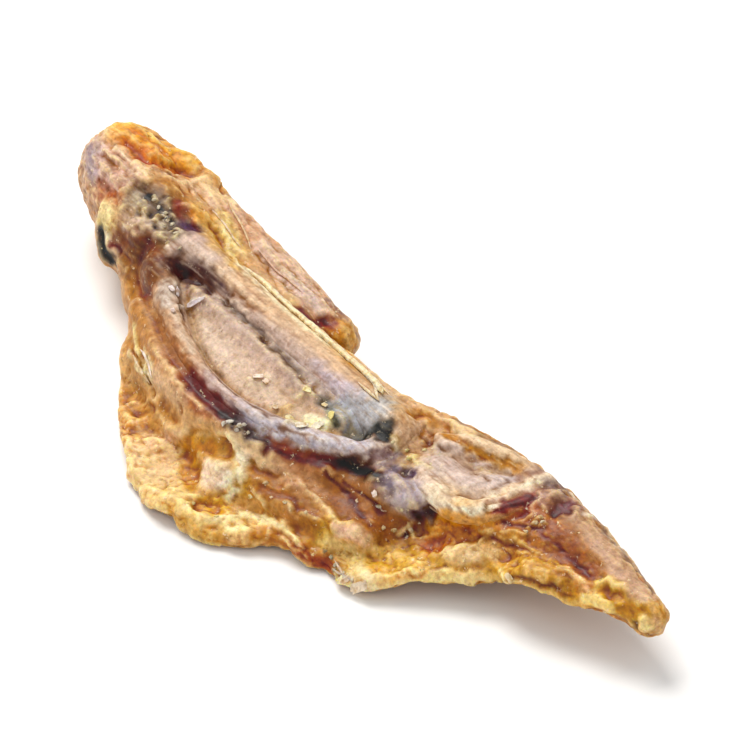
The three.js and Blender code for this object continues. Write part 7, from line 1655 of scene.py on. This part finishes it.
skin_material = tissue_material("dried_skin_look", 0.18, 0.30, (2.5, 1.15, 0.2), 0.62, 0.32, 0.13)
bone_material = tissue_material("dried_bone_look", 0.10, 0.15, (0.9, 0.50, 0.28), 0.62, 0.38, 0.08, 0.3)

skin_v, skin_c, wet, thin, fib = sculpt_skin(skin_v, skin_q)
skin = make_object("skin_and_flesh_look", skin_v, skin_q, skin_c, wet, thin, fib)
hand_v, hand_c, wet, thin, fib = sculpt_bone(hand_v, hand_q, "hand")
hand_look = make_object("hand_bones_look", hand_v, hand_q, hand_c, wet, thin, fib)
finger_v, finger_c, wet, thin, fib = sculpt_bone(finger_v, finger_q, "finger")
finger_look = make_object("finger_bone_look", finger_v, finger_q, finger_c, wet, thin, fib)
skin.data.materials.append(skin_material)
hand_look.data.materials.append(bone_material)
finger_look.data.materials.append(bone_material)

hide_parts("skin_and_flesh")
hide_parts("carpometacarpus")
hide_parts("proximal_phalanx")
for piece, slot in ((skin, "dried_skin"), (hand_look, "dried_bone"), (finger_look, "dried_bone")):
    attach(piece, "root")

# ------------------------------------------------------------------------------------------------ dried scraps on it
STRIPS = [  # half width and half height mm, colour, the line it follows
    (0.38, 0.26, (250, 233, 193), [(23.35, -2.07, 8.1), (26.05, -2.17, 8.16), (28.86, -2.35, 8.21), (32.96, -2.44, 8.27), (36.69, -2.3, 8.33), (40.44, -2.14, 8.39), (42.99, -2.3, 8.44), (45.07, -2.94, 8.5)]),
    (0.17, 0.14, (240, 204, 145), [(27.54, -1.72, 8.1), (30.91, -1.8, 8.17), (34.07, -1.88, 8.23), (36.64, -1.88, 8.3)]),
    (0.15, 0.12, (250, 225, 193), [(41.51, -2.38, 8.5), (43.51, -2.69, 8.55), (45.63, -3.84, 8.6)]),
    (0.14, 0.11, (248, 221, 183), [(42.64, -3.73, 8.7), (44.0, -3.7, 8.7), (45.59, -3.74, 8.7)]),
    (0.13, 0.1, (250, 221, 176), [(42.17, -1.97, 8.3), (43.8, -2.18, 8.35), (45.1, -2.27, 8.4)]),
    (0.13, 0.1, (236, 204, 166), [(24.1, -14.2, 4.5), (25.7, -14.6, 4.5), (27.7, -15.1, 4.7)]),
    (0.12, 0.1, (248, 227, 214), [(24.9, -13.8, 5.6), (27.0, -14.6, 5.7), (28.4, -15.1, 5.3)]),
    (0.11, 0.09, (226, 196, 170), [(53.5, -14.5, 1.4), (55.0, -14.8, 1.4), (56.0, -14.9, 1.0)]),
    (0.11, 0.09, (206, 187, 170), [(53.9, -15.1, 0.8), (55.4, -14.9, 1.4), (56.6, -14.7, 1.3)]),
    (0.1, 0.08, (244, 215, 187), [(16.4, -0.1, 8.7), (18.9, -0.6, 8.3), (21.2, -0.8, 7.9)]),
    (0.1, 0.08, (240, 206, 166), [(15.9, 1.6, 8.5), (18.9, 1.1, 8.2), (21.7, 0.1, 7.7)]),
    (0.09, 0.08, (236, 196, 176), [(21.9, 0.7, 7.6), (25.1, 0.7, 7.0), (27.9, 1.1, 6.4)]),
]
FLAKES = [  # where, which way it lies, half length and half width mm, colour
    ((24.4, -7.7, 7.5), (0.5, 0.8, 0.4), 1, 0.26, (252, 239, 245)),
    ((23.0, -8.7, 8.1), (0.9, -0.5, 0.0), 0.55, 0.2, (232, 218, 224)),
    ((22.7, -9.3, 8.5), (1.0, -0.2, -0.1), 0.4, 0.22, (240, 221, 220)),
    ((35.2, -9.1, 6.7), (0.9, 0.5, 0.1), 0.55, 0.34, (250, 229, 212)),
    ((36.1, -8.9, 6.7), (1.0, 0.0, -0.0), 0.3, 0.24, (246, 218, 195)),
    ((40.7, -9.7, 6.4), (0.8, -0.3, 0.5), 0.5, 0.3, (246, 231, 175)),
    ((43.3, -10.3, 7.5), (0.3, 0.9, -0.3), 0.62, 0.4, (252, 241, 220)),
    ((43.1, -8.5, 6.6), (0.4, 0.8, 0.4), 0.6, 0.36, (252, 241, 216)),
    ((43.5, -7.3, 7.3), (-0.7, 0.6, 0.4), 0.52, 0.26, (240, 221, 144)),
    ((39.9, -7.1, 7.5), (0.9, 0.3, 0.1), 0.42, 0.26, (242, 227, 168)),
    ((42.0, -6.9, 7.5), (1.0, 0.0, -0.0), 0.36, 0.24, (246, 231, 195)),
    ((39.0, -9.9, 6.4), (1.0, 0.3, 0.0), 0.34, 0.2, (240, 216, 185)),
    ((52.5, -9.2, 5.3), (0.8, 0.0, -0.6), 0.36, 0.26, (244, 223, 212)),
    ((67.4, -5.9, 4.4), (-0.0, 0.6, -0.8), 0.55, 0.26, (252, 225, 181)),
    ((25.0, -10.7, 8.3), (1.0, -0.3, -0.1), 0.3, 0.18, (226, 206, 201)),
    ((57.3, -14.4, 1.0), (-0.7, 0.1, -0.7), 0.9, 0.5, (250, 227, 201)),
    ((56.0, -14.9, 1.0), (-0.5, -0.2, -0.9), 0.5, 0.26, (236, 208, 181)),
]
CRUMBS = [  # where, radius mm, colour
    ((38.2, -14.9, 6.6), 0.1776, (203, 192, 176)),
    ((38.4, -14.5, 6.8), 0.222, (216, 208, 199)),
    ((39.5, -14.2, 6.8), 0.222, (212, 205, 194)),
    ((39.5, -13.7, 7.0), 0.185, (207, 196, 180)),
    ((39.5, -14.5, 6.5), 0.1628, (185, 172, 158)),
    ((40.3, -13.8, 6.8), 0.148, (192, 180, 162)),
    ((50.5, -4.4, 6.9), 0.1628, (216, 199, 135)),
    ((51.5, -5.0, 6.8), 0.1776, (208, 192, 126)),
    ((53.0, -5.0, 6.9), 0.1628, (214, 199, 144)),
    ((51.3, -3.1, 6.9), 0.1776, (219, 203, 153)),
    ((53.5, -4.0, 7.0), 0.148, (216, 198, 153)),
    ((49.6, -5.2, 7.6), 0.148, (208, 192, 153)),
    ((53.0, -9.2, 4.8), 0.1628, (221, 212, 190)),
    ((54.9, -8.2, 4.8), 0.1776, (223, 203, 162)),
    ((55.2, -9.3, 3.1), 0.1776, (221, 198, 153)),
    ((55.8, -8.2, 3.3), 0.1628, (223, 199, 158)),
    ((54.6, -9.9, 3.7), 0.148, (214, 187, 144)),
    ((64.9, -1.6, 6.7), 0.1776, (226, 203, 162)),
    ((64.7, -0.9, 7.0), 0.1776, (225, 199, 162)),
    ((65.3, -0.9, 7.0), 0.148, (226, 207, 176)),
    ((64.9, -2.3, 6.4), 0.148, (221, 192, 144)),
    ((53.0, -14.6, 1.4), 0.1628, (180, 171, 144)),
    ((53.9, -14.6, 1.3), 0.1924, (192, 183, 158)),
    ((55.0, -14.9, 1.3), 0.1628, (203, 192, 162)),
    ((54.1, -14.9, 0.9), 0.148, (171, 158, 126)),
    ((55.8, -14.8, 1.4), 0.1776, (208, 198, 167)),
    ((56.4, -14.7, 1.2), 0.1628, (216, 203, 171)),
    ((52.5, -14.5, 1.7), 0.1332, (167, 151, 117)),
    ((13.4, -4.6, 10.3), 0.148, (212, 199, 172)),
    ((14.4, -4.6, 10.2), 0.1628, (216, 203, 180)),
    ((15.5, -4.4, 10.1), 0.148, (208, 194, 165)),
    ((16.3, -5.3, 9.8), 0.148, (214, 201, 176)),
    ((16.6, -4.6, 9.9), 0.1628, (207, 190, 162)),
    ((17.7, -5.1, 9.4), 0.1628, (214, 199, 171)),
    ((17.8, -6.1, 9.0), 0.1776, (212, 196, 167)),
    ((19.1, -5.6, 9.0), 0.148, (203, 185, 158)),
    ((47.1, -15.0, 3.8), 0.148, (221, 201, 162)),
    ((49.1, -14.3, 3.8), 0.148, (216, 192, 153)),
    ((44.3, -15.0, 4.3), 0.148, (212, 185, 144)),
    ((44.1, -16.3, 2.9), 0.1628, (225, 205, 153)),
    ((40.9, -20.1, 2.2), 0.1628, (229, 210, 153)),
    ((43.5, -19.4, 1.6), 0.1776, (229, 208, 144)),
    ((63.6, -7.3, 2.1), 0.148, (223, 198, 135)),
]

SEEN_V = np.concatenate([skin_v, hand_v, finger_v])
SEEN_N = np.concatenate([normals(skin_v, skin_q), normals(hand_v, hand_q), normals(finger_v, finger_q)])


def seat(points):
    """Each point moved to the finished surface, and which way the surface faces there."""
    points = np.atleast_2d(np.asarray(points, float))
    best = []
    for q in points:
        near = np.where((np.abs(SEEN_V - q) < 1.6).all(1))[0]
        d = ((SEEN_V[near] - q) ** 2).sum(1) + 0.4 * (1 - SEEN_N[near, 2])
        best.append(near[np.argsort(d)[:6]])
    n = np.array([SEEN_N[b].mean(0) for b in best])
    return np.array([SEEN_V[b[0]] for b in best]), n / np.linalg.norm(n, axis=1)[:, None]


def strand(half_wide, half_high, line, seed):
    """A dried strand lying along a line: a flat oval section with ragged edges and tapered ends."""
    line = np.array(line)
    step = np.linalg.norm(np.diff(line, axis=0), axis=1)
    at = np.concatenate([[0], np.cumsum(step)])
    count = max(int(at[-1] / 0.22), 6)
    t = np.linspace(0, at[-1], count)
    path = np.stack([np.interp(t, at, line[:, k]) for k in range(3)], 1)
    path, n = seat(path)
    for _ in range(14):
        path[1:-1] = 0.5 * path[1:-1] + 0.25 * (path[:-2] + path[2:])
        n[1:-1] = 0.5 * n[1:-1] + 0.25 * (n[:-2] + n[2:])
    n /= np.linalg.norm(n, axis=1)[:, None]
    way = np.gradient(path, axis=0)
    way /= np.linalg.norm(way, axis=1)[:, None]
    side = np.cross(n, way)
    u = np.linspace(0, 1, count)
    taper = np.clip(np.minimum(u, 1 - u) * count * 0.22 / 0.9, 0.12, 1) ** 0.7
    path = path + n * (half_high * 0.55 + 0.08 + 0.06 * line_noise(t, 1.1, seed))[:, None] + side * (0.10 * line_noise(t, 1.7, seed + 1))[:, None]
    K = 8
    rings = []
    for k in range(K):
        a = 2 * math.pi * k / K
        r = 1 + 0.30 * line_noise(t + 7.0 * k, 0.5, seed + 2)
        rings.append(path + side * (half_wide * math.cos(a) * taper * r)[:, None] + n * (half_high * math.sin(a) * taper * r)[:, None])
    v = np.stack(rings, 1).reshape(-1, 3)
    q = []
    for i in range(count - 1):
        for k in range(K):
            q.append((i * K + k, i * K + (k + 1) % K, (i + 1) * K + (k + 1) % K, (i + 1) * K + k))
    for base, turn in ((0, -1), ((count - 1) * K, 1)):
        for cap in ((0, 1, 2, 3), (0, 3, 4, 7), (4, 5, 6, 7)):
            q.append(tuple(base + c for c in cap[::turn]))
    return v, np.array(q)


def cube_ball(m=5):
    """A ball of quads, from a cube's faces."""
    points, quads, seen = [], [], {}
    g = np.linspace(-1, 1, m + 1)
    for axis in range(3):
        for sign in (-1, 1):
            for i in range(m):
                for j in range(m):
                    corner = []
                    for a, b in ((i, j), (i + 1, j), (i + 1, j + 1), (i, j + 1)):
                        c = [0, 0, 0]
                        c[axis], c[(axis + 1) % 3], c[(axis + 2) % 3] = sign, math.tan(g[a] * math.pi / 4), math.tan(g[b] * math.pi / 4)
                        key = tuple(round(x, 5) for x in c)
                        if key not in seen:
                            seen[key] = len(points)
                            points.append(c)
                        corner.append(seen[key])
                    quads.append(corner if sign > 0 else corner[::-1])
    v = np.array(points, float)
    return v / np.linalg.norm(v, axis=1)[:, None], np.array(quads)


BALL_V, BALL_Q = cube_ball()


def crumb(where, radius, seed):
    p, n = seat(where)
    bump = 1 + 0.55 * noise(BALL_V + 5.0 * seed, 0.8, seed % 50) + 0.25 * noise(BALL_V + 3.0 * seed, 0.35, seed % 50 + 1)
    ball = BALL_V * bump[:, None] * radius
    ball = ball - n[0] * (ball @ n[0])[:, None] * 0.45  # flattened against what it lies on
    lean = np.array([math.cos(seed * 1.7), math.sin(seed * 1.7), 0.2])
    ball = ball + lean * (ball @ lean)[:, None] * 0.45
    return p[0] + n[0] * radius * 0.10 + ball, BALL_Q


def flake(where, way, long, wide, seed):
    """A thin curled flake with a ragged edge, one side lifted off the surface."""
    p, n = seat(where)
    n = n[0]
    way = np.array(way, float)
    way -= n * way.dot(n)
    way /= max(np.linalg.norm(way), 1e-6)
    side = np.cross(n, way)
    a, b, h = BALL_V.T
    rim = 1 + 0.30 * noise(np.stack([a, b, 0 * a + seed], 1), 0.45, seed % 60) + 0.18 * noise(np.stack([a, b, 0 * a + seed], 1), 0.2, seed % 60 + 1)
    a, b = np.sign(a) * np.abs(a) ** 0.8 * rim, np.sign(b) * np.abs(b) ** 0.8 * rim
    lift = 0.10 + 0.24 * wide * (a * 0.5 + 0.6) ** 2 + 0.30 * wide * b * b
    height = np.sign(h) * np.abs(h) ** 0.6 * 0.07 + lift
    return p[0] + way * (a * long)[:, None] + side * (b * wide)[:, None] + n * height[:, None], BALL_Q


def scraps(name, shapes, tints, material, fibrous):
    """Joins a handful of small closed shapes into one piece."""
    v, q, c, start = [], [], [], 0
    for k, ((sv, sq), tint) in enumerate(zip(shapes, tints)):
        v.append(sv)
        q.append(sq + start)
        start += len(sv)
        shade = fbm(sv, 0.5, 2, gain=0.7, seed=300 + k % 7)
        base = np.tile(np.array(tint, float), (len(sv), 1))
        base = paint(base, np.array(tint) * np.array([0.80, 0.70, 0.52]), smooth(0.05, 0.5, -shade) * 0.8)
        base = paint(base, (255, 248, 226), smooth(0.1, 0.5, shade) * 0.5)
        c.append(base)
    v, q, c = np.concatenate(v), np.concatenate(q), np.concatenate(c)
    piece = make_object(name, v, q, c, np.clip(0.5 + 0.4 * fbm(v, 0.8, 2, seed=310), 0, 1), np.full(len(v), 0.6), np.full(len(v), fibrous))
    piece.data.materials.append(material)
    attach(piece, "root")
    return piece


strip_material = tissue_material("dried_tendon_look", 0.14, 0.24, (1.2, 0.8, 0.35), 0.60, 0.34, 0.06, 0.0)
flake_material = tissue_material("dried_flake_look", 0.06, 0.18, (0.8, 0.6, 0.4), 0.72, 0.50, 0.05, 0.0)
scraps("tendon_strips_look", [strand(w, h, l, 400 + 5 * k) for k, (w, h, _, l) in enumerate(STRIPS)], [c for _, _, c, _ in STRIPS], strip_material, 1.0)
scraps("flakes_look", [flake(p, d, a, b, 500 + 3 * k) for k, (p, d, a, b, _) in enumerate(FLAKES)], [f[4] for f in FLAKES], flake_material, 0.3)
scraps("crumbs_look", [crumb(p, r, 600 + 3 * k) for k, (p, r, _) in enumerate(CRUMBS)], [c for _, _, c in CRUMBS], flake_material, 0.2)

# ------------------------------------------------------------------------------------------------ floor, light, camera
bpy.ops.mesh.primitive_plane_add(size=3.0, location=(0, 0, 0))
floor = bpy.context.object
floor.name = "floor"
N = Nodes("pale_floor")
tone = N.ramp(N.noise(60, 2, 0.5), [(0.3, (0.90, 0.90, 0.90)), (0.7, (0.92, 0.92, 0.92))])
b = N.add("ShaderNodeBsdfPrincipled", Base_Color=tone, Roughness=0.7)
N.add("ShaderNodeOutputMaterial", Surface=b.outputs[0])
floor.data.materials.append(N.m)

scene = bpy.context.scene
world = bpy.data.worlds.new("studio")
scene.world = world
world.use_nodes = True
world.node_tree.nodes["Background"].inputs["Color"].default_value = (1.0, 0.99, 0.975, 1)
world.node_tree.nodes["Background"].inputs["Strength"].default_value = 0.68
scene.view_settings.view_transform = "Standard"
scene.view_settings.look = "None"
scene.view_settings.exposure = 0.0

AZ, EL = math.radians(53.5), math.radians(40.0)
RIGHT = Vector((math.cos(AZ), math.sin(AZ), 0))
BACK = Vector((math.sin(AZ) * math.cos(EL), -math.cos(AZ) * math.cos(EL), math.sin(EL)))
UP = Vector((-math.sin(AZ) * math.sin(EL), math.cos(AZ) * math.sin(EL), math.cos(EL)))


def area(name, direction, distance, size, watts, colour):
    d = Vector(direction).normalized()
    light = bpy.data.lights.new(name, "AREA")
    light.shape, light.size, light.energy, light.color = "SQUARE", size, watts, colour
    o = bpy.data.objects.new(name, light)
    o.location = d * distance
    o.rotation_euler = (-d).to_track_quat("-Z", "Y").to_euler()
    scene.collection.objects.link(o)
    return o


into_view = Vector((BACK.x, BACK.y, 0)).normalized() * -1  # away from the camera, along the table
key = into_view * 0.62 - RIGHT * 0.30 + Vector((0, 0, 1.0))
area("key", key, 0.9, 0.52, 7.2, (1.0, 0.975, 0.94))
area("fill", BACK * 0.5 - RIGHT * 1.2 + Vector((0, 0, 0.8)), 0.9, 0.6, 0.8, (0.97, 0.985, 1.0))

lens, sensor = 1200.0, 36.0
camera_data = bpy.data.cameras.new("camera")
camera_data.lens, camera_data.sensor_width = lens, sensor
camera = bpy.data.objects.new("camera", camera_data)
scene.collection.objects.link(camera)
scene.camera = camera
WIDE = 233 / 3.6 * MM  # what the frame's width covers at the object
distance = WIDE * lens / sensor
# the middle of the frame, brought forward so that the width holds at the depth of the piece's own middle
middle = Vector((0, 0, 6.0 * MM)) - Vector(tuple(ORIGIN * MM)) + RIGHT * ((127.5 - 42) / 3.6 * MM) - UP * ((464.5 - 390) / 3.6 * MM)
middle += BACK * (Vector((0, 0, 5.0 * MM)) - middle).dot(BACK)
camera.location = middle + BACK * distance
camera.rotation_euler = (-BACK).to_track_quat("-Z", "Y").to_euler()
camera_data.clip_start, camera_data.clip_end = 0.1, 8.0
camera_data.dof.use_dof = False
